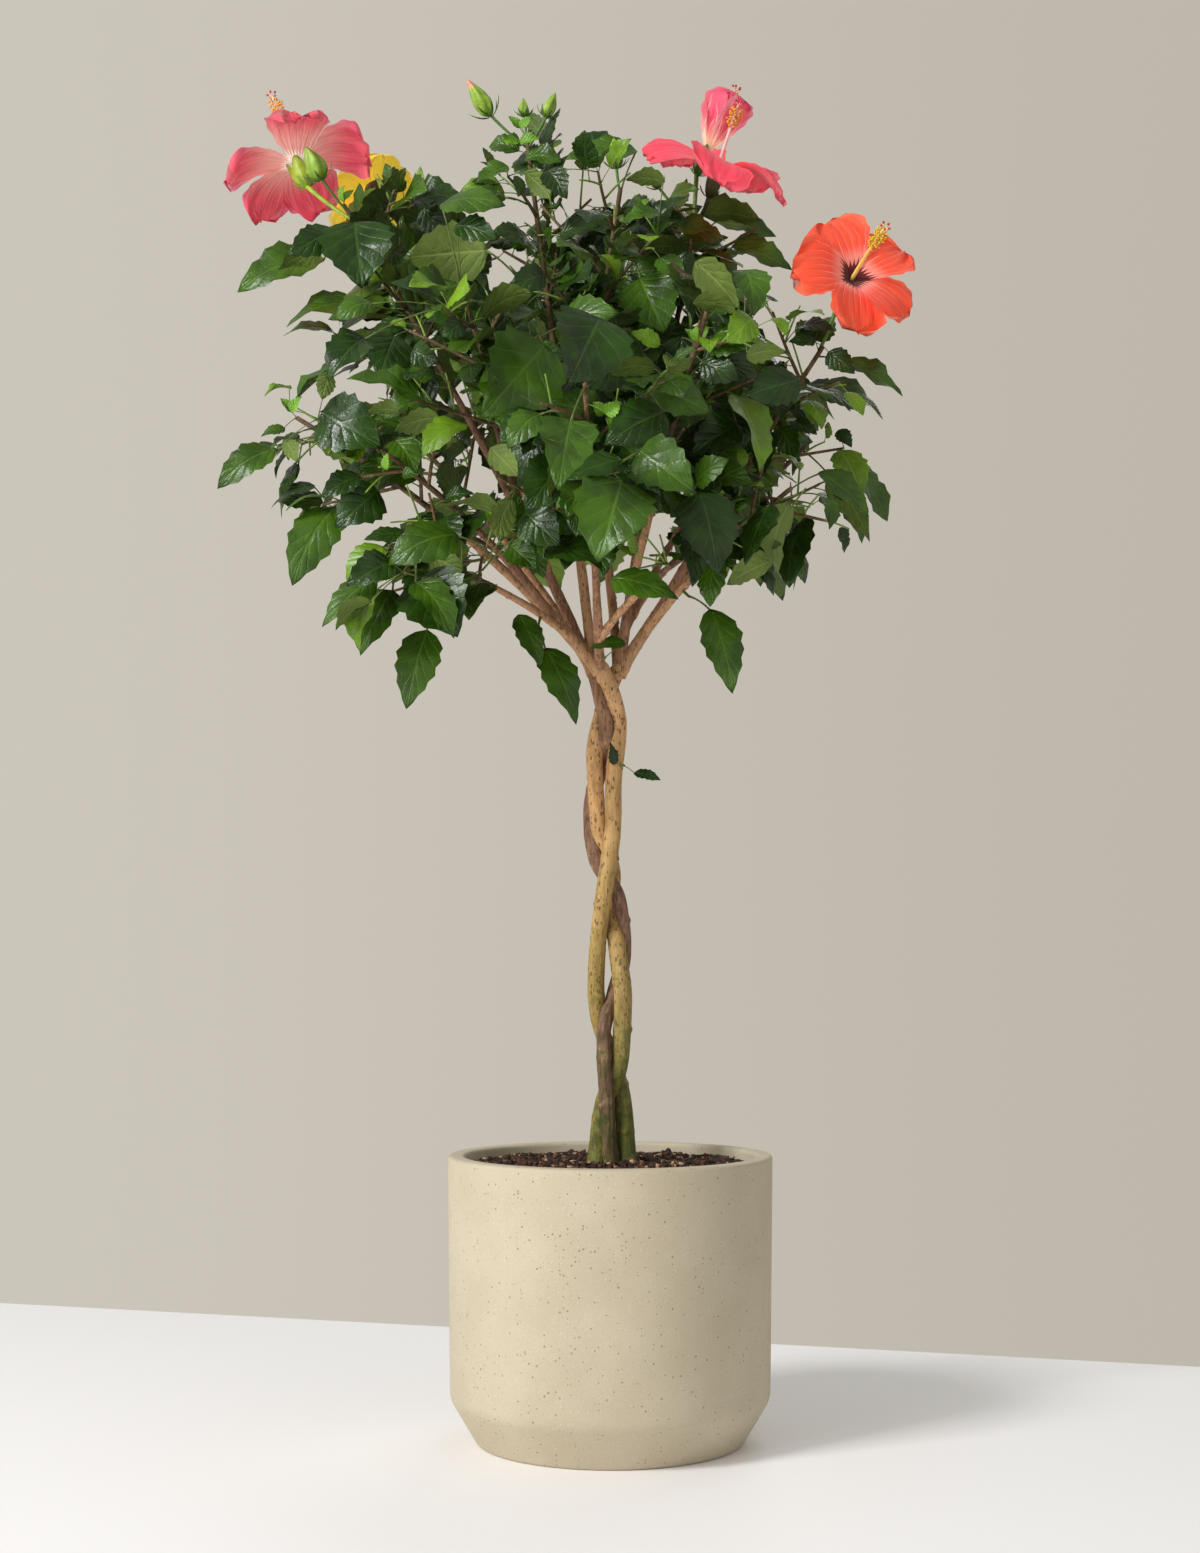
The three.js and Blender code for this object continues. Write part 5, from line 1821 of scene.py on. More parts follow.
class Bench:
    """Places and joins the nodes of one tree."""

    def __init__(self, tree: bpy.types.NodeTree) -> None:
        """Works on a tree."""
        self.tree = tree

    def feed(self, socket: bpy.types.NodeSocket, value: object) -> None:
        """Links a socket, or sets a plain value.

        Args:
            socket: the socket to feed.
            value: a value of this bench, or a plain one.
        """
        if isinstance(value, Value):
            self.tree.links.new(value.socket, socket)
        else:
            socket.default_value = value

    def put(self, kind: str, inputs: dict | None = None, output: int | str = 0, **settings: object) -> Value:
        """Places a shader node, sets it up, feeds its inputs by name or number and gives one output.

        Args:
            kind: the node's type.
            inputs: what feeds its sockets.
            output: the name or number of the output wanted.
            **settings: properties of the node to set.

        Returns:
            That output.
        """
        made = self.tree.nodes.new(f"ShaderNode{kind}")
        for name, value in settings.items():
            setattr(made, name, value)
        for key, value in (inputs or {}).items():
            self.feed(made.inputs[key], value)
        return Value(self, made.outputs[output])

    def place(self) -> Value:
        """Places in object space."""
        return self.put("TexCoord", output="Object")

    def uv(self) -> Value:
        """Places on the UV map."""
        return self.put("UVMap", uv_map="UVMap")

    def math(self, operation: str, a: object, b: object = 0.0) -> Value:
        """One sum of two values."""
        return self.put("Math", {0: a, 1: b}, operation=operation)

    def step(self, value: object, low: float, high: float) -> Value:
        """A soft step of a value from low to high."""
        return self.put("MapRange", {"Value": value, "From Min": low, "From Max": high},
                        interpolation_type="SMOOTHSTEP")

    def comb(self, value: Value) -> Value:
        """The size of the sine of pi times a value, which is 0 at each whole number."""
        return self.math("ABSOLUTE", self.math("SINE", value * math.pi))

    def blend(self, share: object, first: object, second: object, way: str = "MIX") -> Value:
        """Two colours mixed by a share."""
        return self.put("Mix", {0: share, 6: first, 7: second}, 2, data_type="RGBA", blend_type=way)

    def noise(self, where: Value, scale: float, detail: float = 3.0, rough: float = 0.55) -> Value:
        """A soft noise value from 0 to 1."""
        return self.put("TexNoise", {"Vector": where, "Scale": scale, "Detail": detail, "Roughness": rough})

    def stretched(self, where: Value, scale: Triple) -> Value:
        """Coordinates multiplied along each axis."""
        return self.put("Mapping", {"Vector": where, "Scale": scale})

    def bump(self, height: Value, distance: float) -> Value:
        """A normal from a height."""
        return self.put("Bump", {"Height": height, "Distance": distance, "Strength": 1.0})

    def flecks(self, where: Value, scale: float, size: float) -> Value:
        """The flecks of the fleck group, whose other output is its blotches."""
        inputs = {"Place": where, "Scale": scale, "Size": size}
        return self.put("Group", inputs, "Flecks", node_tree=fleck_group())


def group_of(name: str, numbers: dict[str, float], outputs: Sequence[str],
             fill: Callable[..., tuple[Value, ...]]) -> bpy.types.NodeTree:
    """A shader node group with a vector input and named numbers, built once.

    Args:
        name: the group's name.
        numbers: the numbers it takes and their first values.
        outputs: the names of the values it puts out.
        fill: places the nodes from the inputs to the outputs.

    Returns:
        The group, the old one if it was built before.
    """
    if name in bpy.data.node_groups:
        return bpy.data.node_groups[name]
    tree = bpy.data.node_groups.new(name, "ShaderNodeTree")
    tree.interface.new_socket("Place", in_out="INPUT", socket_type="NodeSocketVector")
    for key, value in numbers.items():
        tree.interface.new_socket(key, in_out="INPUT", socket_type="NodeSocketFloat").default_value = value
    for key in outputs:
        tree.interface.new_socket(key, in_out="OUTPUT", socket_type="NodeSocketFloat")
    bench = Bench(tree)
    taken, given = tree.nodes.new("NodeGroupInput"), tree.nodes.new("NodeGroupOutput")
    values = fill(bench, *(Value(bench, taken.outputs[key]) for key in ("Place", *numbers)))
    for key, value in zip(outputs, values):
        bench.feed(given.inputs[key], value)
    return tree


def vein_group() -> bpy.types.NodeTree:
    """Leaf veins on a UV map: a midrib, and side veins that run forward from it to the margin.

    Returns:
        The node tree.
    """

    def fill(bench: Bench, place: Value, count: Value, slant: Value) -> tuple[Value, Value]:
        """Side veins lie where (along - slant times out) times count is near a whole number."""
        x = bench.put("SeparateXYZ", {0: place})
        out = bench.math("ABSOLUTE", (x - 0.5) * 2.0)
        wave = bench.comb((x.also(1) - out * slant) * count + out * out)
        side = (1.0 - bench.step(wave, 0.02, 0.3)) * (0.5 - out * 0.45)
        rib = 1.0 - bench.step(out, 0.01, 0.06)
        quilt = bench.math("POWER", wave, 0.5) * bench.step(out, 0.0, 0.16)
        net = bench.put("TexVoronoi", {"Vector": bench.stretched(place, (17.0, 23.0, 1.0)), "Scale": 1.0})
        return bench.math("MAXIMUM", side, rib), quilt + (0.6 - net) * 0.35

    return group_of("leaf_veins", {"Count": 5.6, "Slant": 0.48}, ("Veins", "Swell"), fill)


def fleck_group() -> bpy.types.NodeTree:
    """Small scattered flecks and soft blotches in object space.

    Returns:
        The node tree.
    """

    def fill(bench: Bench, place: Value, scale: Value, size: Value) -> tuple[Value, Value]:
        """Flecks are the hearts of cells of random size; blotches are a soft noise."""
        cells = bench.put("TexVoronoi", {"Vector": place, "Scale": scale})
        reach = bench.math("POWER", bench.put("SeparateColor", {0: cells.also("Color")}), 3.0) * size
        return bench.step(reach - cells, 0.0, 0.06), bench.noise(place, 14.0, 4.0)

    return group_of("flecks", {"Scale": 300.0, "Size": 0.35}, ("Flecks", "Blotches"), fill)


@dataclass(frozen=True)
class Finish:
    """A material with one Principled shader. Each kind says what feeds the shader."""

    name: str

    def inputs(self, bench: Bench) -> dict[str, object]:
        """Places the finish's nodes and gives what feeds each of the shader's inputs."""
        raise NotImplementedError

    def dress(self) -> bpy.types.Material:
        """The material, with its shader fed, or the old one if it was made before.

        Returns:
            The material.
        """
        if self.name in bpy.data.materials:
            return bpy.data.materials[self.name]
        material = bpy.data.materials.new(self.name)
        material.use_nodes = True
        shader = next(n for n in material.node_tree.nodes if n.type == "BSDF_PRINCIPLED")
        bench = Bench(material.node_tree)
        for key, value in self.inputs(bench).items():
            bench.feed(shader.inputs[key], value)
        return material


@dataclass(frozen=True)
class LeafFinish(Finish):
    """One face of a leaf: its green, its veins, its gloss and how far it swells between veins."""

    green: Colour
    vein: Colour
    vein_share: float
    roughness: float
    swell: float
    blotch: float = 0.25

    def inputs(self, bench: Bench) -> dict[str, object]:
        """Green with paler veins on the UV map, soft blotches, and a quilted bump.

        Args:
            bench: the bench of the material.

        Returns:
            A value for each socket's name.
        """
        veins = bench.put("Group", {"Place": bench.uv()}, "Veins", node_tree=vein_group())
        place = bench.place()
        blotches = bench.noise(place, 38.0)
        body = bench.blend(bench.step(blotches, 0.35, 0.65), shaded(self.green, 1 - self.blotch), self.green)
        height = veins.also("Swell") + bench.noise(place, 420.0, 4.0) * 0.5
        return {"Base Color": bench.blend(veins * self.vein_share, body, self.vein),
                "Roughness": blotches * (self.roughness * 0.6) + self.roughness * 0.7,
                "Specular IOR Level": 0.4, "Normal": bench.bump(height, self.swell)}


@dataclass(frozen=True)
class BarkFinish(Finish):
    """Bark: its screen colours by height in millimetres, dark flecks, long fibres and its roughness."""

    stops: tuple[tuple[int, int, int, int], ...]
    fleck: Colour
    fleck_share: float = 0.8
    fibre: float = 0.25
    roughness: float = 0.7
    relief: float = 0.0006
    mottle: float = 0.55
    light: Colour = srgb(222, 184, 134)
    moss: Colour = srgb(62, 80, 16)
    moss_share: float = 0.8

    def ramp(self, bench: Bench, height: Value) -> Value:
        """The colours of the stops, from a height in metres.

        Args:
            bench: the bench of the material.
            height: the height in metres.

        Returns:
            The colour.
        """
        (low, *first), *middle, (high, *last) = self.stops
        share = bench.put("MapRange", {"Value": height, "From Min": low * METRES, "From Max": high * METRES})
        ramp = bench.put("ValToRGB", {0: share})
        elements = ramp.socket.node.color_ramp.elements
        elements[0].color, elements[-1].color = srgb(*first), srgb(*last)
        for at, *colour in middle:
            elements.new((at - low) / (high - low)).color = srgb(*colour)
        return ramp

    def inputs(self, bench: Bench) -> dict[str, object]:
        """A ramp of colours over the height, mottled, mossy near the ground, with flecks and fibres.

        Args:
            bench: the bench of the material.

        Returns:
            A value for each socket's name.
        """
        place = bench.place()
        height = bench.put("SeparateXYZ", {0: place}, 2)
        ramp = self.ramp(bench, height + (bench.noise(place, 22.0, 4.0) - 0.5) * 0.14)
        flecks = bench.flecks(bench.stretched(place, (1.0, 1.0, 0.45)), 520.0, 0.66)
        fibres = bench.noise(bench.stretched(place, (420.0, 420.0, 26.0)), 1.0, 4.0)
        patches = bench.noise(bench.stretched(place, (95.0, 95.0, 48.0)), 1.0, 5.0, 0.68)
        grey = bench.blend(1.0, ramp, srgb(190, 176, 140), "MULTIPLY")
        body = bench.blend(bench.step(patches, 0.5, 0.66) * self.mottle, ramp, grey)
        body = bench.blend(bench.step(patches, 0.46, 0.34) * (self.mottle * 0.5), body, self.light)
        low_down = 1.0 - bench.step(height, 0.24, 0.5)
        moss = bench.step(bench.noise(place, 55.0, 5.0, 0.7), 0.46, 0.6) * low_down
        body = bench.blend(moss * self.moss_share, body, self.moss)
        body = bench.blend(bench.step(fibres, 0.35, 0.7) * self.fibre, body, shaded(self.fleck, 0.45))
        return {"Base Color": bench.blend(flecks * self.fleck_share, body, self.fleck),
                "Roughness": self.roughness, "Specular IOR Level": 0.35,
                "Normal": bench.bump(fibres + patches + flecks * 0.5, self.relief)}


@dataclass(frozen=True)
class PetalFinish(Finish):
    """A petal: its colour, its eye, the pale rays that run out from it, its margin, and a painted glow."""

    main: Colour
    eye: Colour
    ray: Colour
    margin: Colour
    eye_reach: float = 0.16
    ray_reach: float = 0.6
    ray_share: float = 0.8
    roughness: float = 0.55
    glow: float = 0.1
    rays: float = 7.0
    ray_width: float = 0.4
    rib_shade: float = 0.75
    halo: float = 0.22
    line_share: float = 1.0

    def inputs(self, bench: Bench) -> dict[str, object]:
        """Colours laid along the petal's UV map, with fine ribs that run to its margin.

        Args:
            bench: the bench of the material.

        Returns:
            A value for each socket's name.
        """
        uv, reach = bench.uv(), self.eye_reach
        x = bench.put("SeparateXYZ", {0: uv})
        along = x.also(1)
        ribs = bench.noise(bench.stretched(uv, (34.0, 2.2, 1.0)), 1.0)
        soft = bench.noise(bench.stretched(uv, (3.0, 2.0, 1.0)), 1.0, 2.0)
        comb = bench.comb(x * self.rays + soft * 1.3)
        fade = 1.0 - bench.step(along, reach, self.ray_reach)
        lines = (1.0 - bench.step(comb, 0.0, self.ray_width)) * fade
        near = 1.0 - bench.step(along, reach, reach + self.halo)
        rays = bench.math("MAXIMUM", lines * self.line_share, near * (ribs * 1.2 - 0.1)) * self.ray_share
        body = bench.blend(bench.step(ribs, 0.3, 0.75), shaded(self.main, self.rib_shade), self.main)
        body = bench.blend(bench.step(along + soft * 0.3, 0.95, 1.2) * 0.8, body, self.margin)
        body = bench.blend(rays, body, self.ray)
        eye = 1.0 - bench.step(along + (comb - 0.5) * 0.1, reach * 0.9, reach * 1.06)
        colour = bench.blend(eye, body, self.eye)
        # The petal also emits its own colour at the glow's strength: a painted glow that stands in for light
        # shining through it.
        return {"Base Color": colour, "Emission Color": colour, "Emission Strength": self.glow,
                "Roughness": self.roughness, "Specular IOR Level": 0.3, "Sheen Weight": 0.15,
                "Subsurface Weight": 0.25, "Subsurface Radius": (1.0, 0.5, 0.4), "Subsurface Scale": 0.008,
                "Normal": bench.bump(ribs + comb * 0.4, 0.001)}


@dataclass(frozen=True)
class PlainFinish(Finish):
    """A small part's finish: a colour with soft mottling and a fine bump."""

    colour: Colour
    shade: float = 0.3
    scale: float = 160.0
    roughness: float = 0.55
    relief: float = 0.0003

    def inputs(self, bench: Bench) -> dict[str, object]:
        """The colour, darkened by a soft noise in object space.

        Args:
            bench: the bench of the material.

        Returns:
            A value for each socket's name.
        """
        mottle = bench.noise(bench.place(), self.scale)
        body = bench.blend(bench.step(mottle, 0.3, 0.7), shaded(self.colour, 1 - self.shade), self.colour)
        return {"Base Color": body, "Roughness": self.roughness, "Specular IOR Level": 0.4,
                "Normal": bench.bump(mottle, self.relief)}


@dataclass(frozen=True)
class CastFinish(Finish):
    """The planter's cast, painted surface: cream with fine speckle, small dark pits, faint blotches and
    painted glints of light.
    """

    cream: Colour = srgb(199, 188, 164)
    shade: Colour = srgb(191, 179, 154)
    pit: Colour = srgb(118, 104, 80)
    glint: Colour = srgb(236, 228, 208)

    def inputs(self, bench: Bench) -> dict[str, object]:
        """Two creams by blotches, speckled by a fine noise, with pits that are dark and sunk.

        Args:
            bench: the bench of the material.

        Returns:
            A value for each socket's name.
        """
        place = bench.place()
        pits = bench.flecks(place, 300.0, 0.3)
        glints = bench.flecks(bench.stretched(place, (1.0, 1.0, 1.1)), 470.0, 0.26)
        grit = bench.noise(place, 1100.0, 4.0, 0.7)
        body = bench.blend(bench.step(pits.also("Blotches"), 0.3, 0.75), self.shade, self.cream)
        body = bench.blend(bench.step(grit, 0.5, 0.7) * 0.3, body, self.pit)
        # Painted highlights: pale flecks in the glint colour stand for glints of light on the cast.
        body = bench.blend(glints * 0.55, body, self.glint)
        return {"Base Color": bench.blend(pits * 0.6, body, self.pit), "Roughness": 0.7,
                "Specular IOR Level": 0.3, "Normal": bench.bump(grit * 0.5 - pits, 0.0004)}


@dataclass(frozen=True)
class FloorFinish(Finish):
    """The studio floor's pale paint."""

    colour: Colour = srgb(252, 250, 250)

    def inputs(self, bench: Bench) -> dict[str, object]:
        """The colour, a little darker in soft patches."""
        soft = bench.noise(bench.place(), 2.0, 2.0)
        return {"Base Color": bench.blend(soft, shaded(self.colour, 0.97), self.colour),
                "Roughness": 0.6, "Specular IOR Level": 0.3}


@dataclass
class Planter:
    """The round planter, turned about its axis."""

    sizes: PotSizes = POT
    segments: int = 144
    arc_steps: int = 7

    def profile(self) -> Array:
        """Radius and height from the underside over the rim to the inner floor, with rounded corners.

        Returns:
            Rows of radius and height in millimetres.
        """
        s = self.sizes
        inner_low = s.waist_height + s.inner_rise
        corners = np.array([
            (1, 0), (s.foot, 0), (s.waist, s.waist_height), (s.rim, s.height), (s.rim - s.wall, s.height),
            (s.inside(inner_low), inner_low), (s.foot - s.wall, s.floor), (1, s.floor)], float)
        rounding = np.array([0, 3.0, 7.0, s.edge, s.edge, 10.0, 10.0, 0])
        rows = [corners[:1]]
        t = np.linspace(0, 1, self.arc_steps)[:, None]
        for before, corner, after, reach in zip(corners[:-2], corners[1:-1], corners[2:], rounding[1:-1]):
            start = corner + unit(before - corner) * reach
            end = corner + unit(after - corner) * reach
            rows.append((1 - t) ** 2 * start + 2 * t * (1 - t) * corner + t * t * end)
        rows.append(corners[-1:])
        return np.concatenate(rows)

    def build(self) -> None:
        """Turns the profile, whose radius is a little uneven above the foot."""
        profile = self.profile()
        angle = round_angles(self.segments)
        radius, height = profile[:, :1], profile[:, 1:]
        uneven = 0.25 * np.sin(3 * angle + height / 37) + 0.18 * np.sin(7 * angle - height / 21)
        radius = radius + np.where(height > 8, uneven, 0) * (radius > 20)
        points = turned(radius, height, angle).reshape(1, -1, 3)
        skin = Skin.stamped(Pattern(len(profile), self.segments), points)
        skin.put_in("planter", [CastFinish("cast_cream")], "pot", "pot")


@dataclass
class SoilBed:
    """Moist potting soil with bark chips lying on it."""

    sizes: PotSizes = POT
    segments: int = 120
    rings: int = 34
    chips: int = 3000
    heaped: float = 8.0
    gap: float = 0.6
    seed: int = 7

    SOIL = PlainFinish("potting_soil", srgb(52, 34, 24), 0.6, 520.0, 0.95, 0.0015)
    BARKS = (
        PlainFinish("chip_dark", srgb(58, 38, 28), 0.45, 300.0, 0.9, 0.0005),
        PlainFinish("chip_red", srgb(92, 58, 40), 0.4, 300.0, 0.85, 0.0005),
        PlainFinish("chip_tan", srgb(128, 88, 58), 0.35, 300.0, 0.85, 0.0005),
        PlainFinish("chip_pale", srgb(186, 152, 118), 0.25, 300.0, 0.85, 0.0004),
    )
    BARK_SHARES = (0.6, 0.24, 0.1, 0.06)

    def top(self, x: Array, y: Array) -> Array:
        """The surface's height: the soil's level plus a sum of waves across x and y, hollow by the rim.

        Args:
            x: places across.
            y: places in depth.

        Returns:
            The heights in millimetres.
        """
        r = np.hypot(x, y)
        bumps = (np.sin(x / 7.3 + 1.1 * np.sin(y / 9.1)) + np.sin(y / 6.1 + 1.4 * np.sin(x / 11.7 + 2))
                 + 0.6 * np.sin((x + y) / 3.7) + 0.6 * np.sin((x - 2 * y) / 5.3 + 1))
        return SOIL_TOP + self.heaped - 1.5 + bumps * 0.8 + 3.0 * np.exp(-((r / 45) ** 2))

    def body(self) -> Skin:
        """The block of soil: its sides follow the planter's inside, and its top is uneven.

        Returns:
            The skin of the block.
        """
        s, gap = self.sizes, self.gap
        low = s.waist_height + s.inner_rise
        top_radius = s.inside(s.height - s.soil_below) - gap
        angle = round_angles(self.segments)
        sides = np.array([(s.foot - s.wall - gap, s.floor + 0.3), (s.inside(low) - gap, low),
                          (top_radius, SOIL_TOP - 6)])
        radius = top_radius * (1 - np.linspace(0, 1, self.rings, endpoint=False))[:, None]
        height = self.top(radius * np.cos(angle), radius * np.sin(angle))
        lofts = [turned(sides[:, :1], sides[:, 1:], angle), turned(radius, height, angle)]
        points = np.concatenate(lofts).reshape(1, -1, 3)
        return Skin.stamped(Pattern(len(sides) + self.rings, self.segments), points)

    def bark_chips(self) -> Skin:
        """Chips as squashed six-sided prisms: each corner is the middle plus random turned offsets.

        Returns:
            One skin of all the chips.
        """
        rng = np.random.default_rng(self.seed)
        n = self.chips
        r = (self.sizes.rim - self.sizes.wall - 7) * np.sqrt(rng.random(n))
        a = rng.random(n) * 2 * math.pi
        x, y = r * np.cos(a), r * np.sin(a)
        long = 1.1 + 3.4 * rng.random(n) ** 2.4
        wide = long * (0.35 + 0.45 * rng.random(n))
        thick = 0.6 + 1.4 * rng.random(n)
        turn = rng.random(n) * 2 * math.pi
        normal = unit(np.stack([rng.normal(0, 0.32, n), rng.normal(0, 0.32, n), np.ones(n)], -1))
        e1 = unit(np.cross(np.stack([-np.sin(turn), np.cos(turn), np.zeros(n)], -1), normal))
        e2 = np.cross(normal, e1)
        ring = np.arange(6) * math.pi / 3
        uneven = 0.75 + 0.5 * rng.random((n, 2, 6))
        level = np.array([-1.0, 1.0])[None, :, None] * thick[:, None, None]
        px = np.cos(ring)[None, None] * long[:, None, None] * uneven
        py = np.sin(ring)[None, None] * wide[:, None, None] * uneven
        middle = np.stack([x, y, self.top(x, y) + thick * 0.6], -1)
        points = (middle[:, None, None] + e1[:, None, None] * px[..., None]
                  + e2[:, None, None] * py[..., None]
                  + normal[:, None, None] * (level * np.ones_like(px))[..., None])
        kinds = rng.choice(range(len(self.BARKS)), n, p=self.BARK_SHARES)
        return Skin.stamped(Pattern(2, 6), points.reshape(n, -1, 3), finish=kinds)

    def build(self) -> None:
        """Puts in the soil and the chips."""
        self.body().put_in("soil_bed", [self.SOIL], "soil", "soil")
        self.bark_chips().put_in("soil_bark_chips", self.BARKS, "soil", "soil")


def old_nodes(angle: Array, z: Array, every: float, half: float, low: float, high: float) -> Array:
    """Rings raised where leaves once grew: a bell over the length, highest on the side of the leaf.

    Args:
        angle: the angle round the wood.
        z: the way along it.
        every: how far apart the rings are.
        half: how far along each one reaches.
        low: its height all round.
        high: what is added on the leaf's side.

    Returns:
        What is added to the radius.
    """
    bell = np.exp(-((z % every - every // 2) / half) ** 2)
    side = np.maximum(0, np.cos(angle - GOLDEN_TURN * np.floor(z / every)))
    return bell * (low + high * side**4)


@dataclass
class PlaitedTrunk:
    """The three stems of the trunk with their bark's relief."""

    rings: int = 260
    sides: int = 36
    cap: float = 5.0
    cap_rings: int = 6

    # The bark's stops run from the olive green of algae at the foot to tan higher up. Two bands are partly
    # painted light: the yellower olive a little above the foot stands for highlights on the stems, and the
    # pale tan at the top is raised to make up for the shade that the crown casts there.
    FINISHES = {
        "stem_brown": BarkFinish("bark_brown", (
            (237, 84, 82, 44), (290, 116, 92, 66), (420, 136, 104, 84), (620, 146, 108, 84),
            (720, 176, 132, 98)), srgb(70, 50, 42), 0.5, 0.5, 0.82, 0.0011),
        "stem_tan": BarkFinish("bark_tan", (
            (237, 70, 90, 30), (285, 128, 126, 48), (340, 142, 130, 64), (470, 178, 144, 86),
            (580, 212, 164, 108), (720, 220, 172, 122)), srgb(98, 70, 48), 0.8, 0.25, 0.6, 0.0008),
        "stem_olive": BarkFinish("bark_olive", (
            (237, 66, 86, 28), (280, 108, 110, 40), (320, 134, 124, 56), (400, 164, 138, 74),
            (540, 186, 150, 90), (640, 214, 166, 110), (720, 222, 172, 124)),
            srgb(92, 70, 44), 0.8, 0.25, 0.58, 0.0008),
    }

    def relief(self, row: StemRow, k: int) -> Callable[[Array, Array], Array]:
        """Low lumps, long ridges and a raised ring at each old node: sines of the angle and the height.

        Args:
            row: the stem's row of the table.
            k: the stem's number.

        Returns:
            What gives the rise for angles and shares along the stem.
        """
        rough = 1.6 if row.name == "stem_brown" else 1.0

        def rise(angle: Array, share: Array) -> Array:
            """What is added to the radius."""
            z = share * (RULE.trunk_top - SOIL_TOP)
            lumps = 0.22 * np.sin(2 * angle + z / 17 + k) + 0.16 * np.sin(3 * angle - z / 9.5 + 2 * k)
            ridges = 0.11 * np.sin(9 * angle + 1.5 * np.sin(z / 13 + k)) + 0.07 * np.sin(14 * angle + z / 6)
            return rough * (lumps + ridges) + old_nodes(angle, z + 11 * k, 41, 2.4, 0.35, 1.3)

        return rise

    def build(self) -> None:
        """Carries each stem's ring along its curve, and rounds its top off above the fork."""
        for k, row in enumerate(STEMS):
            path = stem_curve(row, self.rings - 1)
            rise = np.sin(np.linspace(0.25, 1, self.cap_rings) * math.pi / 2)
            top = path[-1] + UP * self.cap * rise[:, None]
            radius = stem_radius(row, np.linspace(0, 1, self.rings))
            cap = radius[-1] * np.cos(np.linspace(0.25, 0.96, self.cap_rings) * math.pi / 2)
            path, radius = np.concatenate([path, top]), np.concatenate([radius, cap])
            skin = tubes(path[None], radius[None], self.sides, relief=self.relief(row, k))
            skin.put_in(f"trunk_{row.name}", [self.FINISHES[row.name]], row.name, row.name)


@dataclass
class Boughs:
    """The woody limbs, each with a flared foot and its bark's relief."""

    habit: Habit
    rings: int = 56
    sides: int = 18
    flare: float = 1.2
    flare_reach: float = 9

    FINISHES = (
        BarkFinish("bough_tan", ((690, 214, 166, 122), (820, 202, 152, 112), (960, 170, 122, 92),
                                 (1100, 140, 102, 78)), srgb(96, 66, 50), 0.6, 0.35, 0.75, 0.0008),
        BarkFinish("bough_brown", ((690, 186, 138, 104), (820, 164, 118, 92), (960, 138, 98, 78),
                                   (1100, 116, 86, 68)), srgb(76, 52, 42), 0.6, 0.42, 0.8, 0.001),
    )

    def relief(self, k: int, length: float) -> Callable[[Array, Array], Array]:
        """Lumps, ridges and old leaf scars along the limb.

        Args:
            k: the limb's number.
            length: its length in millimetres.

        Returns:
            What gives the rise for angles and shares along the limb.
        """

        def rise(angle: Array, share: Array) -> Array:
            """What is added to the radius."""
            z = share * length
            lumps = 0.16 * np.sin(2 * angle + z / 13 + k) + 0.1 * np.sin(5 * angle + z / 7 - k)
            return lumps + old_nodes(angle, z + 7 * k, 27, 1.8, 0.25, 0.8)

        return rise

    def build(self) -> None:
        """Carries a ring along each limb from its foot to where its leaves start."""
        for name, limb in self.habit.limbs.items():
            share = np.linspace(0, limb.row.woody + LAP, self.rings)
            path = limb.point(share)
            far = np.concatenate([[0], np.cumsum(np.linalg.norm(np.diff(path, axis=0), axis=1))])
            flare = self.flare * np.exp(-far / self.flare_reach)
            radius = limb.radius(np.minimum(share, limb.row.woody)) + flare
            k = limb.index
            skin = tubes(path[None], radius[None], self.sides, k % 2, self.relief(k, far[-1]))
            skin.put_in(f"limb_{name}", self.FINISHES, "bough_bark", f"bough_{name}")


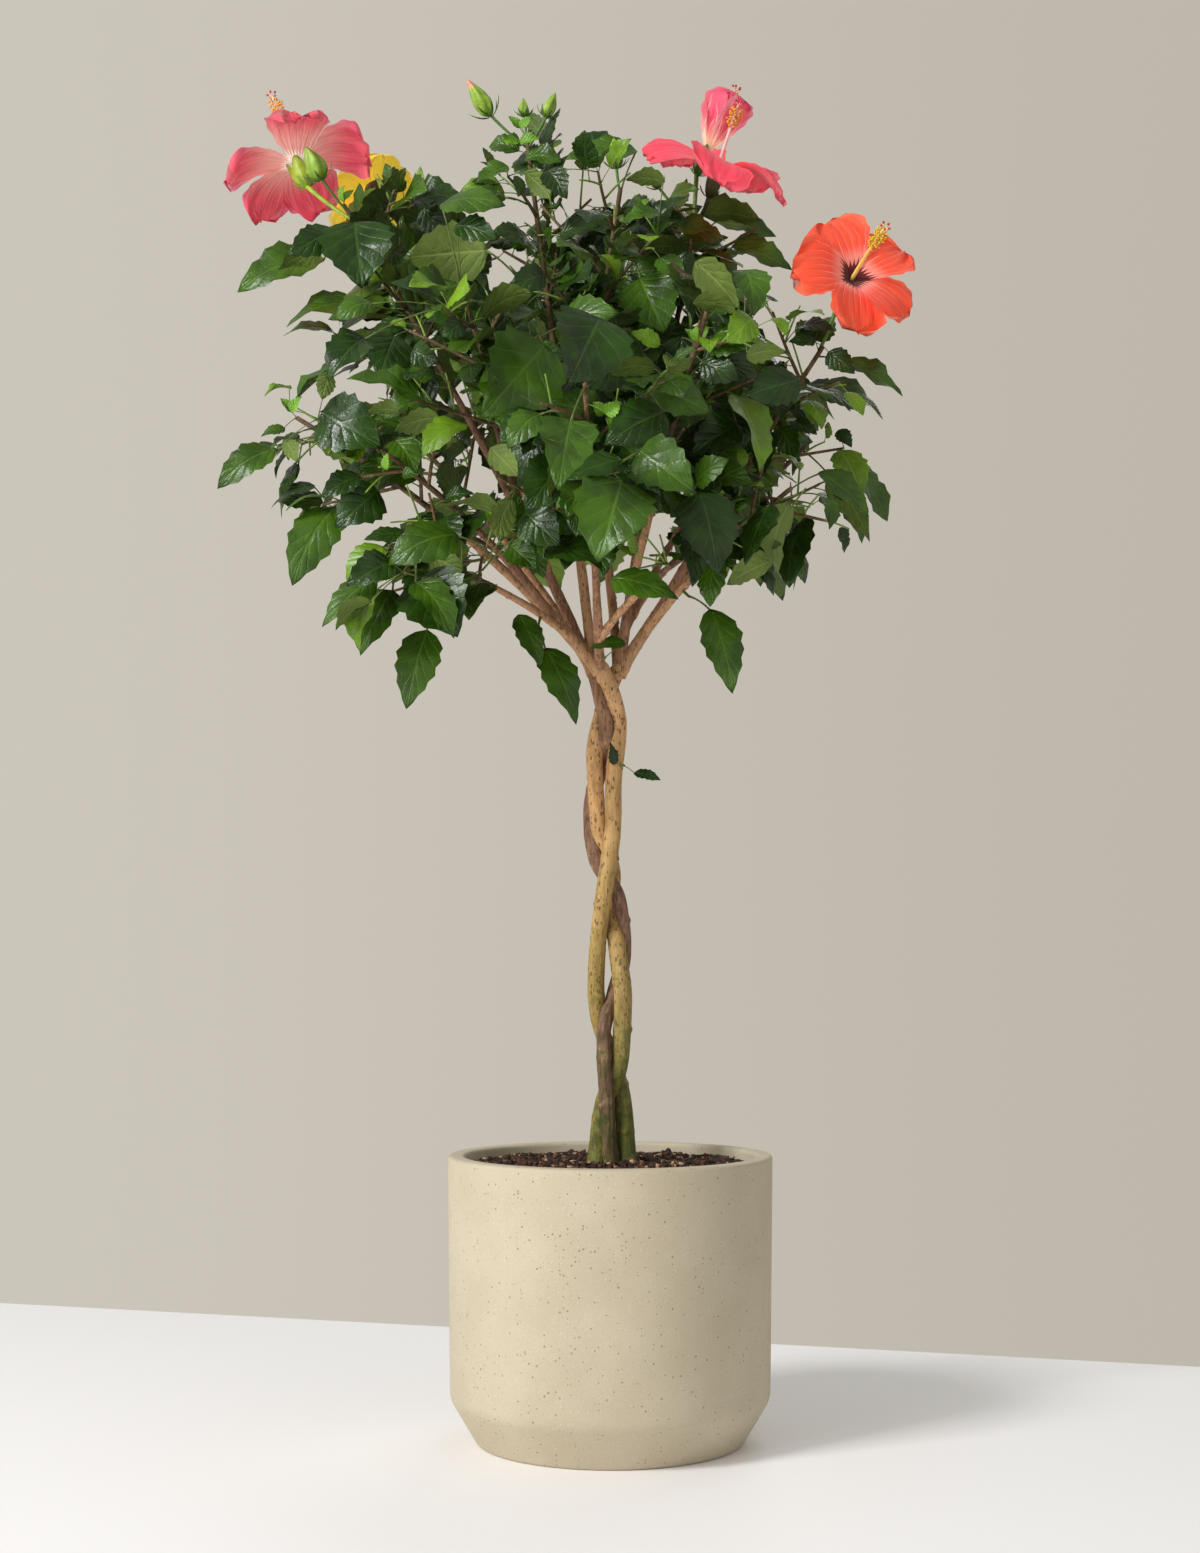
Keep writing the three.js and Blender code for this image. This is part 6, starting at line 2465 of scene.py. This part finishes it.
@dataclass
class Foliage:
    """The leaves, twigs and stalks of every spray, joined into one piece of each kind for each mass."""

    habit: Habit
    cut: BladeCut = field(default_factory=BladeCut)

    FACES = (
        LeafFinish("leaf_deep", srgb(38, 68, 10), srgb(80, 112, 44), 0.35, 0.3, 0.0005, 0.5),
        LeafFinish("leaf_deep_under", srgb(84, 106, 44), srgb(128, 144, 76), 0.6, 0.62, 0.0005),
        LeafFinish("leaf_green", srgb(63, 98, 14), srgb(104, 136, 50), 0.4, 0.33, 0.0005, 0.45),
        LeafFinish("leaf_green_under", srgb(102, 124, 48), srgb(144, 160, 82), 0.6, 0.62, 0.0005),
        LeafFinish("leaf_fresh", srgb(110, 150, 24), srgb(156, 180, 70), 0.4, 0.36, 0.0004, 0.35),
        LeafFinish("leaf_fresh_under", srgb(132, 164, 66), srgb(168, 190, 98), 0.5, 0.62, 0.0005),
        LeafFinish("leaf_tip", srgb(112, 162, 38), srgb(160, 196, 76), 0.3, 0.4, 0.0004),
        LeafFinish("leaf_tip_under", srgb(130, 170, 58), srgb(182, 210, 98), 0.3, 0.6, 0.0004),
    )
    WOODS = (
        BarkFinish("twig_brown", ((700, 120, 92, 66), (950, 112, 88, 60), (1240, 104, 92, 58)),
                   srgb(70, 52, 40), 0.6, 0.35, 0.7, 0.0005),
        PlainFinish("stalk_olive", srgb(104, 118, 58), 0.3, 200.0, 0.5),
        PlainFinish("stalk_green", srgb(126, 158, 64), 0.25, 200.0, 0.5),
    )

    def blades(self, leaves: Sequence[Leaf]) -> Skin:
        """The blades of some leaves, each folded, arched and waved by its drawn numbers.

        Args:
            leaves: the leaves.

        Returns:
            One skin of all the blades.
        """
        ovals = Blades.joined([leaf.blade for leaf in leaves])
        fold, wave, phase = np.array([(leaf.fold, leaf.wave, leaf.phase) for leaf in leaves]).T
        tips = np.array([leaf.tint is Tint.TIP for leaf in leaves])
        form = BladeForm(fold=-0.12 + 0.5 * fold + 0.3 * tips, arch=0.15 + 0.55 * wave,
                         wave=0.012 + 0.04 * fold, phase=phase, twist=1.6 * ((phase * 7) % 1 - 0.5))
        return self.cut.made(ovals, form, np.array([2 * leaf.tint.value for leaf in leaves]))

    def stalks(self, leaves: Sequence[Leaf]) -> Skin:
        """The leaves' stalks: slim rods that bow a little and thicken at both ends.

        Args:
            leaves: the leaves.

        Returns:
            One skin of all the stalks.
        """
        starts = np.array([leaf.root for leaf in leaves])
        ends = np.array([leaf.blade.base[0] + leaf.blade.axis[0] * 1.5 for leaf in leaves])
        span = np.linalg.norm(ends - starts, axis=1)
        paths = bent(starts, ends, 5, np.outer(span * 0.05, UP))
        scale = np.clip(np.array([leaf.blade.length[0] for leaf in leaves]) / 70, 0.45, 1.1)
        radii = np.array([1.35, 0.95, 0.85, 0.9, 1.0])[None] * scale[:, None]
        tint = np.array([2 if leaf.tint in (Tint.FRESH, Tint.TIP) else 1 for leaf in leaves])
        return tubes(paths, radii, 5, finish=tint)

    def wood(self, limb: Limb) -> Skin:
        """A spray's stem, its twigs and its sprigs.

        Args:
            limb: the limb.

        Returns:
            One skin of all the wood.
        """
        rings = 22
        share = np.linspace(limb.row.woody - LAP, 1, rings)
        knots = 0.22 * np.sin(np.arange(rings) * 2.1) ** 2
        rods = [tubes(limb.point(share)[None], (limb.radius(share) + knots)[None], 9)]
        if limb.twigs:
            twigs = np.array(limb.twigs)
            lean = unit(np.cross(twigs[:, 1] - twigs[:, 0], UP))
            sag = lean * (2.5 * np.sin(np.arange(len(twigs)) * 1.7 + limb.index))[:, None]
            rods.append(tubes(bent(twigs[:, 0], twigs[:, 1], 9, sag), np.linspace(1.9, 1.25, 9), 7))
        if limb.sprigs:
            sprigs = np.array(limb.sprigs)
            paths = bent(sprigs[:, 0], sprigs[:, 1], 6, np.outer(np.full(len(sprigs), 1.2), UP))
            rods.append(tubes(paths, np.linspace(1.1, 0.8, 6), 5, finish=2))
        return Skin.joined(rods)

    def build(self) -> None:
        """Puts in leaves_ and twigs_ pieces for each mass, and for the short sprouts."""
        for mass, names in MASSES.items():
            limbs = [self.habit.limbs[n] for n in names]
            leaves = [leaf for limb in limbs for leaf in limb.leaves]
            self.put_mass(mass, leaves, [self.wood(limb) for limb in limbs], [f"spray_{n}" for n in names])
        self.build_sprouts()

    def put_mass(self, name: str, leaves: Sequence[Leaf], rods: Sequence[Skin], nodes: Sequence[str]) -> None:
        """Puts in one mass as a piece of its leaves and a piece of its wood and stalks."""
        self.blades(leaves).put_in(f"leaves_{name}", self.FACES, "foliage", *nodes)
        Skin.joined([*rods, self.stalks(leaves)]).put_in(f"twigs_{name}", self.WOODS, "foliage", *nodes)

    def build_sprouts(self) -> None:
        """The short shoots from trunk and boughs."""
        leaves, rods = [], []
        for k, row in enumerate(SPROUTS):
            start = self.habit.limbs[row.on].point(row.along) if row.on else np.array(row.start, float)
            out = unit(np.array(row.out, float))
            end = start + out * LEAF.sprout_length
            rods.append(tubes(straight(start[None], end[None], 5), np.linspace(1.7, 1.2, 5), 6, finish=1))
            tint = Tint.DEEP if row.name == "sprout_trunk" else Tint.GREEN
            for low, high in row.leaves:
                blade = Blades.between(low, high, LEAF.sprout_width)
                leaves.append(Leaf(end - out * LEAF.sprout_radius, blade, tint, 0.4, 0.5, 0.2 * k))
        self.put_mass("sprouts", leaves, rods, [row.name for row in SPROUTS])


@dataclass(frozen=True)
class BloomLook:
    """How one bloom looks: its petals' finish and form, and the colours of its column and anthers.

    Curve is the angle of the petals' arch in radians, cup is how far their sides rise, tilt is how far one
    side lies over the next petal, and ruffle and width are shares of the length.
    """

    petal: PetalFinish
    column: Colour
    anther: Colour
    curve: float = 0.55
    cup: float = 0.12
    tilt: float = 0.2
    ruffle: float = 0.035
    width: float = 0.44
    calyx: Colour = srgb(96, 138, 52)
    calyx_radius: float = 7.6


class BloomKind(Enum):
    """The five blooms of the crown."""

    ROSE = "rose"
    YELLOW = "yellow"
    CORAL = "coral"
    CLOSED_ROSE = "closed_rose"
    ORANGE = "orange"


LOOKS = {
    BloomKind.ROSE: BloomLook(
        PetalFinish("petal_rose", srgb(228, 58, 88), srgb(252, 234, 218), srgb(250, 212, 192),
                    srgb(240, 78, 92), 0.2, 0.8, 0.85, glow=0.3, rays=9.0, ray_width=0.8, rib_shade=0.62,
                    halo=0.6, line_share=0.25),
        srgb(250, 214, 190), srgb(244, 178, 84), curve=0.85, cup=0.1, ruffle=0.12, width=0.38,
        calyx=srgb(156, 180, 56), calyx_radius=11.0),
    BloomKind.YELLOW: BloomLook(
        PetalFinish("petal_yellow", srgb(250, 206, 48), srgb(250, 226, 130), srgb(250, 218, 110),
                    srgb(250, 212, 66), 0.14, 0.5, 0.4, glow=0.25, rib_shade=0.9),
        srgb(250, 226, 160), srgb(244, 190, 84)),
    BloomKind.CORAL: BloomLook(
        PetalFinish("petal_coral", srgb(240, 58, 82), srgb(206, 36, 66), srgb(246, 116, 116),
                    srgb(246, 84, 100), 0.14, 0.45, 0.15, glow=0.32, rib_shade=0.88),
        srgb(250, 196, 186), srgb(242, 170, 60), curve=0.8, ruffle=0.06, width=0.42, calyx=srgb(76, 84, 40)),
    BloomKind.CLOSED_ROSE: BloomLook(
        PetalFinish("petal_furled", srgb(228, 84, 112), srgb(246, 206, 178), srgb(248, 210, 190),
                    srgb(206, 40, 92), 0.24, 0.9, 0.85, glow=0.25),
        srgb(250, 210, 190), srgb(244, 176, 60), curve=0.35, cup=0.85, tilt=0.35, ruffle=0.05, width=0.36),
    BloomKind.ORANGE: BloomLook(
        PetalFinish("petal_orange", srgb(240, 68, 42), srgb(74, 3, 12), srgb(252, 186, 172),
                    srgb(242, 84, 50), 0.25, 0.9, 0.8, glow=0.24, rays=8.0, ray_width=0.16, rib_shade=0.88),
        srgb(250, 214, 110), srgb(246, 200, 62), curve=0.6, ruffle=0.09, width=0.43),
}


@dataclass(frozen=True)
class PetalCut:
    """A petal's outline and form: narrow at its claw, broad and ruffled at its end."""

    rings: int = 26
    columns: int = 14
    thick: float = 0.5
    claw: float = 0.75
    blunt: float = 4.0
    spacing: float = 0.85

    def grid(self) -> tuple[Array, Array, Array, Array]:
        """Shares along, places across, which face, and the outline's half width, for a loft's points.

        Returns:
            Four arrays with a value for each point.
        """
        along = np.concatenate([[0.01], (np.arange(1, self.rings) / self.rings) ** self.spacing])
        top = np.linspace(-1, 1, self.columns + 1)
        s, x, up = sheet(along, top, top[-2:0:-1])
        wide = s**self.claw * np.sqrt(np.maximum(1 - s**self.blunt, 0))
        return s, x, up, wide / PETAL_WIDTH_SHARE

    def made(self, ovals: Blades, look: BloomLook, curve: Array, phase: Array) -> Skin:
        """Petals as thin closed lofts.

        Along its arched middle line a petal gains a cup, a tilt that lets each one lie over the next, and
        ruffles that grow towards the end.

        Args:
            ovals: the petals' ovals.
            look: how the bloom looks.
            curve: the angle of each petal's arch, in radians.
            phase: where each petal's ruffles start.

        Returns:
            The skin of all petals.
        """
        s, x, up, wide = (v[None] for v in self.grid())
        long, turn = ovals.length[:, None], phase[:, None]
        w = long * look.width * wide * (1 + 0.035 * np.sin(31 * s + 2 * turn + 9 * x) * x**4)
        middle, above = arched(long, s, curve[:, None])
        ruffles = (np.sin(11 * x + 5 * s + turn) + 0.5 * np.sin(23 * x - 7 * s + 2 * turn)) * s**4
        lobes = np.sin(7 * x + turn) + 0.7 * np.sin(17 * x + 3 * turn) + 0.4 * np.sin(31 * x - turn)
        edge = long * 0.03 * s**4 * lobes
        z = above + w * (look.cup * x**2 + look.tilt * x)
        z = z + long * look.ruffle * ruffles * (0.35 + 0.65 * np.abs(x))
        z = z + up * self.thick / 2 * (1 - x**8)
        base, axis, side, normal = (v[:, None] for v in (ovals.base, ovals.axis, ovals.side, ovals.normal))
        points = base + axis * (middle + edge)[..., None] + side * (x * w)[..., None] + normal * z[..., None]
        uv = np.stack([x[0] / 2 + 0.5, s[0]], -1)
        pattern = Pattern(self.rings, 2 * self.columns, pointed=True, folded=self.columns)
        return Skin.stamped(pattern, points, uv, rims=(0, self.columns))


def bracts(foot: Array, axis: Array, length: float, radius: float, finish: int) -> Skin:
    """Slim bracts that stand round the foot of a calyx or bud.

    Args:
        foot: the foot of the calyx or bud.
        axis: its unit axis.
        length: the length of a bract.
        radius: how far out the bracts stand.
        finish: the number of their finish.

    Returns:
        One skin of all the bracts.
    """
    count = 7
    out = spokes(axis, np.arange(count) * 2 * math.pi / count + 0.3)
    ways = unit(out * 0.9 + axis * 0.8)
    sides = unit(np.cross(ways, axis - ways * (ways @ axis)[:, None]))
    ones = np.ones(count)
    ovals = Blades(foot + out * radius, ways, sides, np.cross(sides, ways), length * ones, 1.5 * ones)
    cut = BladeCut(rings=7, columns=2, under_step=0, tooth=0.0, thick=0.6)
    form = BladeForm(0.2 * ones, -0.5 * ones, 0 * ones, 0 * ones, 0 * ones)
    return cut.made(ovals, form, np.full(count, finish))


@dataclass
class Blossom:
    """The open and furled blooms with their columns, anthers and calyces."""

    habit: Habit
    anthers: int = 70
    seed: int = 3

    STYLE, ANTHER, STIGMA, CALYX = 1, 2, 3, 4

    def column(self, bloom: Bloom) -> list[Skin]:
        """A slim tube with anthers on short threads round its end, and five stigmas at its tip.

        Args:
            bloom: the bloom.

        Returns:
            The skins of the tube, the threads and the stigmas.
        """
        rng = np.random.default_rng(self.seed)
        n, style = self.anthers, self.STYLE
        tube = bent(bloom.throat[None], bloom.tip[None], 12, UP[None] * 1.5)
        t = 0.63 + 0.29 * (np.arange(n) + 0.5) / n
        out = spokes(bloom.axis, np.arange(n) * GOLDEN_TURN)
        way = unit(out + bloom.axis * 0.55 + rng.normal(0, 0.15, (n, 3)))
        root = bloom.throat + bloom.axis * (t * bloom.row.column)[:, None] + UP * (6 * t * (1 - t))[:, None]
        ends = root + way * (3.6 + 3.4 * rng.random(n))[:, None]
        spread = unit(spokes(bloom.axis, round_angles(5)) + bloom.axis * 0.9)
        tips = bloom.tip + spread * 5.5
        return [
            tubes(tube, np.linspace(2.1, 1.0, 12), 10, finish=style),
            tubes(straight(root, ends, 2), 0.22, 3, finish=style),
            self.dots(ends, way, 1.05, self.ANTHER),
            tubes(straight(np.repeat(bloom.tip[None], 5, 0), tips, 4), 0.4, 4, finish=style),
            self.dots(tips, spread, 1.15, self.STIGMA),
        ]

    @staticmethod
    def dots(middles: Array, ways: Array, radius: float, finish: int) -> Skin:
        """Small beads: rings whose radius is the sine of their place along a short axis."""
        t = np.linspace(0.08, 0.92, 5)
        paths = middles[:, None] + ways[:, None] * (radius * 1.3 * -np.cos(math.pi * t))[None, :, None]
        return tubes(paths, radius * np.sin(math.pi * t), 6, finish=finish)

    def calyx(self, foot: Array, axis: Array, length: float, radius: float) -> Skin:
        """A cup with five pointed lobes: its rings widen with the height, which a lobed margin cuts.

        Args:
            foot: the calyx's foot.
            axis: its unit axis.
            length: its length.
            radius: its radius.

        Returns:
            The calyx's skin.
        """
        angle = round_angles(40)
        lobe = 0.62 + 0.38 * np.abs(np.cos(2.5 * angle)) ** 0.8
        t = np.array([0.0, 0.15, 0.35, 0.6, 0.85, 1.0, 0.97, 0.7, 0.45])
        wall = np.array([0, 0, 0, 0, 0, 0.15, 0.5, 0.6, 0.7])
        shape = np.interp(t, [0, 0.15, 0.35, 0.6, 0.85, 1], [0.35, 0.72, 0.92, 1.0, 1.02, 1.06])
        height = t[:, None] * (1 + (lobe - 1) * smooth(0.2, 1, t)[:, None]) * length
        r = (shape * radius - wall)[:, None] * (1 + 0.05 * np.cos(5 * angle))
        return Skin.stamped(Pattern(len(t), 40), rings_about(foot, axis, height, r, angle), finish=self.CALYX)

    def build(self) -> None:
        """Puts in each bloom as one piece."""
        rng = np.random.default_rng(self.seed)
        cut = PetalCut()
        for bloom in self.habit.blooms:
            name = bloom.row.name
            look = LOOKS[BloomKind(name)]
            curve = look.curve * (0.75 + 0.5 * rng.random(5))
            petals = cut.made(bloom.petals, look, curve, rng.random(5) * 6.28)
            stalk = tubes(bent(bloom.stalk[:1], bloom.stalk[-1:], 8, -UP[None] * 2),
                          np.linspace(1.6, 2.4, 8), 7, finish=self.CALYX)
            skins = [petals, *self.column(bloom), stalk,
                     self.calyx(bloom.foot, bloom.axis, 30, look.calyx_radius),
                     bracts(bloom.foot, bloom.axis, 15, 2.2, self.CALYX)]
            finishes = (
                look.petal,
                PlainFinish(f"column_{name}", look.column, 0.12),
                PlainFinish(f"anther_{name}", look.anther, 0.25, 500.0, 0.8),
                PlainFinish(f"stigma_{name}", srgb(206, 62, 52), 0.2, 500.0, 0.6),
                PlainFinish(f"calyx_{name}", look.calyx, 0.3, 180.0, 0.5),
            )
            Skin.joined(skins).put_in(f"bloom_{name}", finishes, "foliage", f"spray_{bloom.row.on}")


@dataclass
class Buds:
    """Green buds with five ridges, slim bracts and a stalk."""

    habit: Habit
    rings: int = 18
    sides: int = 30
    blush_above: float = 40
    blush_from: int = 13

    GREEN, BLUSH, BRACT = 0, 1, 2
    FINISHES = (
        PlainFinish("bud_green", srgb(146, 180, 58), 0.4, 120.0, 0.45),
        PlainFinish("bud_blush", srgb(214, 150, 116), 0.25, 200.0, 0.5),
        PlainFinish("bract_green", srgb(92, 130, 56), 0.3, 200.0, 0.5),
    )

    def body(self, bud: Bud) -> Skin:
        """A pointed egg: the radius is the sine of a bent share, ridged five times round.

        Args:
            bud: the bud.

        Returns:
            The bud's skin.
        """
        axis = unit(bud.tip - bud.base)
        angle = round_angles(self.sides)
        s = np.linspace(0.02, 0.985, self.rings)[:, None]
        plain = np.sin(math.pi * s**0.72) ** 0.85 * (1 - 0.25 * s) * 1.12 + 0.04
        r = bud.row.radius * plain * (1 + 0.17 * np.cos(5 * (angle + 0.7 * s)) * (1 - s * 0.4))
        length = float(np.linalg.norm(bud.tip - bud.base))
        points = rings_about(bud.base, axis, s * length * np.ones_like(angle), r, angle)
        row = np.repeat(np.arange(self.rings - 1), self.sides)
        blushed = (bud.row.length > self.blush_above) & (row >= self.blush_from)
        finish = np.where(blushed, self.BLUSH, self.GREEN)
        return Skin.stamped(Pattern(self.rings, self.sides), points, quad_step=finish)

    def build(self) -> None:
        """Puts in the buds of each limb as one piece."""
        for name in dict.fromkeys(bud.row.on for bud in self.habit.buds):
            skins = []
            for bud in (b for b in self.habit.buds if b.row.on == name):
                axis = unit(bud.tip - bud.base)
                stalk = bent(bud.start[None], bud.base[None] + axis * 2, 7, -UP[None] * 1.5)
                skins += [self.body(bud),
                          bracts(bud.base, axis, 0.4 * bud.row.length + 5, bud.row.radius * 0.3, self.BRACT),
                          tubes(stalk, np.linspace(1.1, 1.5, 7), 6, finish=self.BRACT)]
            Skin.joined(skins).put_in(f"buds_{name}", self.FINISHES, "foliage", f"spray_{name}")


@dataclass
class Studio:
    """The floor, the light and the camera of the photograph."""

    sight: Sight = SIGHT
    sensor: float = 36.0
    wall: Colour = srgb(204, 198, 187)
    wall_right: Colour = srgb(190, 183, 171)
    sky: Colour = srgb(232, 230, 224)
    sky_strength: float = 0.5
    aim: Triple = (0, 0, 0.75)
    floor_reach: float = 5.0
    wall_line: tuple[Pair, Pair] = ((-5.0, 2.07), (5.0, -0.98))

    def camera(self) -> None:
        """A camera at the photograph's place, looking a little up."""
        data = bpy.data.cameras.new("camera")
        data.sensor_width = self.sensor
        data.lens = self.sensor * self.sight.focal / self.sight.high
        made = linked("camera", data)
        made.location = Vector(self.sight.eye) * METRES
        made.rotation_euler = (math.radians(90 + self.sight.pitch), 0, 0)
        bpy.context.scene.camera = made

    def floor(self) -> None:
        """A pale floor whose back edge is the line where the floor meets the wall."""
        (left, left_y), (right, right_y) = self.wall_line
        near = -self.floor_reach
        mesh = bpy.data.meshes.new("floor")
        mesh.from_pydata([(left, near, 0), (right, near, 0), (right, right_y, 0), (left, left_y, 0)], [],
                         [(0, 1, 2, 3)])
        mesh.materials.append(FloorFinish("studio_floor").dress())
        floor = linked("floor", mesh)

    def light(self, name: str, at: Triple, size: float, power: float) -> None:
        """A square soft light that looks at the plant's middle.

        Args:
            name: the light's name.
            at: where it stands, in metres.
            size: the side of its square, in metres.
            power: its power in watts.
        """
        data = bpy.data.lights.new(name, "AREA")
        data.shape, data.size, data.energy = "SQUARE", size, power
        made = linked(name, data)
        made.location = at
        made.rotation_euler = (Vector(self.aim) - Vector(at)).to_track_quat("-Z", "Y").to_euler()

    def surroundings(self) -> None:
        """The wall's colour behind the plant, darker to the right as painted shade, and a dimmer neutral
        light from all round.
        """
        world = bpy.data.worlds.new("studio")
        world.use_nodes = True
        bench = Bench(world.node_tree)
        shown = next(n for n in world.node_tree.nodes if n.type == "BACKGROUND")
        out = next(n for n in world.node_tree.nodes if n.type == "OUTPUT_WORLD")
        way = bench.put("SeparateXYZ", {0: bench.put("TexCoord", output="Generated")})
        # Painted shade: the backdrop that the camera sees turns darker towards the right.
        bench.feed(shown.inputs[0], bench.blend(bench.step(way, -0.34, 0.32), self.wall, self.wall_right))
        lit = bench.put("Background", {0: self.sky, 1: self.sky_strength})
        seen = bench.put("LightPath", output="Is Camera Ray")
        mixed = bench.put("MixShader", {0: seen, 1: lit, 2: Value(bench, shown.outputs[0])})
        bench.feed(out.inputs[0], mixed)
        bpy.context.scene.world = world

    def build(self) -> None:
        """Sets up the whole stage."""
        self.camera()
        self.floor()
        self.light("key", (-2.8, -2.2, 2.8), 1.1, 128)
        self.light("low", (-2.3, -2.7, 1.0), 1.2, 30)
        self.light("fill", (2.8, -2.4, 1.6), 2.4, 7)
        self.light("back", (1.2, 3.2, 2.6), 2.2, 26)
        self.surroundings()
        bpy.context.scene.view_settings.view_transform = "Standard"


def main() -> None:
    logging.basicConfig(level=logging.INFO, format="%(message)s")
    Studio().build()
    habit = Habit()
    every = sum(len(limb.leaves) for limb in habit.limbs.values())
    LOG.info("leaves: %d by the solids' rule, %d with the finer ones", habit.coarse, every)
    for kind in (Planter, SoilBed, PlaitedTrunk):
        kind().build()
    for kind in (Boughs, Foliage, Blossom, Buds):
        kind(habit).build()
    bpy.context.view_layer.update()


if __name__ == "__main__":
    main()
